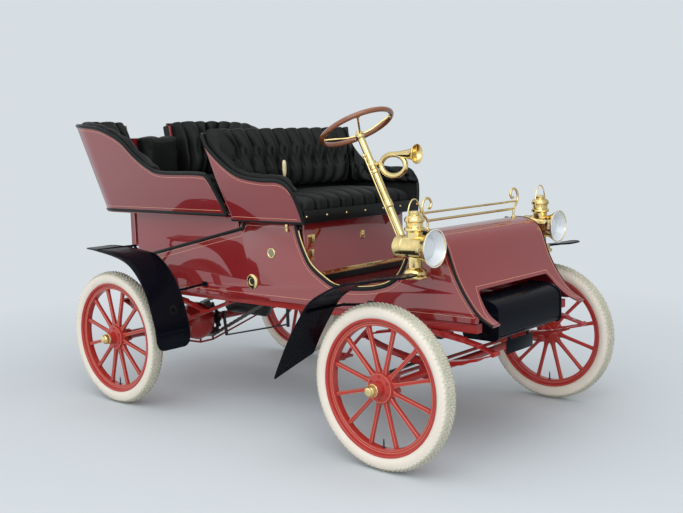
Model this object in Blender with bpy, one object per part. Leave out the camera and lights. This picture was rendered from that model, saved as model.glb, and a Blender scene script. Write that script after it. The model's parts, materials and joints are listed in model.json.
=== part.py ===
"""Rear-entry tonneau car of the early 1900s, right-hand drive, built as an assembly.

The car faces -Y, its right side is at -X, and it stands on z = 0.
Stations are measured behind the front axle. One empty, the datum, then
puts the middle of the car's length over the origin. Lists of points hold
distances in metres from the place that the comment over them names, and
lists of shares hold parts of a length that has its own name.
"""

import math

import bmesh
import bpy
from mathutils import Matrix
from mathutils import Vector

# Driving dimensions, in metres
WHEELBASE = 1.829
WHEEL_REACH = 0.306
BODY_HALF_WIDTH = 0.405
REAR_OVERHANG = 0.181
RIM_RADIUS = 0.290

# Clearances: at rest, on a slant, in a bearing, beside a moving piece, and
# the depth by which a bar runs into the piece that it is welded to
REST_GAP = 0.0003
SLANT_GAP = 0.0006
RUN_GAP = 0.0008
SWING_GAP = 0.005
WELD = 0.004

# Sides of round pieces, from thin rods to drums, and the size of an empty
THIN_SIDES = 6
BAR_SIDES = 8
PIN_SIDES = 10
ROUND_SIDES = 12
BOSS_SIDES = 14
DRUM_SIDES = 20
EMPTY_SIZE = 0.08

# Wheels and tyres
TYRE_HEIGHT = 0.070
TYRE_HALF_WIDTH = 0.038
TYRE_SIDES = 32
RIM_HALF_WIDTH = 0.029
RIM_EDGE = 0.006
RIM_NECK_HALF_WIDTH = 0.022
FELLOE_DEPTH = 0.028
FELLOE_HALF_WIDTH = 0.018
SPOKES = 12
SPOKE_SIDES = 6
SPOKE_FOOT_WIDTH = 0.031
SPOKE_FOOT_DEPTH = 0.027
SPOKE_TIP_WIDTH = 0.020
SPOKE_TIP_DEPTH = 0.020
SPOKE_TENON = 0.010
HUB_RADIUS = 0.034
HUB_SIDES = 12
FLANGE_RADIUS = 0.064
FLANGE_HALF_WIDTH = 0.0225
FLANGE_LIP = 0.005
HUB_INNER_REACH = 0.046
HUB_BARREL_RADIUS = 0.029
HUB_BARREL_REACH = 0.062
HUB_CAP_RADIUS = 0.026
HUB_CAP_SHOULDER = 0.086
HUB_CAP_TIP_RADIUS = 0.015
HUB_CAP_REACH = 0.099
SPINDLE_RADIUS = 0.0125
SPINDLE_SIDES = 14
SPINDLE_REACH = 0.070
SPINDLE_END_PLAY = 0.002

# Tyre section: share of its height over the rim, share of its half width
TYRE_SECTION = ((0.0, 0.70), (0.36, 1.0), (0.80, 0.84), (1.0, 0.34))

# Front axle and steering
AXLE_RADIUS = 0.0175
KINGPIN_INSET = 0.091
KINGPIN_RADIUS = 0.0082
KINGPIN_HEAD = 0.006
AXLE_BOSS_RADIUS = 0.019
AXLE_BOSS_HEIGHT = 0.056
KNUCKLE_LUG = 0.013
KNUCKLE_HALF_DEPTH = 0.018
KNUCKLE_WEB = 0.010
KNUCKLE_WEB_GAP = 0.004
KNUCKLE_CORNER = 0.012
STEER_ARM = 0.130
STEER_ARM_ROOT = 0.015
LINK_PIN_RADIUS = 0.006
LINK_PIN_HEAD = 0.004
LINK_EYE_WALL = 0.008
LINK_EYE_HEIGHT = 0.018
TIE_ROD_RADIUS = 0.0085
DRAG_LINK_RADIUS = 0.0075
DRAG_LINK_STRAIGHT = 0.050
DRAG_SOCKET_RADIUS = 0.012
DRAG_SOCKET_LENGTH = 0.036
DRAG_SOCKET_GAP = 0.024
DROP_PIVOT_RISE = 0.140
DROP_SHAFT_RADIUS = 0.009
DROP_BOSS_RADIUS = 0.020
DROP_EYE_RADIUS = 0.014
DROP_ARM_ROOT = 0.014
DROP_ARM_TIP = 0.010
DROP_ARM_HALF_DEPTH = 0.008
DROP_ARM_RELIEF = 0.001

# Springs
SPRING_RISE = 0.125
SPRING_WIDTH = 0.042
SPRING_HALF_LENGTH = 0.350
SPRING_EYE_RADIUS = 0.011
SPRING_EYE_SIDE = 0.003
LEAF = 0.0062
LEAVES = 4
SHORT_LEAF = 0.056
LEAF_TIP = 0.002
PERCH_HALF_LENGTH = 0.032
PERCH_RISE = 0.008
PERCH_DROP = 0.010

# Rear axle, with its offset differential, truss rod and distance rods
REAR_AXLE_RADIUS = 0.024
REAR_AXLE_SIDES = 16
BEARING_RADIUS = 0.034
BEARING_LENGTH = 0.020
BEARING_INSET = 0.056
BEARING_NECK = 0.005
SLEEVE_RADIUS = 0.032
SLEEVE_END_X = 0.002
TRUSS_RADIUS = 0.006
TRUSS_RIGHT_END = 0.560
TRUSS_LEFT_END = 0.450
TRUSS_STRUTS_X = (-0.130, -0.034)
TRUSS_DROP = 0.133
TRUSS_END_DROP = 0.015
STRUT_RADIUS = 0.007
DISTANCE_ROD_RADIUS = 0.011
DISTANCE_ROD_EYE_RADIUS = 0.0117
DISTANCE_ROD_EYE_INNER = 0.015
DISTANCE_ROD_EYE_OUTER = 0.040
DISTANCE_ROD_INSET = 0.020
DISTANCE_ROD_LENGTH = 0.511

# Differential drum: radius, and place along the axle
DRUM_PROFILE = ((0.064, -0.238), (0.098, -0.205), (0.110, -0.168), (0.110, -0.140),
                (0.098, -0.100), (0.060, -0.084))

# Frame
FRAME_RISE = 0.115
RAIL_INSET = 0.015
RAIL_WIDTH = 0.040
RAIL_DEPTH = 0.040
RAIL_NOSE = 0.260
RAIL_REAR_INSET = 0.010
CROSS_BAR = 0.040
CROSS_BAR_INSET = 0.010
STEERING_BAR_Y = 0.150
ENGINE_BAY_HALF = 0.320
STEP_TREAD = 0.010
STEP_IRON_RADIUS = 0.008
SIDE_STEP_Y = 0.435
SIDE_STEP_REACH = 0.095
SIDE_STEP_DROP = 0.162
SIDE_STEP_HALF_WIDTH = 0.050
SIDE_STEP_HALF_LENGTH = 0.043
REAR_STEP_REACH = 0.320
REAR_STEP_DROP = 0.113
REAR_STEP_IRON_RISE = 0.012
REAR_STEP_KNEE_DROP = 0.025
REAR_STEP_HALF_WIDTH = 0.135
REAR_STEP_LENGTH = 0.105
REAR_STEP_IRON_X = 0.100
REAR_STEP_IRON_WIDTH = 0.022
REAR_STEP_IRON_DEPTH = 0.010
REAR_STEP_KNEE = 0.140

# Side step iron: out from the rail, along from the step, up from the rail
SIDE_STEP_IRON = ((-0.010, -0.145, 0.010), (0.010, -0.145, 0.008), (0.055, -0.140, -0.030),
                  (0.085, -0.085, -0.100), (0.092, -0.025, -0.178), (0.092, 0.030, -0.178))

# Engine and drive line
CRANK_Y = 1.082
CRANK_RISE = 0.082
ENGINE_RIGHT_X = -0.010
ENGINE_SIDE_GAP = 0.065
ENGINE_DROP = 0.100
ENGINE_RISE = 0.200
SHAFT_RADIUS = 0.020
SHAFT_SIDES = 12
SHAFT_END_GAP = 0.020
GEAR_DRUM_RADIUS = 0.110
GEAR_DRUM_GAP = 0.050
GEAR_DRUM_INNER_X = -0.100
BEARER_DROP = (0.010, 0.035)
CHAIN_X = -0.060
CHAIN_PITCH = 0.038
CHAIN_THROAT = 0.006
CHAIN_PLATE = 0.005
CHAIN_PLATE_HALF_HEIGHT = 0.0088
CHAIN_WAIST_HALF_HEIGHT = 0.0062
ROLLER_RADIUS = 0.0065
REAR_TEETH = 17
ENGINE_TEETH = 8
TOOTH_RISE = 0.0045
TOOTH_TIP_HALF_WIDTH = 0.005
TOOTH_SEAT_HALF_WIDTH = 0.0085
TOOTH_SEAT_DROP = 0.0030
TOOTH_FLOOR_HALF_WIDTH = 0.0035
SPROCKET_HALF_WIDTH = 0.0045
SPROCKET_HOLES = 5
SPROCKET_HOLE_RADIUS = 0.014
SPROCKET_HOLE_REACH = 0.063
SILENCER_X = 0.065
SILENCER_DROP = 0.163
SILENCER_RADIUS = 0.052
SILENCER_LEAD = 0.070
SILENCER_LENGTH = 0.290
SILENCER_CONE = 0.022
EXHAUST_RADIUS = 0.014
EXHAUST_PORT_RISE = 0.025
HANGER = 0.006
HANGER_WIDTH = 0.024

# Brake: distances from the rear axle's centre, then from the engine's crank
BRAKE_X = 0.020
BRAKE_BAR = 0.014
BRAKE_REAR_LEVER = ((-0.042, 0.034), (-0.064, -0.112))
BRAKE_FRONT_LEVER_LEAD = 0.172
BRAKE_FRONT_LEVER_DROP = 0.144
BRAKE_ROD_RADIUS = 0.005

# Lower body, with heights over the frame's top
PANEL = 0.012
SILL_FRONT_RISE = 0.006
SILL_REAR_DROP = 0.015
FLOOR_RISE = 0.090
FLOOR_BOARD = 0.016
HEELBOARD_Y = 0.720
SEAT_RISE = 0.395
SEAM_FRONT_Y = 1.160
SEAM_FRONT_RISE = 0.346
SEAM_REAR_RISE = 0.148
SEAM_LIP = 0.012
DASH_Y = 0.045
DASH_RISE = 0.385
DASH_EDGE = 0.008
SIDE_MARGIN = 0.020
CRANK_HOLE_RADIUS = 0.024
CRANK_HOLE_SIDES = 18

# Doorway cut in a side: station, and height over the frame's top
DOORWAY_CUT = ((0.068, 0.385), (0.082, 0.300), (0.112, 0.220), (0.165, 0.158), (0.260, 0.118),
               (0.400, 0.100), (0.520, 0.102), (0.602, 0.137), (0.678, 0.189), (0.722, 0.255),
               (0.755, 0.330), (0.770, 0.395))

# Hood apron: station, and height over the frame's top
APRON_SHEET = 0.010
APRON_SIDE = 0.002
APRON_RISE = 0.388
APRON_LINE = ((0.030, 0.388), (-0.010, 0.388), (-0.050, 0.381), (-0.090, 0.365), (-0.122, 0.328),
              (-0.145, 0.265), (-0.172, 0.198), (-0.210, 0.132), (-0.262, 0.064), (-0.305, 0.028),
              (-0.352, 0.006))
APRON_CUT_RISE = 0.131
APRON_CUT_TOP_MARGIN = 0.025
APRON_CUT_FOOT_MARGIN = 0.090
APRON_CUT_CORNER = 0.020

# Front tank
TANK_SIDE_GAP = 0.075
TANK_FRONT = -0.295
TANK_REAR = -0.112
TANK_DROP = 0.088
TANK_RISE = 0.092
TANK_CORNER = 0.030
TANK_SLOPE = 0.075
TANK_RIM = 0.004
TANK_RIM_WIDTH = 0.009
TANK_RIM_OUT = 0.005

# Front seat
SHELL_WALL = 0.014
CORNER_LEAST = 0.006
PAST_TOP = 0.050
PAST_BOTTOM = 0.020
PAST_BACK = 0.120
SEAT_FLARE = 0.050
SEAT_SHOULDER_FLARE = 0.117
SEAT_TOP_FLARE = 0.167
SEAT_SHOULDER_RISE = 0.210
SEAT_BACK_RISE = 0.437
SEAT_BACK_BOTTOM_Y = 1.167
SEAT_BACK_LEAN = 0.091
SEAT_CORNER = 0.022
SEAT_FRONT = 0.667
SEAT_BOARD = 0.014
SEAT_BOARD_INSET = 0.006
SEAT_APRON_RISE = 0.062
SEAT_APRON_FRONT = 0.010
CUSHION_INSET = 0.030
CUSHION_FRONT_INSET = 0.019
CUSHION_REAR_GAP = 0.037
CUSHION_RISE = 0.152
CUSHION_CORNER = 0.030
BACK_PAD = 0.105
ARM_PAD = 0.042
PAD_RISE = 0.029
PAD_LIFT = 0.004

# Edge of the front seat's side: station, and height over the seat
SEAT_EDGE = ((0.667, 0.0), (0.672, 0.055), (0.698, 0.155), (0.760, 0.205), (0.900, 0.211),
             (1.040, 0.234), (1.150, 0.301), (1.236, 0.390), (1.250, 0.437))

# Tonneau, with heights over the frame's top or over its own base
TONNEAU_BASE_RISE = 0.422
TONNEAU_HEIGHT = 0.485
TONNEAU_FLARE = 0.050
TONNEAU_TOP_FLARE = 0.197
TONNEAU_OVERHANG = 0.330
TONNEAU_BACK_LEAN = 0.100
TONNEAU_CORNER_BOTTOM = 0.180
TONNEAU_CORNER_TOP = 0.250
TONNEAU_FRONT = 1.205
TONNEAU_BOARD = 0.014
TONNEAU_FRONT_RAKE = 0.028
TONNEAU_PAD = 0.090
TONNEAU_BACK_PAD = 0.180
TONNEAU_PAD_BACK_GAP = 0.018
TONNEAU_PAD_RISE = 0.022
TONNEAU_CUSHION_HEIGHT = 0.158
TONNEAU_SEAT_LENGTH = 0.650
TONNEAU_PAD_LENGTH = 0.620
TONNEAU_BOARD_LENGTH = 0.680
TONNEAU_CUSHION_INSET = 0.030
DOORWAY_HALF_WIDTH = 0.1625
DOOR_POST = 0.022
DOOR_POST_DEPTH = 0.045
DOOR_POST_SET_IN = 0.014
DOOR_POST_KNEE = 0.120
DOOR_POST_TOP_DROP = 0.006
DOOR_THICKNESS = 0.022
DOOR_TOP_DROP = 0.082
DOOR_FLOOR_RISE = 0.037
DOOR_STEP_BACK = 0.004
DOOR_FREE_PLAY = 0.0025
HINGE_RISES = (0.280, 0.500)
HINGE_HALF_LENGTH = 0.020
HINGE_PIN_RADIUS = 0.0045
HINGE_EYE_RADIUS = 0.0085
HINGE_LUG = 0.006
HINGE_STAND = 0.009
HINGE_LEAF = 0.060
HINGE_LEAF_DEPTH = 0.005
HANDLE_RADIUS = 0.006
HANDLE_RISE = 0.700
HANDLE_INSET = 0.0425
HANDLE_STAND = 0.022
HANDLE_LENGTH = 0.050
DOOR_PAD_HALF_WIDTH = 0.145
PAD_CORNER = 0.010
DOOR_PAD_HEIGHT = 0.326
DOOR_PAD_PROUD = 0.011

# Corners of the seat board and the cushion: out from the doorway, ahead of the back
TONNEAU_BOARD_CORNERS = ((0.1025, 0.620), (0.0, 0.410))
TONNEAU_CUSHION_CORNERS = ((0.0175, 0.400), (0.1125, 0.595))

# Door pad seen from above: half width of its front, depth of its shoulder, whole depth
DOOR_PAD_FRONT = (0.115, 0.045, 0.100)

# Edge of the tonneau's side: share of its length, share of its height
TONNEAU_EDGE_FRONT = ((0.0, 0.0), (0.033, 0.223), (0.061, 0.384), (0.105, 0.437))
TONNEAU_EDGE = ((0.352, 0.445), (0.433, 0.507), (0.506, 0.635), (0.567, 0.790), (0.644, 0.893),
                (0.733, 0.959), (0.887, 0.992))

# Fenders
FENDER_OUTER_REACH = 0.101
FENDER_SHEET = 0.005
STAY_RADIUS = 0.0065
STAY_SQUARE = 0.020
STAY_KNEE = 0.040
STAY_END_INSET = 0.022
STAY_SINK = 0.003
FENDER_FOOT_CORNER = 0.045

# Slanted cut of a front fender's tail over the axle: its low edge, outer end, inner end
FENDER_TAIL_CUT = (-0.060, -0.020, 0.065)

# Fender lines about a wheel's centre: degrees up from the rear, gap over the tyre
FRONT_FENDER_LINE = ((113.2, 0.1534), (99.3, 0.1143), (86.6, 0.0888), (73.9, 0.0897), (60.8, 0.0904),
                     (47.6, 0.1001), (35.3, 0.0948), (21.0, 0.1060), (9.9, 0.1283), (0.2, 0.1630))
REAR_FENDER_LINE = ((65.9, 0.1570), (77.6, 0.1367), (98.0, 0.1227), (112.9, 0.1405), (124.4, 0.1429),
                    (135.3, 0.1378), (146.4, 0.1276), (159.0, 0.1154), (169.7, 0.1147), (180.5, 0.1130))

# Stays: station from the axle, height over the frame's top, and place on the fender
FRONT_STAYS = ((0.020, 0.190, 84.2), (0.300, 0.040, 40.7))
REAR_STAYS = ((0.011, 0.120, 87.5), (-0.379, 0.040, 145.1))

# Lamps
LAMP_REACH = 0.125
LAMP_Y = -0.045
LAMP_AXIS_RISE = 0.334
LAMP_SIDES = 12
LAMP_FONT_RADIUS = 0.060
LAMP_FENDER_GAP = 0.010
BAIL_RADIUS = 0.003
LAMP_ARM_WIDTH = 0.020
LAMP_ARM_DEPTH = 0.010
LAMP_ARM_DROP = 0.054
LAMP_ARM_Y = 0.010
LAMP_BOLT_PLATE = 0.008
LAMP_BOLT_PLATE_HALF = (0.020, 0.025)

# Lamp profiles: radius, and distance from the lamp's axis
LAMP_FONT_PROFILE = ((0.058, -0.132), (0.060, -0.124), (0.050, -0.110), (0.046, -0.096), (0.030, -0.086),
                     (0.030, 0.0))
LAMP_BARREL_PROFILE = ((0.030, -0.096), (0.046, -0.092), (0.050, -0.080), (0.050, 0.040), (0.054, 0.052),
                       (0.078, 0.096), (0.080, 0.104), (0.070, 0.104), (0.050, 0.062), (0.010, 0.058))
LAMP_CHIMNEY_PROFILE = ((0.034, 0.0), (0.034, 0.066), (0.044, 0.072), (0.044, 0.082), (0.036, 0.088),
                        (0.036, 0.106), (0.043, 0.110), (0.040, 0.128), (0.022, 0.136), (0.024, 0.148),
                        (0.010, 0.154))
BAIL_FOOT = (0.038, 0.078)
BAIL_CENTRE_RISE = 0.116
BAIL_HALF_WIDTH = 0.048
BAIL_HEIGHT = 0.087

# Dash rail: heights over the frame's top
RAIL_POST_INSET = 0.042
DASH_RAIL_Y = 0.008
DASH_RAIL_LIFT = 0.0009
DASH_RAIL_LOW_RISE = 0.430
DASH_RAIL_HIGH_RISE = 0.466
DASH_RAIL_RADIUS = 0.006
DASH_RAIL_POST_RADIUS = 0.005
DASH_RAIL_FOOT_RADIUS = 0.013
DASH_RAIL_FOOT = 0.007
DASH_RAIL_POST_X = 0.120

# Scroll at each end of the dash rail: outwards from its post, over the frame's top
DASH_SCROLL = ((0.0, 0.430), (0.030, 0.460), (0.038, 0.495), (0.018, 0.525), (-0.012, 0.527),
               (-0.030, 0.506), (-0.020, 0.484), (-0.002, 0.488))

# Steering column, wheel, horn and hand lever
COLUMN_X = -0.190
COLUMN_TILT = math.radians(27.0)
COLUMN_FOOT_Y = 0.0978
COLUMN_FOOT_DROP = 0.0306
COLUMN_LENGTH = 0.985
COLUMN_RADIUS = 0.0175
COLUMN_FLOOR_PLAY = 0.0012
STEERING_BOX_HALF_WIDTH = 0.034
STEERING_BOX_FRONT = 0.040
STEERING_BOX_DROP = 0.130
STEERING_BOX_TOP_DROP = 0.014
STEERING_LUG_DROP = (0.034, 0.008)
STEERING_LUG_LENGTH = 0.050
STEERING_WHEEL_RADIUS = 0.180
STEERING_RIM_RADIUS = 0.0125
STEERING_RIM_SIDES = 24
STEERING_HUB_DROP = 0.040
STEERING_HUB_HALF = 0.020
SPIDER_END_DROP = 0.05
SPIDER_ARMS = 4
SPIDER_RADIUS = 0.0045
SIDE_ROD_OFFSET = 0.034
SIDE_ROD_RADIUS = 0.004
SIDE_ROD_CLAMP_RADIUS = 0.006
SIDE_ROD_SPAN = (-0.700, -0.150)
SIDE_ROD_CLAMP_INSET = 0.020
HORN_GRIP = 0.200
HORN_CLAMP_HALF = 0.010
HORN_CLAMP_WALL = 0.0065
HORN_STEM_RADIUS = 0.008
HORN_LOOP_RADIUS = 0.015
HORN_LOOP_HALF = (0.072, 0.050)
HAND_LEVER_INSET = 0.0205
HAND_LEVER_SET_BACK = 0.133
HAND_LEVER_RADIUS = 0.005
HAND_LEVER_RISE = 0.245
HAND_LEVER_FOOT_HALF = (0.008, 0.015)
HAND_LEVER_FOOT = 0.006

# Column profile: radius, and distance up from its foot
COLUMN_PROFILE = ((0.0200, 0.0), (0.0175, 0.010), (0.0175, 0.560), (0.0220, 0.565), (0.0220, 0.590),
                  (0.0190, 0.595), (0.0190, 0.735), (0.0230, 0.740), (0.0230, 0.752), (0.0175, 0.757))
# Spider arm: distance out from the hub, share of the hub's drop
SPIDER_LINE = ((0.012, 1.0), (0.060, 0.9), (0.120, 0.45))
# Horn: places behind and above the wheel's centre, then radius and length of the bell
HORN_STEM_END = (-0.150, -0.169)
HORN_BELL_START = (-0.205, -0.130)
HORN_LOOP_CENTRE = (-0.220, -0.181)
HORN_BELL_PROFILE = ((0.010, 0.0), (0.020, 0.090), (0.030, 0.135), (0.046, 0.152), (0.042, 0.152),
                     (0.025, 0.137), (0.014, 0.100))
# Hand lever's grip: radius, and height over the lever's top less its length
HAND_GRIP_PROFILE = ((0.006, -0.015), (0.009, 0.0), (0.010, 0.035), (0.008, 0.056), (0.003, 0.060))

# Lamp arm: in from the lamp's axis, along from the arm's root, up from the root
LAMP_ARM_LINE = ((0.080, -0.005, -0.005), (0.020, -0.045, 0.015))
# Steering wheel's hub: radius, and distance up from its middle
STEERING_HUB_PROFILE = ((0.019, -0.020), (0.022, 0.0), (0.015, 0.018), (0.006, 0.024))

# Places that follow from the sizes above
WHEEL_X = BODY_HALF_WIDTH + WHEEL_REACH
TYRE_RADIUS = RIM_RADIUS + TYRE_HEIGHT
AXLE_Z = TYRE_RADIUS
KINGPIN_X = WHEEL_X - KINGPIN_INSET
SPINDLE_END_X = WHEEL_X + SPINDLE_REACH
SPRING_EYE_Z = AXLE_Z + SPRING_RISE
PERCH_TOP = AXLE_Z + REAR_AXLE_RADIUS + PERCH_RISE
RAIL_TOP = SPRING_EYE_Z + FRAME_RISE
RAIL_BOTTOM = RAIL_TOP - RAIL_DEPTH
RAIL_OUTER_X = BODY_HALF_WIDTH - RAIL_INSET
RAIL_INNER_X = RAIL_OUTER_X - RAIL_WIDTH
BODY_REAR = WHEELBASE + REAR_OVERHANG
RAIL_REAR = BODY_REAR - RAIL_REAR_INSET
FLOOR_TOP = RAIL_TOP + FLOOR_RISE
SEAT_Z = RAIL_TOP + SEAT_RISE
DASH_TOP = RAIL_TOP + DASH_RISE
SILL_FRONT_Z = RAIL_TOP + SILL_FRONT_RISE
SILL_REAR_Z = RAIL_TOP - SILL_REAR_DROP
SEAM_FRONT_Z = RAIL_TOP + SEAM_FRONT_RISE
SEAM_REAR_Z = RAIL_TOP + SEAM_REAR_RISE
APRON_TOP = RAIL_TOP + APRON_RISE
CRANK_Z = RAIL_TOP + CRANK_RISE
ENGINE_FRONT = CRANK_Y - ENGINE_BAY_HALF + CROSS_BAR + REST_GAP
ENGINE_REAR = CRANK_Y + ENGINE_BAY_HALF - REST_GAP
ENGINE_BOTTOM = RAIL_TOP - ENGINE_DROP
TANK_HALF_WIDTH = RAIL_INNER_X - TANK_SIDE_GAP
TANK_BOTTOM = RAIL_TOP - TANK_DROP
TANK_TOP = RAIL_TOP + TANK_RISE
SEAT_HALF_WIDTH = BODY_HALF_WIDTH + SEAT_FLARE
SEAT_SHOULDER_Z = SEAT_Z + SEAT_SHOULDER_RISE
SEAT_BACK_TOP_Z = SEAT_Z + SEAT_BACK_RISE
SEAT_BACK_TOP_Y = SEAT_BACK_BOTTOM_Y + SEAT_BACK_LEAN
SEAT_BOARD_TOP = SEAT_Z + SEAT_BOARD
CUSHION_TOP = SEAT_Z + CUSHION_RISE
TONNEAU_BASE_Z = RAIL_TOP + TONNEAU_BASE_RISE
TONNEAU_TOP_Z = TONNEAU_BASE_Z + TONNEAU_HEIGHT
TONNEAU_HALF_WIDTH = BODY_HALF_WIDTH + TONNEAU_FLARE
TONNEAU_BACK_Y = BODY_REAR + TONNEAU_OVERHANG
TONNEAU_BACK_TOP_Y = TONNEAU_BACK_Y + TONNEAU_BACK_LEAN
TONNEAU_CUSHION_TOP = TONNEAU_BASE_Z + TONNEAU_CUSHION_HEIGHT
DOOR_OUTER_Y = TONNEAU_BACK_Y + DOOR_STEP_BACK + DOOR_THICKNESS
DOOR_TOP_Z = TONNEAU_TOP_Z - DOOR_TOP_DROP
DOOR_FLOOR_Z = SEAM_REAR_Z + DOOR_FLOOR_RISE
HINGE_X = DOORWAY_HALF_WIDTH - SWING_GAP / 2
HINGE_Y = DOOR_OUTER_Y + HINGE_STAND
LAMP_X = BODY_HALF_WIDTH + LAMP_REACH
LAMP_Z = RAIL_TOP + LAMP_AXIS_RISE
FENDER_INNER_X = LAMP_X + LAMP_FONT_RADIUS + LAMP_FENDER_GAP
FENDER_OUTER_X = WHEEL_X + FENDER_OUTER_REACH
COLUMN_UP = (0.0, math.sin(COLUMN_TILT), math.cos(COLUMN_TILT))
ARM_TOP_Z = AXLE_Z - AXLE_BOSS_HEIGHT / 2 - SLANT_GAP
TIE_ROD_Z = ARM_TOP_Z + REST_GAP + LINK_EYE_HEIGHT / 2
DRAG_LINK_Z = TIE_ROD_Z + LINK_EYE_HEIGHT + REST_GAP
DROP_PIVOT_Z = AXLE_Z + DROP_PIVOT_RISE
DROP_EYE_Z = DROP_PIVOT_Z - STEER_ARM
MIDDLE_Y = (TONNEAU_BACK_TOP_Y - TYRE_RADIUS) / 2
RIGHT = -1.0
LEFT = 1.0
SIDES = {"right": RIGHT, "left": LEFT}

# Colour, roughness and metallic value of each finish
FINISHES = {
    "body_red": ((0.36, 0.10, 0.11), 0.22, 0.0),
    "chassis_red": ((0.55, 0.06, 0.05), 0.30, 0.0),
    "black_paint": ((0.015, 0.017, 0.022), 0.25, 0.0),
    "black_iron": ((0.020, 0.018, 0.018), 0.50, 0.4),
    "leather": ((0.018, 0.019, 0.018), 0.45, 0.0),
    "brass": ((0.75, 0.62, 0.32), 0.18, 1.0),
    "tyre_white": ((0.74, 0.72, 0.66), 0.75, 0.0),
    "wood": ((0.24, 0.08, 0.03), 0.35, 0.0),
    "steel": ((0.30, 0.30, 0.31), 0.40, 0.9),
}

AXES = {
    "x": (Vector((1, 0, 0)), Vector((0, 1, 0)), Vector((0, 0, 1))),
    "y": (Vector((0, 1, 0)), Vector((1, 0, 0)), Vector((0, 0, 1))),
    "z": (Vector((0, 0, 1)), Vector((1, 0, 0)), Vector((0, 1, 0))),
}


# Shape helpers

def clear_scene():
    """Remove every object that the file holds."""
    for item in list(bpy.data.objects):
        bpy.data.objects.remove(item, do_unlink=True)


def frame_of(axis):
    """Give an axis and two directions square to it."""
    if isinstance(axis, str):
        return AXES[axis]
    along = Vector(axis).normalized()
    side = Vector((1, 0, 0))
    if abs(along.dot(side)) > 0.9:
        side = Vector((0, 1, 0))
    side = (side - along * side.dot(along)).normalized()
    return along, side, along.cross(side)


def facing_out(shape):
    """Turn the faces of a closed shape outwards."""
    bmesh.ops.recalc_face_normals(shape, faces=shape.faces)
    if shape.calc_volume(signed=True) < 0:
        bmesh.ops.reverse_faces(shape, faces=shape.faces)
    return shape


def bridged(rings, cyclic=False):
    """Skin a row of rings with as many points each, and cap the ends."""
    shape = bmesh.new()
    rows = [[shape.verts.new(point) for point in ring] for ring in rings]
    pairs = list(zip(rows, rows[1:]))
    if cyclic:
        pairs.append((rows[-1], rows[0]))
    for first, second in pairs:
        count = len(first)
        for i in range(count):
            j = (i + 1) % count
            shape.faces.new((first[i], first[j], second[j], second[i]))
    if not cyclic:
        shape.faces.new(rows[0])
        shape.faces.new(list(reversed(rows[-1])))
    return facing_out(shape)


def prism(outline, low, high, axis="x"):
    """Run a flat outline from low to high along an axis."""
    along, side, rise = AXES[axis]
    rings = []
    for level in (low, high):
        rings.append([along * level + side * a + rise * b for a, b in outline])
    return bridged(rings)


def box(x_range, y_range, z_range):
    """Make a block between three pairs of limits."""
    outline = [
        (y_range[0], z_range[0]),
        (y_range[1], z_range[0]),
        (y_range[1], z_range[1]),
        (y_range[0], z_range[1]),
    ]
    return prism(outline, x_range[0], x_range[1])


def turned(profile, sides, centre, axis, ring=False, phase=0.5):
    """Turn a profile of (radius, distance) pairs about an axis."""
    along, side, rise = frame_of(axis)
    middle = Vector(centre)
    rows = []
    for step in range(sides):
        angle = 2 * math.pi * (step + phase) / sides
        out = side * math.cos(angle) + rise * math.sin(angle)
        rows.append([middle + out * radius + along * reach for radius, reach in profile])
    shape = bmesh.new()
    verts = [[shape.verts.new(point) for point in row] for row in rows]
    spans = list(zip(range(len(profile)), range(1, len(profile))))
    if ring:
        spans.append((len(profile) - 1, 0))
    for step in range(sides):
        here = verts[step]
        there = verts[(step + 1) % sides]
        for first, second in spans:
            shape.faces.new((here[first], here[second], there[second], there[first]))
    if not ring:
        shape.faces.new([row[0] for row in verts])
        shape.faces.new([row[-1] for row in reversed(verts)])
    return facing_out(shape)


def cylinder(radius, start, end, sides=ROUND_SIDES):
    """Make a round bar between two points."""
    first = Vector(start)
    last = Vector(end)
    axis = last - first
    return turned([(radius, 0.0), (radius, axis.length)], sides, first, axis)


def swept(points, section, cyclic=False):
    """Carry a flat section along a path without twisting it."""
    path = [Vector(point) for point in points]
    count = len(path)
    tangents = []
    for i, here in enumerate(path):
        before = path[i - 1] if (i or cyclic) else here
        after = path[(i + 1) % count] if (i + 1 < count or cyclic) else here
        tangents.append((after - before).normalized())
    rings = []
    side = frame_of(tangents[0])[1]
    for here, tangent in zip(path, tangents):
        side = (side - tangent * side.dot(tangent)).normalized()
        rise = tangent.cross(side)
        rings.append([here + side * a + rise * b for a, b in section])
    return bridged(rings, cyclic)


def round_section(radius, sides):
    """Give the points of a round section."""
    turn = 2 * math.pi / sides
    return [(radius * math.cos(turn * (i + 0.5)), radius * math.sin(turn * (i + 0.5)))
            for i in range(sides)]


def rod(points, radius, sides=BAR_SIDES, cyclic=False):
    """Bend a round bar along a path."""
    return swept(points, round_section(radius, sides), cyclic)


def flat_section(width, depth):
    """Give the points of a flat bar's section."""
    return [(-width / 2, -depth / 2), (width / 2, -depth / 2),
            (width / 2, depth / 2), (-width / 2, depth / 2)]


def smooth_line(points, steps):
    """Draw a smooth line through a few points."""
    count = len(points)
    knots = [Vector(point) for point in points]
    line = []
    for i in range(count - 1):
        p0 = knots[max(i - 1, 0)]
        p1 = knots[i]
        p2 = knots[i + 1]
        p3 = knots[min(i + 2, count - 1)]
        for step in range(steps):
            t = step / steps
            pull = (p2 - p0) * t + (p0 * 2 - p1 * 5 + p2 * 4 - p3) * t ** 2
            line.append(p1 + (pull + (p1 * 3 - p0 - p2 * 3 + p3) * t ** 3) / 2)
    line.append(knots[-1])
    return [tuple(point) for point in line]


def sheet_outline(line, thickness):
    """Thicken a flat line to its left into a closed outline."""
    points = [Vector(point) for point in line]
    other = []
    for i, here in enumerate(points):
        before = points[max(i - 1, 0)]
        after = points[min(i + 1, len(points) - 1)]
        along = (after - before).normalized()
        other.append(here + Vector((-along.y, along.x)) * thickness)
    return [tuple(point) for point in points + list(reversed(other))]


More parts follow.
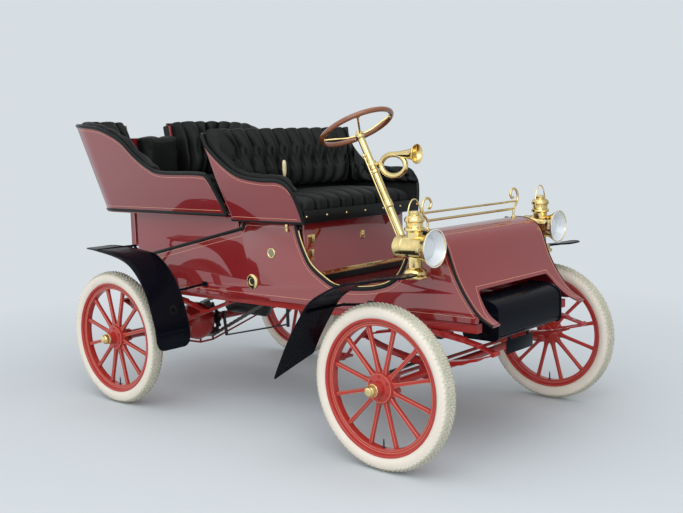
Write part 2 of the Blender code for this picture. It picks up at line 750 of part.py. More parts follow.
def rounded_outline(corners, radius, steps=3):
    """Round every corner of a flat outline."""
    count = len(corners)
    outline = []
    for i in range(count):
        here = Vector(corners[i])
        back = (Vector(corners[i - 1]) - here)
        ahead = (Vector(corners[(i + 1) % count]) - here)
        reach = min(radius, back.length / 2.1, ahead.length / 2.1)
        start = here + back.normalized() * reach
        end = here + ahead.normalized() * reach
        for step in range(steps + 1):
            t = step / steps
            point = start * (1 - t) ** 2 + here * 2 * t * (1 - t) + end * t ** 2
            outline.append(tuple(point))
    return outline


def scratch_object(shape):
    """Put a shape on an object that is only used while shapes are joined."""
    data = bpy.data.meshes.new("scratch")
    shape.to_mesh(data)
    shape.free()
    item = bpy.data.objects.new("scratch", data)
    bpy.context.collection.objects.link(item)
    return item


def merged(shapes):
    """Put several shapes into one mesh without joining them."""
    whole = bmesh.new()
    for shape in shapes:
        data = bpy.data.meshes.new("scratch")
        shape.to_mesh(data)
        shape.free()
        whole.from_mesh(data)
        bpy.data.meshes.remove(data)
    return whole


def combined(base, tools, operation="UNION"):
    """Join shapes to a base, or take them from it, and give one shape."""
    body = scratch_object(base)
    tool = scratch_object(merged(tools))
    cut = body.modifiers.new("combine", "BOOLEAN")
    cut.operation = operation
    cut.solver = "EXACT"
    cut.use_self = len(tools) > 1
    cut.object = tool
    view = bpy.context.evaluated_depsgraph_get()
    solid = body.evaluated_get(view)
    result = bmesh.new()
    result.from_mesh(solid.to_mesh())
    solid.to_mesh_clear()
    for item in (body, tool):
        data = item.data
        bpy.data.objects.remove(item, do_unlink=True)
        bpy.data.meshes.remove(data)
    bmesh.ops.remove_doubles(result, verts=result.verts, dist=0.00001)
    bmesh.ops.dissolve_degenerate(result, edges=result.edges, dist=0.00001)
    return result


def mirrored(shape):
    """Give the same shape for the other side of the car."""
    other = shape.copy()
    bmesh.ops.scale(other, vec=(-1.0, 1.0, 1.0), verts=other.verts)
    bmesh.ops.reverse_faces(other, faces=other.faces)
    return other


def for_side(shape, side):
    """Turn a shape drawn for the left side into the one for a side."""
    if side == LEFT:
        return shape
    other = mirrored(shape)
    shape.free()
    return other


def finish_for(name, kind):
    """Make a sub-part's own material."""
    colour, roughness, metallic = FINISHES[kind]
    finish = bpy.data.materials.new(name + "_finish")
    finish.use_nodes = True
    surface = finish.node_tree.nodes["Principled BSDF"]
    surface.inputs["Base Color"].default_value = (*colour, 1.0)
    surface.inputs["Roughness"].default_value = roughness
    surface.inputs["Metallic"].default_value = metallic
    finish.diffuse_color = (*colour, 1.0)
    return finish


def place(name, shape, kind, carrier, origin=(0.0, 0.0, 0.0)):
    """Write a shape to a named object whose origin is a point of the car."""
    offset = Vector(origin)
    bmesh.ops.translate(shape, vec=-offset, verts=shape.verts)
    data = bpy.data.meshes.new(name)
    shape.to_mesh(data)
    shape.free()
    data.shade_smooth()
    data.set_sharp_from_angle(angle=math.radians(35.0))
    item = bpy.data.objects.new(name, data)
    bpy.context.collection.objects.link(item)
    item.data.materials.append(finish_for(name, kind))
    item.parent = carrier
    item.location = offset - carrier_point(carrier)
    return item


def pivot(name, point, carrier):
    """Set an empty on a joint's axis."""
    item = bpy.data.objects.new(name, None)
    item.empty_display_size = EMPTY_SIZE
    bpy.context.collection.objects.link(item)
    item.parent = carrier
    item.location = Vector(point) - carrier_point(carrier)
    return item


def carrier_point(carrier):
    """Find the place of an empty, measured in the car's own stations."""
    point = Vector((0.0, 0.0, 0.0))
    item = carrier
    while item.parent is not None:
        point = point + item.location
        item = item.parent
    return point


def limits(side, near, far):
    """Give the low and high x of a piece between two half widths on one side."""
    return sorted((side * near, side * far))


def bore(radius, start, end, sides=ROUND_SIDES):
    """Make the cutter for a hole whose flats clear a bar by the running gap."""
    return cylinder((radius + RUN_GAP) / math.cos(math.pi / sides), start, end, sides)


# Wheels and tyres

def wheel_shape(side):
    """Build a spoked wheel about its own centre: felloe, spokes and hub."""
    felloe_inner = RIM_RADIUS - FELLOE_DEPTH
    felloe = turned(
        [(felloe_inner, -FELLOE_HALF_WIDTH), (felloe_inner, FELLOE_HALF_WIDTH),
         (RIM_RADIUS - RIM_EDGE, RIM_NECK_HALF_WIDTH), (RIM_RADIUS, RIM_HALF_WIDTH),
         (RIM_RADIUS, -RIM_HALF_WIDTH), (RIM_RADIUS - RIM_EDGE, -RIM_NECK_HALF_WIDTH)],
        TYRE_SIDES, (0, 0, 0), "x", ring=True)
    ends = ((FLANGE_RADIUS - SPOKE_TENON, SPOKE_FOOT_WIDTH, SPOKE_FOOT_DEPTH),
            (felloe_inner + SPOKE_TENON, SPOKE_TIP_WIDTH, SPOKE_TIP_DEPTH))
    spokes = []
    for i in range(SPOKES):
        turn = Matrix.Rotation(2 * math.pi * (i + 0.5) / SPOKES, 3, "X")
        rings = []
        for reach, width, depth in ends:
            section = round_section(1.0, SPOKE_SIDES)
            rings.append([turn @ Vector((a * depth / 2, b * width / 2, reach)) for a, b in section])
        spokes.append(bridged(rings))
    lip = FLANGE_HALF_WIDTH + FLANGE_LIP
    hub = turned(
        [(HUB_RADIUS, -HUB_INNER_REACH), (HUB_RADIUS, -lip), (FLANGE_RADIUS, -FLANGE_HALF_WIDTH),
         (FLANGE_RADIUS, FLANGE_HALF_WIDTH), (HUB_RADIUS, lip), (HUB_BARREL_RADIUS, HUB_BARREL_REACH),
         (HUB_CAP_RADIUS, HUB_CAP_SHOULDER), (HUB_CAP_TIP_RADIUS, HUB_CAP_REACH)],
        HUB_SIDES, (0, 0, 0), "x")
    wheel = combined(felloe, spokes + [hub])
    hole = bore(SPINDLE_RADIUS, (-HUB_INNER_REACH * 2, 0, 0), (SPINDLE_REACH + SPINDLE_END_PLAY, 0, 0))
    return for_side(combined(wheel, [hole], "DIFFERENCE"), side)


def tyre_shape():
    """Build a tyre about its own centre, with flats that touch its radius."""
    crown = TYRE_RADIUS / math.cos(math.pi / TYRE_SIDES)
    seat = RIM_RADIUS + REST_GAP / math.cos(math.pi / TYRE_SIDES)
    half = [(seat + (crown - seat) * rise, TYRE_HALF_WIDTH * width) for rise, width in TYRE_SECTION]
    profile = half + [(radius, -reach) for radius, reach in reversed(half)]
    return turned(profile, TYRE_SIDES, (0, 0, 0), "x", ring=True)


def build_wheel(end, side_name, station, carrier):
    """Put a wheel and its tyre on an axle end."""
    side = SIDES[side_name]
    centre = (side * WHEEL_X, station, AXLE_Z)
    hub = pivot(f"{end}_{side_name}_wheel_axis", centre, carrier)
    wheel = place(f"{end}_{side_name}_wheel", wheel_shape(side), "chassis_red", hub)
    tyre = place(f"{end}_{side_name}_tyre", tyre_shape(), "tyre_white", hub)
    for item in (wheel, tyre):
        item.location = (0.0, 0.0, 0.0)


# Springs and axles

def spring_half(rise):
    """Draw one half of a full-elliptic spring: the arched leaves of its pack."""
    def height(reach):
        return abs(rise) * (1 - (reach / SPRING_HALF_LENGTH) ** 2)
    step = (SPRING_HALF_LENGTH - SHORT_LEAF) / LEAVES
    arc = [SPRING_HALF_LENGTH * math.sin(math.pi / 2 * i / 5) for i in range(-5, 6)]
    inner = [(reach, height(reach)) for reach in arc]
    outer = []
    for leaf in range(1, LEAVES + 1):
        for end in (SPRING_HALF_LENGTH - step * (leaf - 1), SPRING_HALF_LENGTH - step * leaf):
            outer.append((end - LEAF_TIP, height(end - LEAF_TIP) + LEAF * leaf))
    left = [(-reach, z) for reach, z in reversed(outer)]
    outline = inner + outer + [(0.0, height(0.0) + LEAF * LEAVES)] + left
    sign = 1 if rise > 0 else -1
    return [(reach, sign * z) for reach, z in outline]


def build_spring(end, side_name, station, datum):
    """Build a full-elliptic leaf spring between the axle and the frame."""
    side = SIDES[side_name]
    low = side * RAIL_OUTER_X - SPRING_WIDTH / 2
    high = side * RAIL_OUTER_X + SPRING_WIDTH / 2
    pack = LEAF * LEAVES + REST_GAP
    top_rise = RAIL_BOTTOM - SPRING_EYE_Z - pack
    bottom_rise = SPRING_EYE_Z - PERCH_TOP - pack
    def moved(outline):
        return [(station + y, SPRING_EYE_Z + z) for y, z in outline]
    upper = prism(moved(spring_half(top_rise)), low, high)
    lower = prism(moved(spring_half(-bottom_rise)), low, high)
    eyes = []
    for reach in (-SPRING_HALF_LENGTH, SPRING_HALF_LENGTH):
        start = (low - SPRING_EYE_SIDE, station + reach, SPRING_EYE_Z)
        finish = (high + SPRING_EYE_SIDE, station + reach, SPRING_EYE_Z)
        eyes.append(cylinder(SPRING_EYE_RADIUS, start, finish, PIN_SIDES))
    place(f"{end}_{side_name}_spring", combined(upper, [lower] + eyes), "chassis_red", datum)


def perch(side, station, radius):
    """Build the block that carries a spring on an axle."""
    half = SPRING_WIDTH / 2
    middle = side * RAIL_OUTER_X
    return box((middle - half, middle + half), (station - PERCH_HALF_LENGTH, station + PERCH_HALF_LENGTH),
               (AXLE_Z - radius - PERCH_DROP, PERCH_TOP))


def build_front_axle(datum):
    """Build the tubular front axle with its kingpin bosses and perches."""
    reach = KINGPIN_X - AXLE_BOSS_RADIUS / 2
    tube = cylinder(AXLE_RADIUS, (-reach, 0, AXLE_Z), (reach, 0, AXLE_Z))
    parts = []
    bores = []
    half = AXLE_BOSS_HEIGHT / 2
    for side in (RIGHT, LEFT):
        parts.append(perch(side, 0.0, AXLE_RADIUS))
        x = side * KINGPIN_X
        parts.append(cylinder(AXLE_BOSS_RADIUS, (x, 0, AXLE_Z - half), (x, 0, AXLE_Z + half), BOSS_SIDES))
        bores.append(bore(KINGPIN_RADIUS, (x, 0, AXLE_Z - half * 2), (x, 0, AXLE_Z + half * 2)))
    axle = combined(combined(tube, parts), bores, "DIFFERENCE")
    place("front_axle", axle, "chassis_red", datum)


def link_pin_top(side_name):
    """Give the top of a steering arm's pin, longer where two links share it."""
    eye_z = DRAG_LINK_Z if side_name == "right" else TIE_ROD_Z
    return eye_z + LINK_EYE_HEIGHT / 2 + LINK_PIN_HEAD


def build_knuckle(side_name, datum):
    """Build a steering knuckle: fork, kingpin, spindle and rearward arm."""
    side = SIDES[side_name]
    half = AXLE_BOSS_HEIGHT / 2 + SLANT_GAP
    outer = half + KNUCKLE_LUG
    back = KINGPIN_X + AXLE_BOSS_RADIUS + KNUCKLE_WEB_GAP
    lug_end = back + KNUCKLE_WEB - WELD
    depth = KNUCKLE_HALF_DEPTH
    lug = rounded_outline([(KINGPIN_X - AXLE_BOSS_RADIUS, -depth), (lug_end, -depth),
                           (lug_end, depth), (KINGPIN_X - AXLE_BOSS_RADIUS, depth)], KNUCKLE_CORNER)
    pin = cylinder(KINGPIN_RADIUS, (KINGPIN_X, 0, AXLE_Z - outer),
                   (KINGPIN_X, 0, AXLE_Z + outer + KINGPIN_HEAD))
    boss = LINK_PIN_RADIUS + LINK_EYE_WALL
    arm = rounded_outline([(KINGPIN_X - STEER_ARM_ROOT, WELD), (KINGPIN_X + STEER_ARM_ROOT, WELD),
                           (KINGPIN_X + boss, STEER_ARM + boss), (KINGPIN_X - boss, STEER_ARM + boss)],
                          KNUCKLE_CORNER)
    parts = [
        prism(lug, AXLE_Z + half, AXLE_Z + outer, "z"),
        prism(lug, AXLE_Z - outer, AXLE_Z - half, "z"),
        box((back, back + KNUCKLE_WEB), (-depth, depth), (AXLE_Z - outer, AXLE_Z + outer)),
        cylinder(SPINDLE_RADIUS, (back + WELD, 0, AXLE_Z), (SPINDLE_END_X, 0, AXLE_Z), SPINDLE_SIDES),
        prism(arm, AXLE_Z - outer, AXLE_Z - half, "z"),
        cylinder(LINK_PIN_RADIUS, (KINGPIN_X, STEER_ARM, AXLE_Z - half - WELD),
                 (KINGPIN_X, STEER_ARM, link_pin_top(side_name)), PIN_SIDES),
    ]
    shape = for_side(combined(pin, parts), side)
    hinge = pivot(f"{side_name}_steer_axis", (side * KINGPIN_X, 0, AXLE_Z), datum)
    place(f"{side_name}_knuckle", shape, "chassis_red", hinge, (side * KINGPIN_X, 0, AXLE_Z))
    return hinge


def eye_at(x, z):
    """Build the round eye at a link's end."""
    half = LINK_EYE_HEIGHT / 2
    return cylinder(LINK_PIN_RADIUS + LINK_EYE_WALL, (x, STEER_ARM, z - half), (x, STEER_ARM, z + half),
                    BOSS_SIDES)


def eye_bore(x, z):
    """Build the cutter for a link's eye."""
    return bore(LINK_PIN_RADIUS, (x, STEER_ARM, z - LINK_EYE_HEIGHT), (x, STEER_ARM, z + LINK_EYE_HEIGHT))


def build_tie_rod(datum):
    """Build the rod that joins the two steering arms."""
    x = KINGPIN_X
    z = TIE_ROD_Z
    reach = x - LINK_PIN_RADIUS - LINK_EYE_WALL / 2
    tube = cylinder(TIE_ROD_RADIUS, (-reach, STEER_ARM, z), (reach, STEER_ARM, z), PIN_SIDES)
    shape = combined(tube, [eye_at(-x, z), eye_at(x, z)])
    shape = combined(shape, [eye_bore(-x, z), eye_bore(x, z)], "DIFFERENCE")
    hinge = pivot("tie_rod_axis", (-x, STEER_ARM, z), datum)
    place("tie_rod", shape, "chassis_red", hinge, (-x, STEER_ARM, z))


def build_drag_link(datum):
    """Build the link from the drop arm to the right steering arm."""
    x = -KINGPIN_X
    z = DRAG_LINK_Z
    root = x + LINK_PIN_RADIUS + LINK_EYE_WALL / 2
    socket_end = COLUMN_X - DRAG_SOCKET_GAP
    socket_start = socket_end - DRAG_SOCKET_LENGTH
    inner = ((socket_start + socket_end) / 2, STEER_ARM, DROP_EYE_Z)
    bar = rod([(root, STEER_ARM, z), (x + DRAG_LINK_STRAIGHT, STEER_ARM, z), inner], DRAG_LINK_RADIUS)
    socket = cylinder(DRAG_SOCKET_RADIUS, (socket_start, STEER_ARM, DROP_EYE_Z),
                      (socket_end, STEER_ARM, DROP_EYE_Z), PIN_SIDES)
    shape = combined(bar, [eye_at(x, z), socket])
    shape = combined(shape, [eye_bore(x, z)], "DIFFERENCE")
    hinge = pivot("drag_link_axis", (x, STEER_ARM, z), datum)
    place("drag_link", shape, "black_iron", hinge, (x, STEER_ARM, z))


def build_drop_arm(datum):
    """Build the drop arm that hangs from the steering box."""
    x = COLUMN_X
    low = STEER_ARM - DROP_ARM_HALF_DEPTH
    high = STEER_ARM + DROP_ARM_HALF_DEPTH
    arm = prism([(x - DROP_ARM_TIP, DROP_EYE_Z), (x + DROP_ARM_TIP, DROP_EYE_Z),
                 (x + DROP_ARM_ROOT, DROP_PIVOT_Z), (x - DROP_ARM_ROOT, DROP_PIVOT_Z)],
                low + DROP_ARM_RELIEF, high - DROP_ARM_RELIEF, "y")
    parts = [cylinder(DROP_BOSS_RADIUS, (x, low, DROP_PIVOT_Z), (x, high, DROP_PIVOT_Z), BOSS_SIDES),
             cylinder(DROP_EYE_RADIUS, (x, low, DROP_EYE_Z), (x, high, DROP_EYE_Z))]
    hole = bore(DROP_SHAFT_RADIUS, (x, low * 0.5, DROP_PIVOT_Z), (x, high * 1.5, DROP_PIVOT_Z))
    shape = combined(combined(arm, parts), [hole], "DIFFERENCE")
    hinge = pivot("drop_arm_axis", (x, STEER_ARM, DROP_PIVOT_Z), datum)
    place("drop_arm", shape, "black_iron", hinge, (x, STEER_ARM, DROP_PIVOT_Z))


def truss_parts():
    """Build the truss rod under the rear axle and the two struts that bow it."""
    low_z = AXLE_Z - TRUSS_DROP
    end_z = AXLE_Z - TRUSS_END_DROP
    line = [(-TRUSS_RIGHT_END, WHEELBASE, end_z), (TRUSS_STRUTS_X[0], WHEELBASE, low_z),
            (TRUSS_STRUTS_X[1], WHEELBASE, low_z), (TRUSS_LEFT_END, WHEELBASE, end_z)]
    parts = [rod(line, TRUSS_RADIUS, THIN_SIDES)]
    for x in TRUSS_STRUTS_X:
        parts.append(cylinder(STRUT_RADIUS, (x, WHEELBASE, low_z), (x, WHEELBASE, end_z), THIN_SIDES))
    return parts


def distance_rod(side):
    """Build a rod that holds the rear axle back from the frame, with its eye."""
    x = RAIL_INNER_X - DISTANCE_ROD_INSET
    eye_y = WHEELBASE - DISTANCE_ROD_LENGTH
    eye_z = RAIL_BOTTOM - DISTANCE_ROD_EYE_RADIUS - REST_GAP
    bar = rod([(side * x, WHEELBASE, AXLE_Z), (side * x, eye_y, eye_z)], DISTANCE_ROD_RADIUS)
    eye = cylinder(DISTANCE_ROD_EYE_RADIUS, (side * (x - DISTANCE_ROD_EYE_INNER), eye_y, eye_z),
                   (side * (x + DISTANCE_ROD_EYE_OUTER), eye_y, eye_z), PIN_SIDES)
    return [bar, eye]


def build_rear_axle(datum):
    """Build the rear axle: housing, differential drum, spindles, truss and rods."""
    spindle = [(SPINDLE_RADIUS, SPINDLE_END_X), (SPINDLE_RADIUS, WHEEL_X - BEARING_INSET),
               (BEARING_RADIUS, WHEEL_X - BEARING_INSET),
               (BEARING_RADIUS, WHEEL_X - BEARING_INSET - BEARING_LENGTH),
               (REAR_AXLE_RADIUS, WHEEL_X - BEARING_INSET - BEARING_LENGTH - BEARING_NECK)]
    right = [(radius, -reach) for radius, reach in spindle]
    sleeve = [(SLEEVE_RADIUS, DRUM_PROFILE[-1][1]), (SLEEVE_RADIUS, SLEEVE_END_X),
              (REAR_AXLE_RADIUS, SLEEVE_END_X + WELD)]
    profile = right + [(REAR_AXLE_RADIUS, DRUM_PROFILE[0][1])] + list(DRUM_PROFILE)
    profile = profile + sleeve + list(reversed(spindle))
    housing = turned(profile, REAR_AXLE_SIDES, (0, WHEELBASE, AXLE_Z), "x")
    parts = [perch(side, WHEELBASE, REAR_AXLE_RADIUS) for side in (RIGHT, LEFT)]
    parts = parts + distance_rod(RIGHT) + distance_rod(LEFT) + truss_parts()
    place("rear_axle", combined(housing, parts), "chassis_red", datum)


# Frame, engine and drive line

def side_step(side):
    """Build a side step: a bent round iron from the rail, with its tread."""
    def moved(point):
        return (side * (RAIL_OUTER_X + point[0]), SIDE_STEP_Y + point[1], RAIL_BOTTOM + point[2])
    iron = rod(smooth_line([moved(point) for point in SIDE_STEP_IRON], 2), STEP_IRON_RADIUS, THIN_SIDES)
    middle = side * (RAIL_OUTER_X + SIDE_STEP_REACH)
    top = RAIL_BOTTOM - SIDE_STEP_DROP
    tread = box((middle - SIDE_STEP_HALF_WIDTH, middle + SIDE_STEP_HALF_WIDTH),
                (SIDE_STEP_Y - SIDE_STEP_HALF_LENGTH, SIDE_STEP_Y + SIDE_STEP_HALF_LENGTH),
                (top - STEP_TREAD, top))
    return [iron, tread]


def rear_step():
    """Build the step under the door, with its two irons from the last cross bar."""
    start = RAIL_REAR + REAR_STEP_REACH
    tread_low = RAIL_BOTTOM - REAR_STEP_DROP - STEP_TREAD
    iron_z = tread_low - REAR_STEP_IRON_DEPTH / 4
    parts = [box((-REAR_STEP_HALF_WIDTH, REAR_STEP_HALF_WIDTH), (start, start + REAR_STEP_LENGTH),
                 (tread_low, tread_low + STEP_TREAD))]
    for side in (RIGHT, LEFT):
        x = side * REAR_STEP_IRON_X
        line = [(x, RAIL_REAR - CROSS_BAR / 2, RAIL_BOTTOM + REAR_STEP_IRON_RISE),
                (x, RAIL_REAR + REAR_STEP_KNEE, RAIL_BOTTOM - REAR_STEP_KNEE_DROP),
                (x, start - CROSS_BAR / 2, iron_z),
                (x, start + REAR_STEP_LENGTH - CROSS_BAR / 2, iron_z)]
        parts.append(swept(line, flat_section(REAR_STEP_IRON_WIDTH, REAR_STEP_IRON_DEPTH)))
    return parts


def build_frame(datum):
    """Build the steel frame with its cross bars and the three steps."""
    rails = []
    for side in (RIGHT, LEFT):
        rails.append(box(limits(side, RAIL_INNER_X, RAIL_OUTER_X), (-RAIL_NOSE, RAIL_REAR),
                         (RAIL_BOTTOM, RAIL_TOP - REST_GAP)))
    reach = RAIL_INNER_X + WELD
    parts = rails[1:]
    for low in (TANK_REAR + REST_GAP, STEERING_BAR_Y, CRANK_Y - ENGINE_BAY_HALF,
                CRANK_Y + ENGINE_BAY_HALF, RAIL_REAR - CROSS_BAR):
        parts.append(box((-reach, reach), (low, low + CROSS_BAR),
                         (RAIL_BOTTOM + CROSS_BAR_INSET, RAIL_TOP - CROSS_BAR_INSET)))
    parts = parts + side_step(RIGHT) + side_step(LEFT) + rear_step()
    place("frame", combined(rails[0], parts), "chassis_red", datum)


def build_engine(datum):
    """Build the engine as a plain block with its transmission drum."""
    span = (ENGINE_FRONT, ENGINE_REAR)
    block = box((ENGINE_RIGHT_X, RAIL_INNER_X - ENGINE_SIDE_GAP), span,
                (ENGINE_BOTTOM, RAIL_TOP + ENGINE_RISE))
    shaft = cylinder(SHAFT_RADIUS, (SHAFT_END_GAP - RAIL_INNER_X, CRANK_Y, CRANK_Z),
                     (ENGINE_RIGHT_X + SHAFT_RADIUS, CRANK_Y, CRANK_Z))
    drum_end = GEAR_DRUM_GAP - RAIL_INNER_X
    drum = cylinder(GEAR_DRUM_RADIUS, (drum_end, CRANK_Y, CRANK_Z), (GEAR_DRUM_INNER_X, CRANK_Y, CRANK_Z),
                    DRUM_SIDES)
    bearer = box((drum_end, GEAR_DRUM_INNER_X), span, (RAIL_TOP - BEARER_DROP[1], RAIL_TOP - BEARER_DROP[0]))
    place("engine", combined(block, [shaft, drum, bearer]), "black_iron", datum)


def pitch_radius(teeth):
    """Give the radius on which a sprocket holds the chain's rollers."""
    return CHAIN_PITCH / (2 * math.sin(math.pi / teeth))


def seating(teeth, centre, outward, wrap):
    """Find the first roller's angle and the number of links that lie in a sprocket."""
    step = 2 * math.pi / teeth
    count = int(2 * wrap / step)
    return teeth, centre, outward - step * count / 2, count


def chain_seats():
    """Find how the chain lies in the engine's sprocket and in the axle's."""
    span = (WHEELBASE - CRANK_Y, AXLE_Z - CRANK_Z)
    spread = math.asin((pitch_radius(REAR_TEETH) - pitch_radius(ENGINE_TEETH)) / math.hypot(*span))
    lean = math.atan2(span[1], span[0])
    front = seating(ENGINE_TEETH, (CRANK_Y, CRANK_Z), lean + math.pi, math.pi / 2 - spread)
    rear = seating(REAR_TEETH, (WHEELBASE, AXLE_Z), lean, math.pi / 2 + spread)
    return front, rear


def seated_rollers(seats):
    """Place the rollers that lie in a sprocket, in the order of their angles."""
    teeth, centre, first, count = seats
    radius = pitch_radius(teeth)
    angles = [first + 2 * math.pi / teeth * i for i in range(count + 1)]
    return [(centre[0] + radius * math.cos(angle), centre[1] + radius * math.sin(angle)) for angle in angles]


def straight_run(start, end):
    """Divide a straight run of the chain evenly, without its two end rollers."""
    links = round(math.dist(start, end) / CHAIN_PITCH)
    return [(start[0] + (end[0] - start[0]) * i / links, start[1] + (end[1] - start[1]) * i / links)
            for i in range(1, links)]


def chain_rollers():
    """Place every roller of the chain, from the engine round the rear axle."""
    front, rear = [seated_rollers(seats) for seats in chain_seats()]
    return front + straight_run(front[-1], rear[0]) + rear + straight_run(rear[-1], front[0])


def chain_band(rollers, low, high):
    """Build one side of the chain: plates that are widest at the rollers."""
    knots = []
    for i, here in enumerate(rollers):
        after = rollers[(i + 1) % len(rollers)]
        knots.append((here, CHAIN_PLATE_HALF_HEIGHT))
        knots.append((((here[0] + after[0]) / 2, (here[1] + after[1]) / 2), CHAIN_WAIST_HALF_HEIGHT))
    outer = []
    inner = []
    for i, (here, half) in enumerate(knots):
        before = Vector(knots[i - 1][0])
        after = Vector(knots[(i + 1) % len(knots)][0])
        along = (after - before).normalized()
        out = Vector((-along.y, along.x)) * half
        outer.append(Vector(here) + out)
        inner.append(Vector(here) - out)
    rings = []
    for x, line in ((low, outer), (high, outer), (high, inner), (low, inner)):
        rings.append([Vector((x, point.x, point.y)) for point in line])
    return bridged(rings, cyclic=True)


def build_chain(datum):
    """Build the roller chain: two bands of side plates with a roller at each link."""
    rollers = chain_rollers()
    near = CHAIN_THROAT
    far = CHAIN_THROAT + CHAIN_PLATE
    pin = CHAIN_THROAT + CHAIN_PLATE / 2
    parts = [chain_band(rollers, CHAIN_X + near, CHAIN_X + far)]
    for y, z in rollers:
        parts.append(cylinder(ROLLER_RADIUS, (CHAIN_X - pin, y, z), (CHAIN_X + pin, y, z), THIN_SIDES))
    chain = combined(chain_band(rollers, CHAIN_X - far, CHAIN_X - near), parts)
    place("drive_chain", chain, "steel", datum)


def sprocket(seats, shaft_radius, shaft_sides):
    """Build a toothed sprocket whose seats hold the chain's rollers."""
    teeth, centre, phase = seats[:3]
    radius = pitch_radius(teeth)
    step = 2 * math.pi / teeth
    seat = ROLLER_RADIUS + REST_GAP
    tip = radius + TOOTH_RISE
    tip_turn = step / 2 - TOOTH_TIP_HALF_WIDTH / tip
    outline = []
    for i in range(teeth):
        angle = phase + step * i
        out = Vector((math.cos(angle), math.sin(angle)))
        side = Vector((-out.y, out.x))
        middle = Vector(centre) + out * radius
        for across, drop in ((-TOOTH_SEAT_HALF_WIDTH, TOOTH_SEAT_DROP), (-TOOTH_FLOOR_HALF_WIDTH, seat),
                             (TOOTH_FLOOR_HALF_WIDTH, seat), (TOOTH_SEAT_HALF_WIDTH, TOOTH_SEAT_DROP)):
            outline.append(tuple(middle + side * across - out * drop))
        for turn in (angle + tip_turn, angle + step - tip_turn):
            outline.append((centre[0] + tip * math.cos(turn), centre[1] + tip * math.sin(turn)))
    half = SPROCKET_HALF_WIDTH
    disc = prism(outline, CHAIN_X - half, CHAIN_X + half)
    near = CHAIN_X - half * 2
    far = CHAIN_X + half * 2
    holes = [cylinder(shaft_radius + REST_GAP, (near, *centre), (far, *centre), shaft_sides)]
    if radius > SPROCKET_HOLE_REACH + SPROCKET_HOLE_RADIUS * 2:
        for i in range(SPROCKET_HOLES):
            angle = 2 * math.pi * i / SPROCKET_HOLES
            y = centre[0] + SPROCKET_HOLE_REACH * math.cos(angle)
            z = centre[1] + SPROCKET_HOLE_REACH * math.sin(angle)
            holes.append(cylinder(SPROCKET_HOLE_RADIUS, (near, y, z), (far, y, z), BAR_SIDES))
    return combined(disc, holes, "DIFFERENCE")


def build_sprockets(datum):
    """Build the sprocket on the crankshaft and the one on the rear axle."""
    front, rear = chain_seats()
    place("engine_sprocket", sprocket(front, SHAFT_RADIUS, SHAFT_SIDES), "black_iron", datum)
    place("rear_sprocket", sprocket(rear, SLEEVE_RADIUS, REAR_AXLE_SIDES), "black_iron", datum)


def build_silencer(datum):
    """Build the silencer, its exhaust pipe from the engine and its hanger."""
    x = SILENCER_X
    z = RAIL_TOP - SILENCER_DROP
    front = ENGINE_REAR + SILENCER_LEAD
    rear = front + SILENCER_LENGTH
    body = turned([(EXHAUST_RADIUS, front - SILENCER_CONE), (SILENCER_RADIUS, front),
                   (SILENCER_RADIUS, rear), (EXHAUST_RADIUS, rear + SILENCER_CONE),
                   (EXHAUST_RADIUS, rear + SILENCER_CONE * 2)], BOSS_SIDES, (x, 0, z), "y")
    port_z = ENGINE_BOTTOM + EXHAUST_PORT_RISE
    pipe = rod([(x, ENGINE_REAR + REST_GAP * 2, port_z), (x, ENGINE_REAR + EXHAUST_RADIUS, port_z),
                (x, front - SILENCER_CONE, z), (x, front, z)], EXHAUST_RADIUS, PIN_SIDES)
    top = RAIL_BOTTOM + CROSS_BAR_INSET - REST_GAP
    middle = ENGINE_REAR + REST_GAP + CROSS_BAR / 2
    half = HANGER_WIDTH / 2
    foot = box((x - half, x + half), (middle - half, middle + half), (top - HANGER, top))
    strap = swept([(x, middle, top - HANGER / 2), (x, front, z + SILENCER_RADIUS),
                   (x, front + HANGER_WIDTH, z + SILENCER_RADIUS - HANGER / 4)],
                  flat_section(HANGER_WIDTH, HANGER))
    place("silencer", combined(body, [pipe, foot, strap]), "black_iron", datum)


def build_brake_rod(datum):
    """Build the brake's front lever under the engine, its rod and its rear lever."""
    x = BRAKE_X
    half = BRAKE_BAR / 2
    front_y = CRANK_Y + BRAKE_FRONT_LEVER_LEAD
    front_low = ENGINE_BOTTOM - BRAKE_FRONT_LEVER_DROP
    lever = box((x - half, x + half), (front_y - half, front_y + half), (front_low, ENGINE_BOTTOM - REST_GAP))
    ends = [(x, WHEELBASE + ahead, AXLE_Z + rise) for ahead, rise in BRAKE_REAR_LEVER]
    rear_lever = swept(ends, flat_section(BRAKE_BAR, BRAKE_BAR))
    pull = rod([(x, front_y, front_low + BRAKE_BAR), (ends[1][0], ends[1][1], ends[1][2] + BRAKE_BAR / 4)],
               BRAKE_ROD_RADIUS, THIN_SIDES)
    flat = WHEELBASE - REAR_AXLE_RADIUS * math.cos(math.pi / REAR_AXLE_SIDES)
    share = BRAKE_REAR_LEVER[0][1] / (BRAKE_REAR_LEVER[0][1] - BRAKE_REAR_LEVER[1][1])
    lever_y = WHEELBASE + BRAKE_REAR_LEVER[0][0] + (BRAKE_REAR_LEVER[1][0] - BRAKE_REAR_LEVER[0][0]) * share
    strap = box((x - half, x + half), (lever_y, flat - REST_GAP), (AXLE_Z - WELD, AXLE_Z + WELD))
    place("brake_rod", combined(lever, [pull, rear_lever, strap]), "black_iron", datum)


# Lower body

def apron_curve():
    """Draw the outside of the hood apron from its crest to its toe."""
    return smooth_line([(y, RAIL_TOP + rise) for y, rise in APRON_LINE], 2)


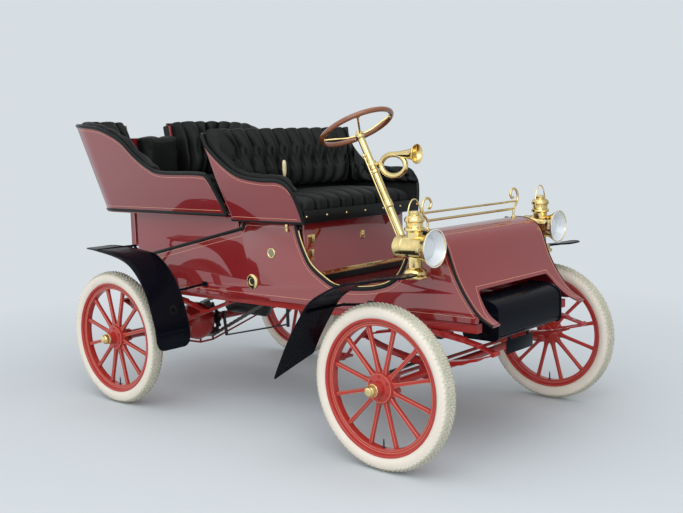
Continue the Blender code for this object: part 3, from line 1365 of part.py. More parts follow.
def side_outline():
    """Draw a lower side panel with its round-bottomed doorway cut."""
    inside = sheet_outline(apron_curve(), APRON_SHEET + SLANT_GAP)[len(apron_curve()):]
    crest = APRON_TOP - APRON_SHEET - SLANT_GAP
    front = [point for point in inside if SILL_FRONT_Z + SIDE_MARGIN < point[1] < crest - SIDE_MARGIN / 2]
    seat = SEAT_Z - REST_GAP
    cut = [(y, RAIL_TOP + rise) for y, rise in DOORWAY_CUT[:-1]] + [(DOORWAY_CUT[-1][0], seat)]
    outline = [(BODY_REAR, SILL_REAR_Z), (front[0][0] + WELD, SILL_FRONT_Z)] + front
    outline = outline + [(APRON_LINE[1][0] + APRON_SHEET, crest - WELD), (APRON_LINE[0][0], crest)]
    outline = outline + smooth_line(cut, 2)
    outline.append((SEAM_FRONT_Y - SEAM_LIP, seat))
    outline.append((SEAM_FRONT_Y, SEAM_FRONT_Z))
    outline.append((BODY_REAR, SEAM_REAR_Z))
    return outline


def build_body_sides(datum):
    """Build the two flat side panels of the lower body."""
    for name, side in SIDES.items():
        low, high = limits(side, BODY_HALF_WIDTH - PANEL, BODY_HALF_WIDTH)
        panel = prism(side_outline(), low, high)
        if side == RIGHT:
            hole = cylinder(CRANK_HOLE_RADIUS, (low - PANEL, CRANK_Y, CRANK_Z),
                            (high + PANEL, CRANK_Y, CRANK_Z), CRANK_HOLE_SIDES)
            panel = combined(panel, [hole], "DIFFERENCE")
        place(f"body_{name}_side", panel, "body_red", datum)


def build_body_core(datum):
    """Build the dash, floor, heelboard and seat top between the sides."""
    wide = BODY_HALF_WIDTH - PANEL - REST_GAP
    top = SEAT_Z - REST_GAP
    floor = box((-wide, wide), (DASH_Y - WELD, HEELBOARD_Y + WELD), (FLOOR_TOP - FLOOR_BOARD, FLOOR_TOP))
    parts = [
        box((-wide, wide), (DASH_Y - PANEL, DASH_Y), (RAIL_TOP, DASH_TOP - DASH_EDGE)),
        box((-wide, wide), (HEELBOARD_Y, HEELBOARD_Y + PANEL), (RAIL_TOP, top)),
        box((-wide, wide), (HEELBOARD_Y + WELD, SEAM_FRONT_Y - SEAM_LIP - REST_GAP), (SEAT_Z - PANEL, top)),
    ]
    hole = rod([column_point(0.0), column_point(COLUMN_LENGTH / 3)], COLUMN_RADIUS + COLUMN_FLOOR_PLAY,
               BOSS_SIDES)
    place("body_core", combined(combined(floor, parts), [hole], "DIFFERENCE"), "body_red", datum)


def seam_height(station):
    """Give the height of the sloping seam at a station."""
    share = (station - SEAM_FRONT_Y) / (BODY_REAR - SEAM_FRONT_Y)
    return SEAM_FRONT_Z + (SEAM_REAR_Z - SEAM_FRONT_Z) * share


def sloping_board(front, low, high):
    """Draw a board along the seam, between two distances over it."""
    rear = BODY_REAR
    return [(front, seam_height(front) + low), (rear, seam_height(rear) + low),
            (rear, seam_height(rear) + high), (front, seam_height(front) + high)]


def build_rear_deck(datum):
    """Build the sloping rear deck and the tail panel under it."""
    wide = BODY_HALF_WIDTH - PANEL - REST_GAP
    slope = prism(sloping_board(SEAM_FRONT_Y + WELD, -PANEL, 0.0), -wide, wide)
    tail = box((-wide, wide), (BODY_REAR - PANEL, BODY_REAR), (RAIL_TOP, SEAM_REAR_Z - WELD / 2))
    place("rear_deck", combined(slope, [tail]), "body_red", datum)


def build_apron(datum):
    """Build the curved hood apron with its cut for the tank."""
    half = BODY_HALF_WIDTH + APRON_SIDE
    sheet = prism(sheet_outline(apron_curve(), APRON_SHEET), -half, half)
    top = TANK_HALF_WIDTH + APRON_CUT_TOP_MARGIN
    foot = TANK_HALF_WIDTH + APRON_CUT_FOOT_MARGIN
    cut_top = RAIL_TOP + APRON_CUT_RISE
    cut = rounded_outline([(-top, cut_top), (top, cut_top), (foot, RAIL_BOTTOM), (-foot, RAIL_BOTTOM)],
                          APRON_CUT_CORNER)
    opening = prism(cut, TANK_FRONT * 2, TANK_REAR, "y")
    place("hood_apron", combined(sheet, [opening], "DIFFERENCE"), "body_red", datum)


def build_tank(datum):
    """Build the round-topped front tank with its two flanged ends."""
    def outline(grow):
        return rounded_outline([(TANK_REAR, TANK_BOTTOM - grow), (TANK_FRONT - grow, TANK_BOTTOM - grow),
                                (TANK_FRONT - grow, TANK_TOP - TANK_CORNER + grow),
                                (TANK_FRONT + TANK_SLOPE, TANK_TOP + grow), (TANK_REAR, TANK_TOP + grow)],
                               TANK_CORNER)
    shell = prism(outline(0.0), -TANK_HALF_WIDTH, TANK_HALF_WIDTH)
    ends = []
    for side in (RIGHT, LEFT):
        outer = TANK_HALF_WIDTH + TANK_RIM_OUT
        low, high = limits(side, outer - TANK_RIM_WIDTH, outer)
        ends.append(prism(outline(TANK_RIM), low, high))
    place("front_tank", combined(shell, ends), "black_paint", datum)


# Flared seat bodies

def horseshoe(half_width, back, corner, side_inset, back_inset, front, steps=4):
    """Trace a U that opens to the front, inset from its outer face."""
    x = half_width - side_inset
    y = back - back_inset
    radius = max(corner - (side_inset + back_inset) / 2, CORNER_LEAST)
    points = [(-x, front)]
    for turn, sign in ((math.pi, RIGHT), (math.pi / 2, LEFT)):
        middle = (sign * (x - radius), y - radius)
        for i in range(steps + 1):
            angle = turn - math.pi / 2 * i / steps
            points.append((middle[0] + radius * math.cos(angle), middle[1] + radius * math.sin(angle)))
    points.append((x, front))
    return points


def flared_wall(levels, outer, inner, front, gap=0.0):
    """Skin a flared wall from a lower U to an upper U; a gap leaves one half."""
    rings = []
    for height, half_width, back, corner in levels:
        outside = horseshoe(half_width, back, corner, outer[0], outer[1], front)
        inside = horseshoe(half_width, back, corner, inner[0], inner[1], front)
        if gap:
            outside = outside[len(outside) // 2:]
            inside = inside[len(inside) // 2:]
            outside.insert(0, (gap, outside[0][1]))
            inside.insert(0, (gap, inside[0][1]))
        ring = outside + list(reversed(inside))
        rings.append([Vector((x, y, height)) for x, y in ring])
    return bridged(rings)


def seat_levels(low, high):
    """Give the front seat's plan at three heights."""
    def at(height):
        back_share = (height - SEAT_Z) / SEAT_BACK_RISE
        if height < SEAT_SHOULDER_Z:
            share = (height - SEAT_Z) / SEAT_SHOULDER_RISE
            flare = SEAT_FLARE + (SEAT_SHOULDER_FLARE - SEAT_FLARE) * share
        else:
            share = (height - SEAT_SHOULDER_Z) / (SEAT_BACK_RISE - SEAT_SHOULDER_RISE)
            flare = SEAT_SHOULDER_FLARE + (SEAT_TOP_FLARE - SEAT_SHOULDER_FLARE) * share
        return height, BODY_HALF_WIDTH + flare, SEAT_BACK_BOTTOM_Y + SEAT_BACK_LEAN * back_share, SEAT_CORNER
    return [at(low), at(SEAT_SHOULDER_Z), at(high)]


def seat_profile(rise, bottom):
    """Draw the seat from the side, its top edge raised by a rise."""
    line = smooth_line([(y, SEAT_Z + up) for y, up in SEAT_EDGE[:-1]], 3)
    top = [(y, z + rise) for y, z in line if z + rise > bottom + SIDE_MARGIN / 2]
    top[0] = (top[0][0], bottom)
    behind = SEAT_BACK_TOP_Y + PAST_BACK
    crest = SEAT_BACK_TOP_Z + rise
    return top + [(SEAT_EDGE[-1][0], crest), (behind, crest), (behind, bottom)]


def build_front_seat(datum):
    """Build the flared front seat body with its board and front rail."""
    wall = flared_wall(seat_levels(SEAT_Z, SEAT_BACK_TOP_Z + PAST_TOP), (0.0, 0.0), (SHELL_WALL, SHELL_WALL),
                       SEAT_FRONT - PAST_BACK)
    side_view = prism(seat_profile(0.0, SEAT_Z - PANEL), -FENDER_OUTER_X, FENDER_OUTER_X)
    wide = SEAT_HALF_WIDTH - SEAT_BOARD_INSET
    rail_half = SEAT_HALF_WIDTH - SEAT_BOARD_INSET / 3
    board = box((-wide, wide), (SEAT_FRONT - SEAT_BOARD_INSET, SEAT_BACK_BOTTOM_Y - SEAT_BOARD_INSET),
                (SEAT_Z, SEAT_BOARD_TOP))
    rail = box((-rail_half, rail_half), (SEAT_FRONT - SEAT_APRON_FRONT, SEAT_FRONT + WELD),
               (SEAT_Z, SEAT_Z + SEAT_APRON_RISE))
    wall = combined(wall, [side_view], "INTERSECT")
    place("front_seat_body", combined(wall, [board, rail]), "body_red", datum)


def build_front_cushion(datum):
    """Build the plain solid of the front seat's cushion."""
    half = SEAT_HALF_WIDTH - CUSHION_INSET
    front = SEAT_FRONT + CUSHION_FRONT_INSET
    rear = SEAT_BACK_BOTTOM_Y - CUSHION_REAR_GAP
    plan = rounded_outline([(-half, front), (half, front), (half, rear), (-half, rear)], CUSHION_CORNER)
    shape = prism(plan, SEAT_BOARD_TOP + REST_GAP, CUSHION_TOP, "z")
    place("front_seat_cushion", shape, "leather", datum)


def build_front_back_pad(datum):
    """Build the plain solid of the front seat's back and arm padding."""
    bottom = CUSHION_TOP + PAD_LIFT
    skin = SHELL_WALL + SLANT_GAP
    wall = flared_wall(seat_levels(bottom - PAST_BOTTOM, SEAT_BACK_TOP_Z + PAST_TOP), (skin, skin),
                       (skin + ARM_PAD, skin + BACK_PAD), SEAT_FRONT - CUSHION_FRONT_INSET)
    side_view = prism(seat_profile(PAD_RISE, bottom), -FENDER_OUTER_X, FENDER_OUTER_X)
    place("front_seat_back_pad", combined(wall, [side_view], "INTERSECT"), "leather", datum)


def tonneau_levels(low, high):
    """Give the tonneau's plan at three heights."""
    def at(height):
        share = (height - TONNEAU_BASE_Z) / TONNEAU_HEIGHT
        return (height, TONNEAU_HALF_WIDTH + (TONNEAU_TOP_FLARE - TONNEAU_FLARE) * share,
                TONNEAU_BACK_Y + TONNEAU_BACK_LEAN * share,
                TONNEAU_CORNER_BOTTOM + (TONNEAU_CORNER_TOP - TONNEAU_CORNER_BOTTOM) * share)
    return [at(low), at((low + high) / 2), at(high)]


def tonneau_profile(rise, bottom, front):
    """Draw the tonneau from the side, its top edge raised by a rise."""
    length = TONNEAU_BACK_TOP_Y - TONNEAU_FRONT
    def at(share):
        return TONNEAU_FRONT + length * share[0], TONNEAU_BASE_Z + TONNEAU_HEIGHT * share[1]
    line = [at(share) for share in TONNEAU_EDGE_FRONT] + smooth_line([at(share) for share in TONNEAU_EDGE], 2)
    top = [(y, z + rise) for y, z in line if y > front - SLANT_GAP]
    behind = TONNEAU_BACK_TOP_Y + PAST_BACK
    return [(max(front, TONNEAU_FRONT), bottom)] + top + [(behind, TONNEAU_TOP_Z + rise), (behind, bottom)]


def build_tonneau_sides(datum):
    """Build the two flared upper walls of the tonneau, round their corners."""
    gap = DOORWAY_HALF_WIDTH + DOOR_POST + REST_GAP
    for name, side in SIDES.items():
        wall = flared_wall(tonneau_levels(TONNEAU_BASE_Z, TONNEAU_TOP_Z + PAST_TOP / 2), (0.0, 0.0),
                           (SHELL_WALL, SHELL_WALL), TONNEAU_FRONT - PAST_BACK, gap)
        side_view = prism(tonneau_profile(0.0, TONNEAU_BASE_Z - PANEL, TONNEAU_FRONT),
                          -FENDER_OUTER_X, FENDER_OUTER_X)
        wall = combined(wall, [side_view], "INTERSECT")
        place(f"tonneau_{name}_side", for_side(wall, side), "body_red", datum)


def tonneau_seat_plan():
    """Draw the left corner's seat board seen from above."""
    outer = horseshoe(TONNEAU_HALF_WIDTH, TONNEAU_BACK_Y, TONNEAU_CORNER_BOTTOM, 0.0, 0.0, TONNEAU_FRONT)
    outer = outer[len(outer) // 2:]
    edge = DOORWAY_HALF_WIDTH
    wall = BODY_HALF_WIDTH - PANEL
    inner = [(edge + out, TONNEAU_BACK_Y - length) for out, length in TONNEAU_BOARD_CORNERS]
    step = [(wall, TONNEAU_FRONT), (wall, TONNEAU_BACK_Y - TONNEAU_BOARD_LENGTH)]
    return [(edge, outer[0][1])] + outer + step + inner


def door_post_outline(grow=0.0):
    """Draw a door post from the side, flaring with the tonneau's back."""
    low = TONNEAU_BACK_Y - DOOR_POST_SET_IN
    top = TONNEAU_TOP_Z - DOOR_POST_TOP_DROP + grow
    knee = TONNEAU_BASE_Z + DOOR_POST_KNEE
    foot = DOOR_FLOOR_Z - PANEL
    outer_top = TONNEAU_BACK_TOP_Y - WELD
    return [(low - grow, foot), (DOOR_OUTER_Y + grow, foot), (DOOR_OUTER_Y + grow, knee),
            (outer_top + grow, top), (outer_top - DOOR_POST_DEPTH - grow, top), (low - grow, knee)]


def build_tonneau_base(datum):
    """Build the lower tonneau: walls, sloping floor, seat boards and doorway."""
    low = TONNEAU_BASE_Z - TONNEAU_BOARD - REST_GAP
    high = TONNEAU_BASE_Z - REST_GAP
    front = SEAM_FRONT_Y + WELD
    wide = BODY_HALF_WIDTH
    edge = DOORWAY_HALF_WIDTH
    passage = edge + DOOR_POST
    inset = WELD / 2
    floor = prism(sloping_board(front, SLANT_GAP, PANEL), inset - wide, wide - inset)
    parts = []
    for side in (RIGHT, LEFT):
        wall_line = sloping_board(front, SLANT_GAP, PANEL)[:2] + [(BODY_REAR, high),
                                                                  (TONNEAU_FRONT - TONNEAU_FRONT_RAKE, high)]
        wall = prism(wall_line, wide - PANEL, wide)
        tail = box((edge + inset, wide - inset), (BODY_REAR - PANEL, BODY_REAR),
                   (SEAM_REAR_Z + WELD, high - WELD))
        board = prism(tonneau_seat_plan(), low, high, "z")
        cheek = box((edge, edge + PANEL), (BODY_REAR - PANEL / 2, TONNEAU_BACK_Y - WELD),
                    (DOOR_FLOOR_Z - PANEL, high - inset))
        post = prism(door_post_outline(), edge, passage)
        parts.extend(for_side(piece, side) for piece in (wall, tail, board, cheek, post))
    parts.append(box((WELD - passage, passage - WELD), (BODY_REAR - PANEL / 2, TONNEAU_BACK_Y),
                     (DOOR_FLOOR_Z - PANEL, DOOR_FLOOR_Z)))
    for rise in HINGE_RISES:
        parts.append(hinge_pin(RAIL_TOP + rise))
    place("tonneau_base", combined(floor, parts), "body_red", datum)


def hinge_pin(height):
    """Build a door hinge's pin and the two lugs that hold it to the post."""
    x, y = HINGE_X, HINGE_Y
    reach = HINGE_HALF_LENGTH + HINGE_LUG
    pin = cylinder(HINGE_PIN_RADIUS, (x, y, height - reach), (x, y, height + reach), PIN_SIDES)
    lugs = []
    for sign in (-1, 1):
        near = height + sign * (HINGE_HALF_LENGTH + HINGE_LUG / 6)
        far = height + sign * (reach + HINGE_LUG / 6)
        span = (min(near, far), max(near, far))
        behind = (DOOR_OUTER_Y + HINGE_LUG / 2, y + HINGE_LEAF_DEPTH)
        root = (DOORWAY_HALF_WIDTH + WELD / 2, x + DOOR_POST - WELD / 2)
        lugs.append(box((x - HINGE_LUG, x + DOOR_POST), behind, span))
        lugs.append(box(root, (DOOR_OUTER_Y - WELD, y), span))
    return combined(pin, lugs)


def build_door(datum):
    """Build the rear door with its two hinge eyes and its latch handle."""
    x, y = HINGE_X, HINGE_Y
    outer = DOOR_OUTER_Y
    wide = DOORWAY_HALF_WIDTH - SWING_GAP
    panel = box((DOOR_FREE_PLAY - wide, wide), (outer - DOOR_THICKNESS, outer),
                (DOOR_FLOOR_Z + SWING_GAP, DOOR_TOP_Z))
    parts = []
    bores = []
    half = HINGE_HALF_LENGTH - REST_GAP * 3
    for rise in HINGE_RISES:
        height = RAIL_TOP + rise
        parts.append(cylinder(HINGE_EYE_RADIUS, (x, y, height - half), (x, y, height + half)))
        parts.append(box((wide - HINGE_LEAF, x), (outer - WELD / 2, outer + HINGE_LEAF_DEPTH),
                         (height - half, height + half)))
        bores.append(bore(HINGE_PIN_RADIUS, (x, y, height - half * 2), (x, y, height + half * 2), PIN_SIDES))
    handle_x = HANDLE_INSET - DOORWAY_HALF_WIDTH
    handle_z = RAIL_TOP + HANDLE_RISE
    parts.append(rod([(handle_x, outer - WELD / 2, handle_z), (handle_x, outer + HANDLE_STAND, handle_z),
                      (handle_x + HANDLE_LENGTH, outer + HANDLE_STAND, handle_z)], HANDLE_RADIUS))
    shape = combined(combined(panel, parts), bores, "DIFFERENCE")
    hinge = pivot("door_axis", (x, y, TONNEAU_BASE_Z), datum)
    place("tonneau_door", shape, "body_red", hinge, (x, y, TONNEAU_BASE_Z))
    return hinge


def build_door_pad(hinge):
    """Build the plain solid of the door's back rest."""
    rear = DOOR_OUTER_Y - DOOR_THICKNESS - REST_GAP
    half = DOOR_PAD_HALF_WIDTH
    front_half, shoulder, depth = DOOR_PAD_FRONT
    plan = rounded_outline([(-half, rear), (-half, rear - shoulder), (-front_half, rear - depth),
                            (front_half, rear - depth), (half, rear - shoulder), (half, rear)], PAD_CORNER, 1)
    top = DOOR_TOP_Z + DOOR_PAD_PROUD
    pad = prism(plan, top - DOOR_PAD_HEIGHT, top, "z")
    place("door_pad", pad, "leather", hinge, (HINGE_X, HINGE_Y, TONNEAU_BASE_Z))


def build_tonneau_cushion(name, side, datum):
    """Build the plain solid of a corner seat's cushion."""
    inset = TONNEAU_CUSHION_INSET
    front = TONNEAU_BACK_Y - TONNEAU_SEAT_LENGTH
    outer = horseshoe(TONNEAU_HALF_WIDTH, TONNEAU_BACK_Y, TONNEAU_CORNER_BOTTOM, inset, inset, front)
    outer = outer[len(outer) // 2:]
    inner = [(DOORWAY_HALF_WIDTH + out, TONNEAU_BACK_Y - length) for out, length in TONNEAU_CUSHION_CORNERS]
    plan = [(DOORWAY_HALF_WIDTH + inset, outer[0][1])] + outer + list(reversed(inner))
    cushion = prism(plan, TONNEAU_BASE_Z + REST_GAP, TONNEAU_CUSHION_TOP, "z")
    place(f"tonneau_{name}_cushion", for_side(cushion, side), "leather", datum)


def build_tonneau_pad(name, side, datum):
    """Build the plain solid of a corner seat's wrap-round padding."""
    skin = SHELL_WALL + SLANT_GAP
    bottom = TONNEAU_CUSHION_TOP + PAD_LIFT
    wall = flared_wall(tonneau_levels(bottom - PAST_BOTTOM, TONNEAU_TOP_Z + PAST_TOP),
                       (skin, skin + TONNEAU_PAD_BACK_GAP), (skin + TONNEAU_PAD, skin + TONNEAU_BACK_PAD),
                       TONNEAU_BACK_Y - TONNEAU_SEAT_LENGTH, DOORWAY_HALF_WIDTH + WELD)
    side_view = prism(tonneau_profile(TONNEAU_PAD_RISE, bottom, TONNEAU_BACK_Y - TONNEAU_PAD_LENGTH),
                      -FENDER_OUTER_X, FENDER_OUTER_X)
    post = prism(door_post_outline(SLANT_GAP), 0.0, DOORWAY_HALF_WIDTH + DOOR_POST + SLANT_GAP)
    wall = combined(combined(wall, [side_view], "INTERSECT"), [post], "DIFFERENCE")
    place(f"tonneau_{name}_pad", for_side(wall, side), "leather", datum)


# Fenders

def fender_points(line, station):
    """Place a fender's line about the centre of its wheel."""
    points = []
    for degrees, gap in line:
        angle = math.radians(degrees)
        radius = TYRE_RADIUS + gap
        points.append((station + radius * math.cos(angle), AXLE_Z + radius * math.sin(angle)))
    return points


def fender_radius(line, degrees):
    """Find a fender's distance from its wheel's centre at an angle."""
    for first, last in zip(line, line[1:]):
        low, high = sorted((first[0], last[0]))
        if low <= degrees <= high:
            share = (degrees - first[0]) / (last[0] - first[0])
            return TYRE_RADIUS + first[1] + (last[1] - first[1]) * share
    return TYRE_RADIUS + line[-1][1]


def fender_stay(place_on_car, line, station, sheet):
    """Bend a round stay, square to the body, that ends under a fender's blade."""
    along, rise, degrees = place_on_car
    body = BODY_HALF_WIDTH + REST_GAP
    start = (body, station + along, RAIL_TOP + rise)
    square = (body + STAY_SQUARE, start[1], start[2])
    radius = fender_radius(line, degrees) - sheet - STAY_RADIUS + STAY_SINK
    y = station + radius * math.cos(math.radians(degrees))
    z = AXLE_Z + radius * math.sin(math.radians(degrees))
    return rod([start, square, (FENDER_INNER_X - STAY_KNEE, y, z), (FENDER_OUTER_X - STAY_END_INSET, y, z)],
               STAY_RADIUS)


def build_front_fender(side_name, datum):
    """Build a front fender: a blade over the wheel with a pointed tail."""
    outline = sheet_outline(smooth_line(fender_points(FRONT_FENDER_LINE, 0.0), 2), FENDER_SHEET)
    blade = prism(outline, FENDER_INNER_X, FENDER_OUTER_X)
    inner = FENDER_INNER_X - PANEL
    outer = FENDER_OUTER_X + PANEL
    low, outer_rise, inner_rise = FENDER_TAIL_CUT
    tail = prism([(inner, AXLE_Z + low), (outer, AXLE_Z + low), (outer, AXLE_Z + outer_rise),
                  (inner, AXLE_Z + inner_rise)], TYRE_RADIUS, TYRE_RADIUS * 2, "y")
    stays = [fender_stay(stay, FRONT_FENDER_LINE, 0.0, 0.0) for stay in FRONT_STAYS]
    shape = combined(combined(blade, [tail], "DIFFERENCE"), stays)
    place(f"front_{side_name}_fender", for_side(shape, SIDES[side_name]), "black_paint", datum)


def foot_corner(edge, sign, low):
    """Draw the cutter that rounds a lower corner of a blade seen from the front."""
    radius = FENDER_FOOT_CORNER
    middle = (edge - sign * radius, low + radius)
    arc = []
    for i in range(5):
        angle = math.pi / 2 * i / 4
        arc.append((middle[0] + sign * radius * math.cos(angle), middle[1] - radius * math.sin(angle)))
    outside = edge + sign * PANEL
    return [(outside, low - PANEL), (outside, middle[1])] + arc + [(middle[0], low - PANEL)]


def build_rear_fender(side_name, datum):
    """Build a rear fender: a blade over the wheel with a round-cornered foot."""
    line = smooth_line(fender_points(REAR_FENDER_LINE, WHEELBASE), 2)
    blade = prism(sheet_outline(line, FENDER_SHEET), FENDER_INNER_X, FENDER_OUTER_X)
    low = line[-1][1]
    span = (WHEELBASE - TYRE_RADIUS * 2, WHEELBASE - TYRE_RADIUS)
    corners = [prism(foot_corner(FENDER_OUTER_X, 1, low), *span, "y"),
               prism(foot_corner(FENDER_INNER_X, -1, low), *span, "y")]
    stays = [fender_stay(stay, REAR_FENDER_LINE, WHEELBASE, FENDER_SHEET) for stay in REAR_STAYS]
    shape = combined(combined(blade, corners, "DIFFERENCE"), stays)
    place(f"rear_{side_name}_fender", for_side(shape, SIDES[side_name]), "black_paint", datum)


# Brass work and controls

def build_lamp(side_name, datum):
    """Build an oil lamp: font, barrel, dish, chimney, bail and bracket."""
    x = LAMP_X
    centre = (x, LAMP_Y, LAMP_Z)
    font = turned(LAMP_FONT_PROFILE, LAMP_SIDES, centre, "z")
    barrel = turned(LAMP_BARREL_PROFILE, LAMP_SIDES, centre, (0, -1, 0))
    chimney = turned(LAMP_CHIMNEY_PROFILE, LAMP_SIDES, centre, "z")
    foot_x, foot_rise = BAIL_FOOT
    bow = [(x + BAIL_HALF_WIDTH * math.cos(math.pi * i / 6), LAMP_Y,
            LAMP_Z + BAIL_CENTRE_RISE + BAIL_HEIGHT * math.sin(math.pi * i / 6)) for i in range(7)]
    feet = [(x + sign * foot_x, LAMP_Y, LAMP_Z + foot_rise) for sign in (1, -1)]
    bail = rod([feet[0]] + bow + [feet[1]], BAIL_RADIUS, 5)
    body = BODY_HALF_WIDTH + REST_GAP
    arm_z = LAMP_Z - LAMP_ARM_DROP
    line = [(body, LAMP_ARM_Y, arm_z), (body + STAY_SQUARE, LAMP_ARM_Y, arm_z)]
    line = line + [(x - back, LAMP_ARM_Y + along, arm_z + rise) for back, along, rise in LAMP_ARM_LINE]
    arm = swept(line, flat_section(LAMP_ARM_WIDTH, LAMP_ARM_DEPTH))
    half_y, half_z = LAMP_BOLT_PLATE_HALF
    plate = box((body, body + LAMP_BOLT_PLATE), (LAMP_ARM_Y - half_y, LAMP_ARM_Y + half_y),
                (arm_z - half_z, arm_z + half_z))
    lamp = combined(barrel, [font, chimney, bail, arm, plate])
    place(f"{side_name}_lamp", for_side(lamp, SIDES[side_name]), "brass", datum)


def build_dash_rail(datum):
    """Build the two-bar brass rail on the dash with its scrolled ends."""
    y = DASH_RAIL_Y
    base = APRON_TOP + DASH_RAIL_LIFT
    low = RAIL_TOP + DASH_RAIL_LOW_RISE
    high = RAIL_TOP + DASH_RAIL_HIGH_RISE
    end = BODY_HALF_WIDTH - RAIL_POST_INSET
    thin = DASH_RAIL_POST_RADIUS
    lower = rod([(-end, y, low), (end, y, low)], DASH_RAIL_RADIUS, THIN_SIDES)
    parts = [rod([(-end, y, high), (end, y, high)], thin, THIN_SIDES)]
    for side in (RIGHT, LEFT):
        x = side * end
        scroll = [(x, y, base)] + [(x + side * out, y, RAIL_TOP + rise) for out, rise in DASH_SCROLL]
        inner_x = side * DASH_RAIL_POST_X
        parts.append(rod(scroll, DASH_RAIL_RADIUS, THIN_SIDES))
        parts.append(rod([(x, y, low - thin), (x, y, high + thin)], thin, THIN_SIDES))
        parts.append(cylinder(DASH_RAIL_FOOT_RADIUS, (x, y, base), (x, y, base + DASH_RAIL_FOOT), BAR_SIDES))
        parts.append(rod([(inner_x, y, base), (inner_x, y, high)], thin, THIN_SIDES))
    place("dash_rail", combined(lower, parts), "brass", datum)


def column_point(reach, sideways=0.0, ahead=0.0):
    """Find a point by its distance up the steering column from its foot."""
    front = Vector((0.0, -COLUMN_UP[2], COLUMN_UP[1]))
    foot = Vector((COLUMN_X, COLUMN_FOOT_Y, RAIL_TOP - COLUMN_FOOT_DROP))
    return tuple(foot + Vector(COLUMN_UP) * reach + front * ahead + Vector((sideways, 0.0, 0.0)))


def build_column(datum):
    """Build the steering column with its box on the frame and its side rod."""
    hub_low = COLUMN_LENGTH - STEERING_HUB_DROP - STEERING_HUB_HALF
    profile = list(COLUMN_PROFILE) + [(COLUMN_RADIUS, hub_low - SLANT_GAP)]
    tube = turned(profile, BOSS_SIDES, column_point(0.0), COLUMN_UP)
    half = STEERING_BOX_HALF_WIDTH
    box_end = STEER_ARM - DROP_ARM_HALF_DEPTH - SLANT_GAP
    case = box((COLUMN_X - half, COLUMN_X + half), (STEERING_BOX_FRONT, box_end),
               (RAIL_TOP - STEERING_BOX_DROP, RAIL_TOP - STEERING_BOX_TOP_DROP))
    stub = cylinder(DROP_SHAFT_RADIUS, (COLUMN_X, box_end - WELD * 2, DROP_PIVOT_Z),
                    (COLUMN_X, STEER_ARM + DROP_ARM_HALF_DEPTH + WELD, DROP_PIVOT_Z))
    lug = box((COLUMN_X - half, COLUMN_X + half),
              (STEERING_BAR_Y - STEERING_LUG_LENGTH, STEERING_BAR_Y - REST_GAP),
              (RAIL_TOP - STEERING_LUG_DROP[0], RAIL_TOP - STEERING_LUG_DROP[1]))
    low, high = [COLUMN_LENGTH + reach for reach in SIDE_ROD_SPAN]
    aside = -SIDE_ROD_OFFSET
    parts = [case, stub, lug, rod([column_point(low, aside), column_point(high, aside)], SIDE_ROD_RADIUS)]
    for reach in (low + SIDE_ROD_CLAMP_INSET, high - SIDE_ROD_CLAMP_INSET):
        parts.append(rod([column_point(reach), column_point(reach, aside)], SIDE_ROD_CLAMP_RADIUS))
    place("steering_column", combined(tube, parts), "brass", datum)


def build_steering_wheel(datum):
    """Build the wood-rimmed steering wheel with its four-armed spider."""
    centre = column_point(COLUMN_LENGTH)
    rim = turned([(STEERING_WHEEL_RADIUS + a, b) for a, b in round_section(STEERING_RIM_RADIUS, BAR_SIDES)],
                 STEERING_RIM_SIDES, centre, COLUMN_UP, ring=True)
    hub = turned([(radius, reach - STEERING_HUB_DROP) for radius, reach in STEERING_HUB_PROFILE],
                 ROUND_SIDES, centre, COLUMN_UP)
    arms = []
    up, side, front = frame_of(COLUMN_UP)
    line = list(SPIDER_LINE) + [(STEERING_WHEEL_RADIUS, SPIDER_END_DROP)]
    for i in range(SPIDER_ARMS):
        angle = math.pi * (2 * i + 1) / SPIDER_ARMS
        out = side * math.cos(angle) + front * math.sin(angle)
        path = [Vector(centre) + out * reach - up * STEERING_HUB_DROP * drop for reach, drop in line]
        arms.append(rod(path, SPIDER_RADIUS, THIN_SIDES))
    hinge = pivot("steering_axis", centre, datum)
    place("steering_wheel", combined(rim, [hub] + arms), "wood", hinge, centre)


def build_horn(datum):
    """Build the bugle horn and the clamp that holds it to the column."""
    centre = column_point(COLUMN_LENGTH)
    def at(point):
        return (centre[0], centre[1] + point[0], centre[2] + point[1])
    grip = COLUMN_LENGTH - HORN_GRIP
    inner = COLUMN_RADIUS + SLANT_GAP
    outer = inner + HORN_CLAMP_WALL
    clamp = turned([(inner, -HORN_CLAMP_HALF), (inner, HORN_CLAMP_HALF), (outer, HORN_CLAMP_HALF),
                    (outer, -HORN_CLAMP_HALF)], BOSS_SIDES, column_point(grip), COLUMN_UP, ring=True)
    stem = rod([column_point(grip, 0.0, inner + HORN_CLAMP_WALL / 2), at(HORN_STEM_END)], HORN_STEM_RADIUS)
    bell = turned(HORN_BELL_PROFILE, BOSS_SIDES, at(HORN_BELL_START), (0, -1, 0))
    half_y, half_z = HORN_LOOP_HALF
    ring = []
    for i in range(12):
        angle = 2 * math.pi * i / 12
        ring.append(at((HORN_LOOP_CENTRE[0] + half_y * math.cos(angle),
                        HORN_LOOP_CENTRE[1] + half_z * math.sin(angle))))
    loop = rod(ring, HORN_LOOP_RADIUS, 7, cyclic=True)
    place("horn", combined(bell, [loop, stem, clamp]), "brass", datum)


def build_hand_lever(datum):
    """Build the hand lever beside the driver's cushion."""
    foot_z = SEAT_BOARD_TOP + REST_GAP
    x = HAND_LEVER_INSET - SEAT_HALF_WIDTH
    y = SEAT_FRONT + HAND_LEVER_SET_BACK
    top = SEAT_Z + HAND_LEVER_RISE
    stem = rod([(x, y, foot_z), (x, y, top)], HAND_LEVER_RADIUS)
    grip = turned(HAND_GRIP_PROFILE, PIN_SIDES, (x, y, top), "z")
    half_x, half_y = HAND_LEVER_FOOT_HALF
    foot = box((x - half_x, x + half_x), (y - half_y, y + half_y), (foot_z, foot_z + HAND_LEVER_FOOT))
    place("hand_lever", combined(stem, [grip, foot]), "brass", datum)


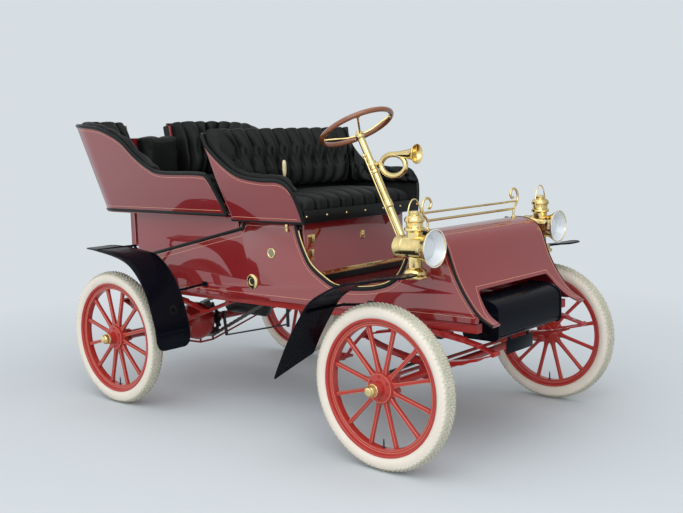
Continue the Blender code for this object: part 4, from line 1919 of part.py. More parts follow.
def build_car():
    """Build the whole car about its datum."""
    clear_scene()
    datum = bpy.data.objects.new("datum", None)
    bpy.context.collection.objects.link(datum)
    datum.location = (0.0, -MIDDLE_Y, 0.0)
    build_frame(datum)
    build_front_axle(datum)
    build_rear_axle(datum)
    build_engine(datum)
    build_chain(datum)
    build_sprockets(datum)
    build_silencer(datum)
    build_brake_rod(datum)
    build_tie_rod(datum)
    build_drag_link(datum)
    build_drop_arm(datum)
    for side_name in SIDES:
        build_spring("front", side_name, 0.0, datum)
        build_spring("rear", side_name, WHEELBASE, datum)
        knuckle = build_knuckle(side_name, datum)
        build_wheel("front", side_name, 0.0, knuckle)
        build_wheel("rear", side_name, WHEELBASE, datum)
        build_front_fender(side_name, datum)
        build_rear_fender(side_name, datum)
        build_lamp(side_name, datum)
    build_body_sides(datum)
    build_body_core(datum)
    build_rear_deck(datum)
    build_apron(datum)
    build_tank(datum)
    build_front_seat(datum)
    build_front_cushion(datum)
    build_front_back_pad(datum)
    build_tonneau_base(datum)
    build_tonneau_sides(datum)
    for name, side in SIDES.items():
        build_tonneau_cushion(name, side, datum)
        build_tonneau_pad(name, side, datum)
    build_door_pad(build_door(datum))
    build_dash_rail(datum)
    build_column(datum)
    build_steering_wheel(datum)
    build_horn(datum)
    build_hand_lever(datum)


build_car()
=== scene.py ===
"""Looks of the rear-entry tonneau car: its finishes, trim, upholstery, wheels and stage.

Stations are measured behind the front axle and heights from the ground, as in
the part's own source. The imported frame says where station 0 lies.
"""

import json
import logging
import math
from collections.abc import Callable, Iterable, Sequence
from dataclasses import dataclass, field
from enum import Enum

import bmesh
import bpy
from mathutils import Matrix, Vector

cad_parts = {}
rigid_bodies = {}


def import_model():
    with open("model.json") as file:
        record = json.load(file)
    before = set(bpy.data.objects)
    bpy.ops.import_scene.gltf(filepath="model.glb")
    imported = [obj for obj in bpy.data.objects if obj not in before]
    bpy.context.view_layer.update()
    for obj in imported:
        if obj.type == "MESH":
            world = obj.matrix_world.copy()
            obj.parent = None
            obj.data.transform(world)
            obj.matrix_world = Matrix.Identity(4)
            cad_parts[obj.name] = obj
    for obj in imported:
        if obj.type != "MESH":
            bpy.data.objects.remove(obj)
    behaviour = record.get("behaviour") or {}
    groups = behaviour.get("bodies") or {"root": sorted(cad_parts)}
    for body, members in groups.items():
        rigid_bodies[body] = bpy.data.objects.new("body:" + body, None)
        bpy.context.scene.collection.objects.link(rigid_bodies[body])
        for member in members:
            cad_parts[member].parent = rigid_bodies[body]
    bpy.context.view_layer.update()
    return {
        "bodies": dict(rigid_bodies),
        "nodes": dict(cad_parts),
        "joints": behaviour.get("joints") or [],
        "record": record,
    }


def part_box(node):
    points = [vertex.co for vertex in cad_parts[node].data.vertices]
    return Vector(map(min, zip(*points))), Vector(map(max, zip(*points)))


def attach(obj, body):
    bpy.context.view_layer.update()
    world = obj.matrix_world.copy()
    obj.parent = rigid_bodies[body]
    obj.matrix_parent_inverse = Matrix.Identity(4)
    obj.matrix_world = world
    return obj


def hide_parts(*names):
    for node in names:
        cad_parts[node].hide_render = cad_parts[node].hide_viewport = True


LOG = logging.getLogger("tonneau_car")
RIGHT = -1.0
LEFT = 1.0
SIDES = {"right": RIGHT, "left": LEFT}
X_AXIS = Vector((1.0, 0.0, 0.0))
Y_AXIS = Vector((0.0, 1.0, 0.0))
Z_AXIS = Vector((0.0, 0.0, 1.0))
LINE_WIDTH = 0.0022
LINE_DEPTH = 0.0006

Pair = tuple[float, float]
Triple = tuple[float, float, float]
Spot = Vector | Triple


class Slot(Enum):
    """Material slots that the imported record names."""

    BODY = "body_paint"
    CHASSIS = "chassis_paint"
    WHEEL = "wheel_paint"
    BLACK = "black_paint"
    IRON = "black_iron"
    CHAIN = "chain_steel"
    LEATHER = "leather"
    BRASS = "brass"
    WOOD = "wheel_wood"
    TYRE = "tyre_rubber"


# Shader tools


class Wire:
    """A shader value that takes part in Python arithmetic."""

    def __init__(self, graph: "ShaderGraph", socket: bpy.types.NodeSocket) -> None:
        """Keep the socket and the graph that it belongs to."""
        self.graph = graph
        self.socket = socket

    def _maths(self, operation: str, first: "Wire | float", second: "Wire | float") -> "Wire":
        """Add one Math node and give its result."""
        return self.graph.value("ShaderNodeMath", {"operation": operation}, {0: first, 1: second})

    def __add__(self, other: "Wire | float") -> "Wire":
        """Add a value."""
        return self._maths("ADD", self, other)

    def __radd__(self, other: float) -> "Wire":
        """Add this to a number."""
        return self._maths("ADD", other, self)

    def __sub__(self, other: "Wire | float") -> "Wire":
        """Take a value away."""
        return self._maths("SUBTRACT", self, other)

    def __rsub__(self, other: float) -> "Wire":
        """Take this away from a number."""
        return self._maths("SUBTRACT", other, self)

    def __mul__(self, other: "Wire | float") -> "Wire":
        """Multiply by a value."""
        return self._maths("MULTIPLY", self, other)

    def __rmul__(self, other: float) -> "Wire":
        """Multiply a number by this."""
        return self._maths("MULTIPLY", other, self)


class ShaderGraph:
    """A material's nodes, built up by short calls."""

    def __init__(self, name: str) -> None:
        """Start a material with a bare Principled shader."""
        self.material = bpy.data.materials.new(name)
        self.material.use_nodes = True
        self.tree = self.material.node_tree
        self.shader = self.tree.nodes["Principled BSDF"]

    def node(self, kind: str, settings: dict, inputs: dict) -> bpy.types.Node:
        """Add a node.

        Args:
            kind: Blender's name of the node's type.
            settings: Properties that are set first.
            inputs: A value or a wire for each socket's name or number.

        Returns:
            The new node.
        """
        made = self.tree.nodes.new(kind)
        for name, value in settings.items():
            setattr(made, name, value)
        for key, value in inputs.items():
            self.feed(made.inputs[key], value)
        return made

    def feed(self, socket: bpy.types.NodeSocket, value: "Wire | float | Sequence[float]") -> None:
        """Link a wire to a socket, or set the socket's own value."""
        if isinstance(value, Wire):
            self.tree.links.new(value.socket, socket)
        else:
            socket.default_value = value

    def value(self, kind: str, settings: dict, inputs: dict, output: int | str = 0) -> Wire:
        """Add a node and give one of its outputs."""
        return Wire(self, self.node(kind, settings, inputs).outputs[output])

    def place(self, stretch: Triple = (1.0, 1.0, 1.0)) -> Wire:
        """Give the object's own coordinates, stretched along the axes."""
        here = self.value("ShaderNodeTexCoord", {}, {}, "Object")
        return self.value("ShaderNodeMapping", {}, {"Vector": here, "Scale": stretch})

    def noise(self, scale: float, detail: float = 3.0, stretch: Triple = (1.0, 1.0, 1.0)) -> Wire:
        """Give cloudy noise from 0 to 1."""
        inputs = {"Vector": self.place(stretch), "Scale": scale, "Detail": detail}
        return self.value("ShaderNodeTexNoise", {}, inputs)

    def cells(self, scale: float) -> Wire:
        """Give the distance to the middles of random cells."""
        return self.value("ShaderNodeTexVoronoi", {}, {"Vector": self.place(), "Scale": scale})

    def attribute(self, name: str) -> Wire:
        """Read a value that the mesh keeps at its points."""
        return self.value("ShaderNodeAttribute", {"attribute_name": name}, {}, "Fac")

    def band(self, factor: Wire, low: float, high: float) -> Wire:
        """Give 0 below a value, 1 above another and a ramp between them."""
        return self.value("ShaderNodeMapRange", {}, {"Value": factor, 1: low, 2: high})

    def blend(self, factor: Wire, first: Triple, second: Triple) -> Wire:
        """Mix two colours."""
        inputs = {0: factor, 6: (*first, 1.0), 7: (*second, 1.0)}
        return self.value("ShaderNodeMix", {"data_type": "RGBA"}, inputs, 2)

    def bump(self, height: Wire, depth: float) -> Wire:
        """Turn a height into a normal; the depth is in metres."""
        return self.value("ShaderNodeBump", {}, {"Height": height, "Distance": depth})

    def surface(self, inputs: dict) -> bpy.types.Material:
        """Set the shader's own sockets and give the material."""
        for key, value in inputs.items():
            self.feed(self.shader.inputs[key], value)
        return self.material


def shade(colour: Triple, share: float) -> Triple:
    """Darken or lighten a colour."""
    return (colour[0] * share, colour[1] * share, colour[2] * share)


# Finishes


@dataclass(frozen=True)
class CoachPaint:
    """A brushed coach paint under clear varnish."""

    name: str
    colour: Triple
    roughness: float = 0.20
    varnish: float = 1.0
    varnish_ior: float = 1.5
    under_gloss: float = 0.10

    def material(self) -> bpy.types.Material:
        """Build the paint with faint clouds, dust and brush marks."""
        graph = ShaderGraph(self.name)
        cloud = graph.noise(2.6)
        dust = graph.noise(140.0)
        brush = graph.noise(60.0, 2.0, (1.0, 0.25, 1.0))
        return graph.surface({
            "Base Color": graph.blend(cloud, shade(self.colour, 0.92), shade(self.colour, 1.07)),
            "Roughness": dust * 0.10 + self.roughness,
            "Specular IOR Level": self.under_gloss,
            "Normal": graph.bump(brush, 0.00008),
            "Coat Weight": self.varnish,
            "Coat Roughness": 0.03,
            "Coat IOR": self.varnish_ior,
        })


@dataclass(frozen=True)
class LineGold:
    """The pale gold of the hand-drawn coach lines."""

    name: str = "line_gold"
    colour: Triple = (0.62, 0.27, 0.17)

    def material(self) -> bpy.types.Material:
        """Build the line's paint, thinner in places as a brush leaves it."""
        graph = ShaderGraph(self.name)
        stroke = graph.noise(45.0)
        return graph.surface({
            "Base Color": graph.blend(stroke, shade(self.colour, 0.85), shade(self.colour, 1.12)),
            "Roughness": stroke * 0.15 + 0.25,
        })


@dataclass(frozen=True)
class CastIron:
    """Japanned black iron, or bare steel when it is metallic."""

    name: str
    colour: Triple = (0.016, 0.015, 0.016)
    roughness: float = 0.32
    metallic: float = 0.0

    def material(self) -> bpy.types.Material:
        """Build the metal with a fine cast grain."""
        graph = ShaderGraph(self.name)
        grain = graph.noise(320.0)
        cloud = graph.noise(9.0)
        return graph.surface({
            "Base Color": graph.blend(cloud, shade(self.colour, 0.75), shade(self.colour, 1.3)),
            "Roughness": grain * 0.18 + self.roughness,
            "Metallic": self.metallic,
            "Normal": graph.bump(grain, 0.00020),
        })


@dataclass(frozen=True)
class Brass:
    """Hand-polished brass with faint tarnish."""

    name: str = "polished_brass"
    colour: Triple = (0.80, 0.64, 0.30)
    tarnish: Triple = (0.52, 0.36, 0.13)

    def material(self) -> bpy.types.Material:
        """Build the brass, a little dull where cloths don't reach."""
        graph = ShaderGraph(self.name)
        cloud = graph.band(graph.noise(14.0, 5.0), 0.52, 0.80)
        rub = graph.noise(420.0, 2.0)
        return graph.surface({
            "Base Color": graph.blend(cloud, self.colour, self.tarnish),
            "Roughness": cloud * 0.12 + rub * 0.07 + 0.09,
            "Metallic": 1.0,
            "Normal": graph.bump(rub, 0.00003),
        })


@dataclass(frozen=True)
class Leather:
    """Black hide with pebbled grain and a dull gloss on the crowns."""

    name: str = "black_hide"
    colour: Triple = (0.0050, 0.0058, 0.0056)
    worn: Triple = (0.0120, 0.0135, 0.0125)

    def material(self) -> bpy.types.Material:
        """Build the hide from cells, creases and a soft cloud of wear."""
        graph = ShaderGraph(self.name)
        pebble = graph.cells(520.0)
        crease = graph.noise(38.0, 6.0)
        wear = graph.band(graph.noise(7.0), 0.42, 0.75)
        height = pebble * 0.7 + crease * 0.9
        return graph.surface({
            "Base Color": graph.blend(wear, self.colour, self.worn),
            "Roughness": pebble * 0.14 + wear * 0.06 + 0.36,
            "Specular IOR Level": 0.16,
            "Normal": graph.bump(height, 0.00055),
        })


@dataclass(frozen=True)
class RimWood:
    """Varnished reddish hardwood."""

    name: str = "rim_wood"
    dark: Triple = (0.115, 0.030, 0.010)
    light: Triple = (0.33, 0.105, 0.035)

    def material(self) -> bpy.types.Material:
        """Build the wood with long streaks of grain."""
        graph = ShaderGraph(self.name)
        streak = graph.noise(34.0, 8.0, (0.5, 0.5, 6.0))
        pore = graph.noise(240.0, 2.0, (0.4, 0.4, 3.0))
        return graph.surface({
            "Base Color": graph.blend(streak, self.dark, self.light),
            "Roughness": pore * 0.15 + 0.22,
            "Normal": graph.bump(pore, 0.00010),
            "Coat Weight": 0.8,
            "Coat Roughness": 0.06,
        })


@dataclass(frozen=True)
class TyreRubber:
    """Off-white rubber that road dirt has greyed in its tread."""

    name: str = "white_rubber"
    clean: Triple = (0.80, 0.73, 0.64)
    aged: Triple = (0.72, 0.65, 0.54)
    dirt: Triple = (0.34, 0.35, 0.26)

    def material(self) -> bpy.types.Material:
        """Build the rubber from the mesh's own measure of how deep a point lies."""
        graph = ShaderGraph(self.name)
        cloud = graph.noise(8.0, 5.0)
        scuff = graph.noise(120.0)
        wall = graph.blend(cloud, self.clean, self.aged)
        soiled = graph.attribute("soiled") * graph.band(scuff + cloud * 0.4, 0.20, 0.95)
        inputs = {0: soiled, 6: wall, 7: (*self.dirt, 1.0)}
        return graph.surface({
            "Base Color": graph.value("ShaderNodeMix", {"data_type": "RGBA"}, inputs, 2),
            "Roughness": scuff * 0.2 + 0.52,
            "Normal": graph.bump(scuff, 0.00025),
        })


@dataclass(frozen=True)
class Enamel:
    """White vitreous enamel, or pale glass when its roughness is low."""

    name: str = "lamp_enamel"
    colour: Triple = (0.70, 0.73, 0.76)
    roughness: float = 0.12

    def material(self) -> bpy.types.Material:
        """Build the enamel with a slight ripple."""
        graph = ShaderGraph(self.name)
        ripple = graph.noise(36.0)
        return graph.surface({
            "Base Color": graph.blend(ripple, shade(self.colour, 0.94), self.colour),
            "Roughness": ripple * 0.08 + self.roughness,
            "Normal": graph.bump(ripple, 0.00012),
            "Coat Weight": 0.6,
        })


class Finishes:
    """Every finish of the car, each made once."""

    def __init__(self) -> None:
        """Build the materials."""
        self.body = CoachPaint("body_maroon", (0.225, 0.014, 0.017), varnish_ior=1.72).material()
        self.chassis = CoachPaint("chassis_red", (0.33, 0.020, 0.018), 0.24, 0.6).material()
        self.wheel = CoachPaint("wheel_red", (0.42, 0.032, 0.024), 0.24, 0.7).material()
        self.black = CoachPaint("fender_black", (0.0030, 0.0040, 0.0070), 0.22, 0.15, 1.4, 0.03).material()
        self.moulding = CoachPaint("moulding_black", (0.007, 0.008, 0.008), 0.28, 0.2, 1.4, 0.1).material()
        self.iron = CastIron("japanned_iron").material()
        self.steel = CastIron("oiled_steel", (0.16, 0.155, 0.15), 0.30, 1.0).material()
        self.gold = LineGold().material()
        self.brass = Brass().material()
        self.leather = Leather().material()
        self.wood = RimWood().material()
        self.rubber = TyreRubber().material()
        self.enamel = Enamel().material()
        self.ivory = Enamel("lever_ivory", (0.62, 0.52, 0.30), 0.25).material()
        self.badge = Enamel("badge_face", (0.22, 0.20, 0.13), 0.3).material()
        self.dark = CastIron("deep_shadow_black", (0.006, 0.006, 0.007), 0.5).material()


# Shape tools


def smooth_line(points: Iterable[Sequence[float]], steps: int) -> list[Vector]:
    """Draw a smooth line through a few points.

    Args:
        points: Knots that the line passes through.
        steps: Pieces into which each span is cut.

    Returns:
        The points of the line, its ends included.
    """
    knots = [Vector(point) for point in points]
    last = len(knots) - 1
    line = []
    for i in range(last):
        before = knots[max(i - 1, 0)]
        here = knots[i]
        after = knots[i + 1]
        beyond = knots[min(i + 2, last)]
        for step in range(steps):
            t = step / steps
            pull = (after - before) * t + (before * 2 - here * 5 + after * 4 - beyond) * t ** 2
            line.append(here + (pull + (here * 3 - before - after * 3 + beyond) * t ** 3) / 2)
    line.append(knots[last])
    return line


def value_along(line: Sequence[Sequence[float]], place: float) -> float:
    """Read a rising row of (place, value) pairs, held level past its ends."""
    if place <= line[0][0]:
        return line[0][1]
    for first, second in zip(line, line[1:]):
        if place <= second[0]:
            share = (place - first[0]) / max(second[0] - first[0], 1e-9)
            return first[1] + (second[1] - first[1]) * share
    return line[-1][1]


def round_section(radius: float, sides: int) -> list[Pair]:
    """Give the points of a round section."""
    turn = 2 * math.pi / sides
    return [(radius * math.cos(turn * i), radius * math.sin(turn * i)) for i in range(sides)]


def bar_section(width: float, height: float, sink: float = 0.0) -> list[Pair]:
    """Give the points of a flat bar that stands on a surface, sunk a little into it."""
    return [(-width / 2, -sink), (width / 2, -sink), (width / 2, height), (-width / 2, height)]


def bead_section(radius: float, sides: int = 8) -> list[Pair]:
    """Give the points of a half-round bead whose flat back lies on a surface."""
    arc = [(radius * math.cos(math.pi * i / sides), radius * math.sin(math.pi * i / sides))
           for i in range(sides + 1)]
    return arc + [(-radius, -radius / 4), (radius, -radius / 4)]


def facing_out(shape: bmesh.types.BMesh) -> bmesh.types.BMesh:
    """Close a shape's seams and turn its faces outwards."""
    bmesh.ops.remove_doubles(shape, verts=shape.verts, dist=1e-6)
    bmesh.ops.recalc_face_normals(shape, faces=shape.faces)
    if shape.calc_volume(signed=True) < 0:
        bmesh.ops.reverse_faces(shape, faces=shape.faces)
    return shape


def swept(
    path: Sequence[Spot],
    section: Sequence[Pair],
    up: Spot | Sequence[Vector] | None = None,
    scales: Sequence[Pair] | None = None,
    closed: bool = False,
) -> bmesh.types.BMesh:
    """Extrude a section from point to point along a path.

    Args:
        path: Points that the section's middle passes through.
        section: Points across and up, round the section.
        up: The section's up direction, one for all or one a point; carried along if None.
        scales: How much the section grows across and up at each point.
        closed: Join the last ring to the first.

    Returns:
        A closed shape.
    """
    points = [Vector(point) for point in path]
    count = len(points)
    frames = []
    rise = None
    for i, here in enumerate(points):
        before = points[i - 1] if (i or closed) else here
        after = points[(i + 1) % count] if (i + 1 < count or closed) else here
        along = (after - before).normalized()
        if up is None:
            guess = rise or (Z_AXIS if abs(along.z) < 0.9 else X_AXIS)
        else:
            guess = Vector(up) if isinstance(up[0], (int, float)) else up[i]
        rise = (guess - along * guess.dot(along)).normalized()
        across = along.cross(rise)
        wide, high = scales[i] if scales else (1.0, 1.0)
        frame = Matrix((across * wide, rise * high, along)).transposed().to_4x4()
        frame.translation = here
        frames.append(frame)
    shape = bmesh.new()
    ring = [shape.verts.new(frames[0] @ Vector((a, b, 0.0))) for a, b in section]
    edges = [shape.edges.new(pair) for pair in zip(ring, ring[1:] + ring[:1])]
    first_edges = edges
    for last_frame, frame in zip(frames, frames[1:]):
        made = bmesh.ops.extrude_edge_only(shape, edges=edges)["geom"]
        edges = [item for item in made if isinstance(item, bmesh.types.BMEdge)]
        verts = [item for item in made if isinstance(item, bmesh.types.BMVert)]
        bmesh.ops.transform(shape, matrix=frame @ last_frame.inverted(), verts=verts)
    if closed:
        bmesh.ops.bridge_loops(shape, edges=first_edges + edges)
    else:
        bmesh.ops.contextual_create(shape, geom=first_edges)
        bmesh.ops.contextual_create(shape, geom=edges)
    return facing_out(shape)


def tube(path: Sequence[Spot], radius: float, sides: int = 12, closed: bool = False) -> bmesh.types.BMesh:
    """Bend a round tube along a path."""
    return swept(path, round_section(radius, sides), closed=closed)


def spun(
    profile: Sequence[Pair], centre: Spot, axis: Spot, steps: int = 48, ring: bool = False
) -> bmesh.types.BMesh:
    """Spin a profile round an axis.

    Args:
        profile: Radius, and distance along the axis.
        centre: Point of the axis that distances are measured from.
        axis: Direction of the axis.
        steps: Faces round the shape.
        ring: Whether the profile is a closed loop clear of the axis.

    Returns:
        A closed shape.
    """
    along = Vector(axis).normalized()
    aside = along.orthogonal().normalized()
    middle = Vector(centre)
    points = list(profile)
    if not ring:
        points = [(0.0, points[0][1])] + points + [(0.0, points[-1][1])]
    shape = bmesh.new()
    verts = [shape.verts.new(middle + aside * radius + along * reach) for radius, reach in points]
    pairs = list(zip(verts, verts[1:])) + ([(verts[-1], verts[0])] if ring else [])
    edges = [shape.edges.new(pair) for pair in pairs]
    bmesh.ops.spin(shape, geom=verts + edges, cent=middle, axis=along, dvec=(0, 0, 0),
                   angle=2 * math.pi, steps=steps, use_merge=True)
    bmesh.ops.dissolve_degenerate(shape, edges=shape.edges, dist=1e-6)
    return facing_out(shape)


def block(low: Spot, high: Spot, chamfer: float = 0.0015) -> bmesh.types.BMesh:
    """Make a block between two corners with softened edges."""
    first = Vector(low)
    last = Vector(high)
    shape = bmesh.new()
    bmesh.ops.create_cube(shape, size=1.0)
    bmesh.ops.scale(shape, vec=last - first, verts=shape.verts)
    bmesh.ops.translate(shape, vec=(first + last) / 2, verts=shape.verts)
    bmesh.ops.bevel(shape, geom=shape.edges[:], offset=chamfer, offset_type="OFFSET", segments=2,
                    profile=0.5, affect="EDGES", clamp_overlap=True, material=-1)
    return facing_out(shape)


def aimed(shape: bmesh.types.BMesh, centre: Spot, axis: Spot) -> bmesh.types.BMesh:
    """Turn a shape's own z to an axis and move it to a point."""
    turn = Z_AXIS.rotation_difference(Vector(axis)).to_matrix().to_4x4()
    bmesh.ops.transform(shape, matrix=Matrix.Translation(Vector(centre)) @ turn, verts=shape.verts)
    return shape


def stud(centre: Spot, axis: Spot, radius: float, height: float) -> bmesh.types.BMesh:
    """Make a low round-headed stud."""
    shape = bmesh.new()
    bmesh.ops.create_uvsphere(shape, u_segments=12, v_segments=6, radius=radius)
    bmesh.ops.scale(shape, vec=(1.0, 1.0, height / radius), verts=shape.verts)
    return aimed(shape, centre, axis)


def nut(centre: Spot, axis: Spot, radius: float, height: float) -> bmesh.types.BMesh:
    """Make a hexagon nut with its bolt's end."""
    shape = bmesh.new()
    bmesh.ops.create_cone(shape, cap_ends=True, segments=6, radius1=radius, radius2=radius, depth=height)
    end = Matrix.Translation((0.0, 0.0, height * 0.75))
    bmesh.ops.create_cone(shape, cap_ends=True, segments=10, radius1=radius / 2, radius2=radius / 2.4,
                          depth=height / 2, matrix=end)
    return aimed(shape, centre, axis)


def joined(shapes: Iterable[bmesh.types.BMesh]) -> bmesh.types.BMesh:
    """Put several shapes in one, each still closed by itself."""
    whole = bmesh.new()
    for shape in shapes:
        data = bpy.data.meshes.new("piece")
        shape.to_mesh(data)
        shape.free()
        whole.from_mesh(data)
        bpy.data.meshes.remove(data)
    return whole


def ring_of(shape: bmesh.types.BMesh, count: int, centre: Spot, axis: Spot) -> bmesh.types.BMesh:
    """Repeat a shape evenly round an axis."""
    first = shape.verts[:] + shape.edges[:] + shape.faces[:]
    for i in range(1, count):
        made = bmesh.ops.duplicate(shape, geom=first)["geom"]
        turn = Matrix.Rotation(2 * math.pi * i / count, 3, Vector(axis))
        verts = [item for item in made if isinstance(item, bmesh.types.BMVert)]
        bmesh.ops.rotate(shape, cent=Vector(centre), matrix=turn, verts=verts)
    return shape


def mirrored(shape: bmesh.types.BMesh) -> bmesh.types.BMesh:
    """Turn a shape into the one for the car's other side."""
    bmesh.ops.scale(shape, vec=(-1.0, 1.0, 1.0), verts=shape.verts)
    bmesh.ops.reverse_faces(shape, faces=shape.faces)
    return shape


def for_side(shape: bmesh.types.BMesh, side: float) -> bmesh.types.BMesh:
    """Turn a shape drawn for the left side into the one for a side."""
    return shape if side == LEFT else mirrored(shape)


def wrapped(rows: int, steps: int, place: Callable[[float, float], Vector]) -> bmesh.types.BMesh:
    """Shape a flat grid into a closed skin.

    Args:
        rows: Faces along the skin.
        steps: Faces round its section.
        place: Gives a point for a share along and a share round.

    Returns:
        A closed shape.
    """
    shape = bmesh.new()
    bmesh.ops.create_grid(shape, x_segments=rows, y_segments=steps, size=0.5)
    for vert in shape.verts:
        vert.co = place(vert.co.x + 0.5, vert.co.y + 0.5)
    bmesh.ops.remove_doubles(shape, verts=shape.verts, dist=1e-6)
    bmesh.ops.holes_fill(shape, edges=[edge for edge in shape.edges if edge.is_boundary])
    return facing_out(shape)


def rounded(value: float, power: float) -> float:
    """Bend a sine or cosine so that a circle becomes a rounded square."""
    return math.copysign(abs(value) ** power, value)


class Workshop:
    """Puts finished pieces in the scene and hands them to the frame."""

    def __init__(self, frame: dict) -> None:
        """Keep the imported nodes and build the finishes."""
        self.nodes = frame["nodes"]
        self.finish = Finishes()

    def add(
        self,
        name: str,
        shape: bmesh.types.BMesh,
        material: bpy.types.Material,
        slot: Slot | None = None,
        body: str = "root",
        stands_for: Sequence[str] = (),
        crease: float = 35.0,
    ) -> bpy.types.Object:
        """Make a piece of a shape.

        Args:
            name: The piece's name.
            shape: Its closed shape, which this call frees.
            material: Its finish.
            slot: The record's slot that the finish belongs to; not used.
            body: The CAD body that it rides on.
            stands_for: Nodes that it takes the place of.
            crease: Edges that turn more than this many degrees stay sharp.

        Returns:
            The new object.
        """
        data = bpy.data.meshes.new(name)
        shape.to_mesh(data)
        shape.free()
        data.shade_smooth()
        data.set_sharp_from_angle(angle=math.radians(crease))
        item = bpy.data.objects.new(name, data)
        bpy.context.scene.collection.objects.link(item)
        data.materials.append(material)
        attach(item, body)
        if stands_for:
            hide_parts(*stands_for)
        LOG.info("%s: %d faces", name, len(data.polygons))
        return item

    def copy_of(self, node: str) -> bmesh.types.BMesh:
        """Copy a node's solid with its triangles merged into whole faces."""
        source = self.nodes[node]
        shape = bmesh.new()
        shape.from_mesh(source.data)
        bmesh.ops.transform(shape, matrix=source.matrix_world, verts=shape.verts)
        bmesh.ops.remove_doubles(shape, verts=shape.verts, dist=1e-5)
        bmesh.ops.dissolve_limit(shape, angle_limit=math.radians(0.6), verts=shape.verts,
                                 edges=shape.edges, use_dissolve_boundaries=False)
        return shape

    def dress(
        self,
        node: str,
        material: bpy.types.Material,
        slot: Slot,
        body: str = "root",
        chamfer: float = 0.0012,
        crease: float = 38.0,
    ) -> bpy.types.Object:
        """Stand a smooth, chamfered copy of a rigid node in its place.

        Args:
            node: The node.
            material: Its finish.
            slot: The record's slot that the finish belongs to; not used.
            body: The CAD body that it rides on.
            chamfer: Width of the chamfer on its sharp edges.
            crease: Edges that turn more than this many degrees stay sharp.

        Returns:
            The new object.
        """
        shape = self.copy_of(node)
        sharp = [edge for edge in shape.edges
                 if edge.is_manifold and edge.calc_face_angle(0.0) > math.radians(50.0)]
        bmesh.ops.bevel(shape, geom=sharp, offset=chamfer, offset_type="OFFSET", segments=1,
                        profile=0.5, affect="EDGES", clamp_overlap=True, material=-1)
        return self.add(f"{node}_finished", shape, material, slot, body, [node], crease)


# Places


@dataclass(frozen=True)
class Datum:
    """Places that every class measures from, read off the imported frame."""

    shift: float
    rear: float
    axle_z: float
    wheel_x: float
    rail_top: float
    body_half: float
    tyre_radius: float

    @classmethod
    def from_frame(cls) -> "Datum":
        """Read the wheels, the rails and the body's sides."""
        low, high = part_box("front_left_wheel")
        rear_low, rear_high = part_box("rear_left_wheel")
        tyre_low, tyre_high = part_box("front_left_tyre")
        engine_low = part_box("body_core")[0]
        side_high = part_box("body_left_side")[1]
        shift = (low[1] + high[1]) / 2
        return cls(
            shift=shift,
            rear=(rear_low[1] + rear_high[1]) / 2 - shift,
            axle_z=(low[2] + high[2]) / 2,
            wheel_x=(tyre_low[0] + tyre_high[0]) / 2,
            rail_top=engine_low[2],
            body_half=side_high[0],
            tyre_radius=(tyre_high[2] - tyre_low[2]) / 2,
        )

    def at(self, x: float, station: float, height: float) -> Vector:
        """Find a point by its station and its height from the ground."""
        return Vector((x, station + self.shift, height))

    def over(self, x: float, station: float, rise: float) -> Vector:
        """Find a point by its station and its height over the frame's top."""
        return self.at(x, station, self.rail_top + rise)


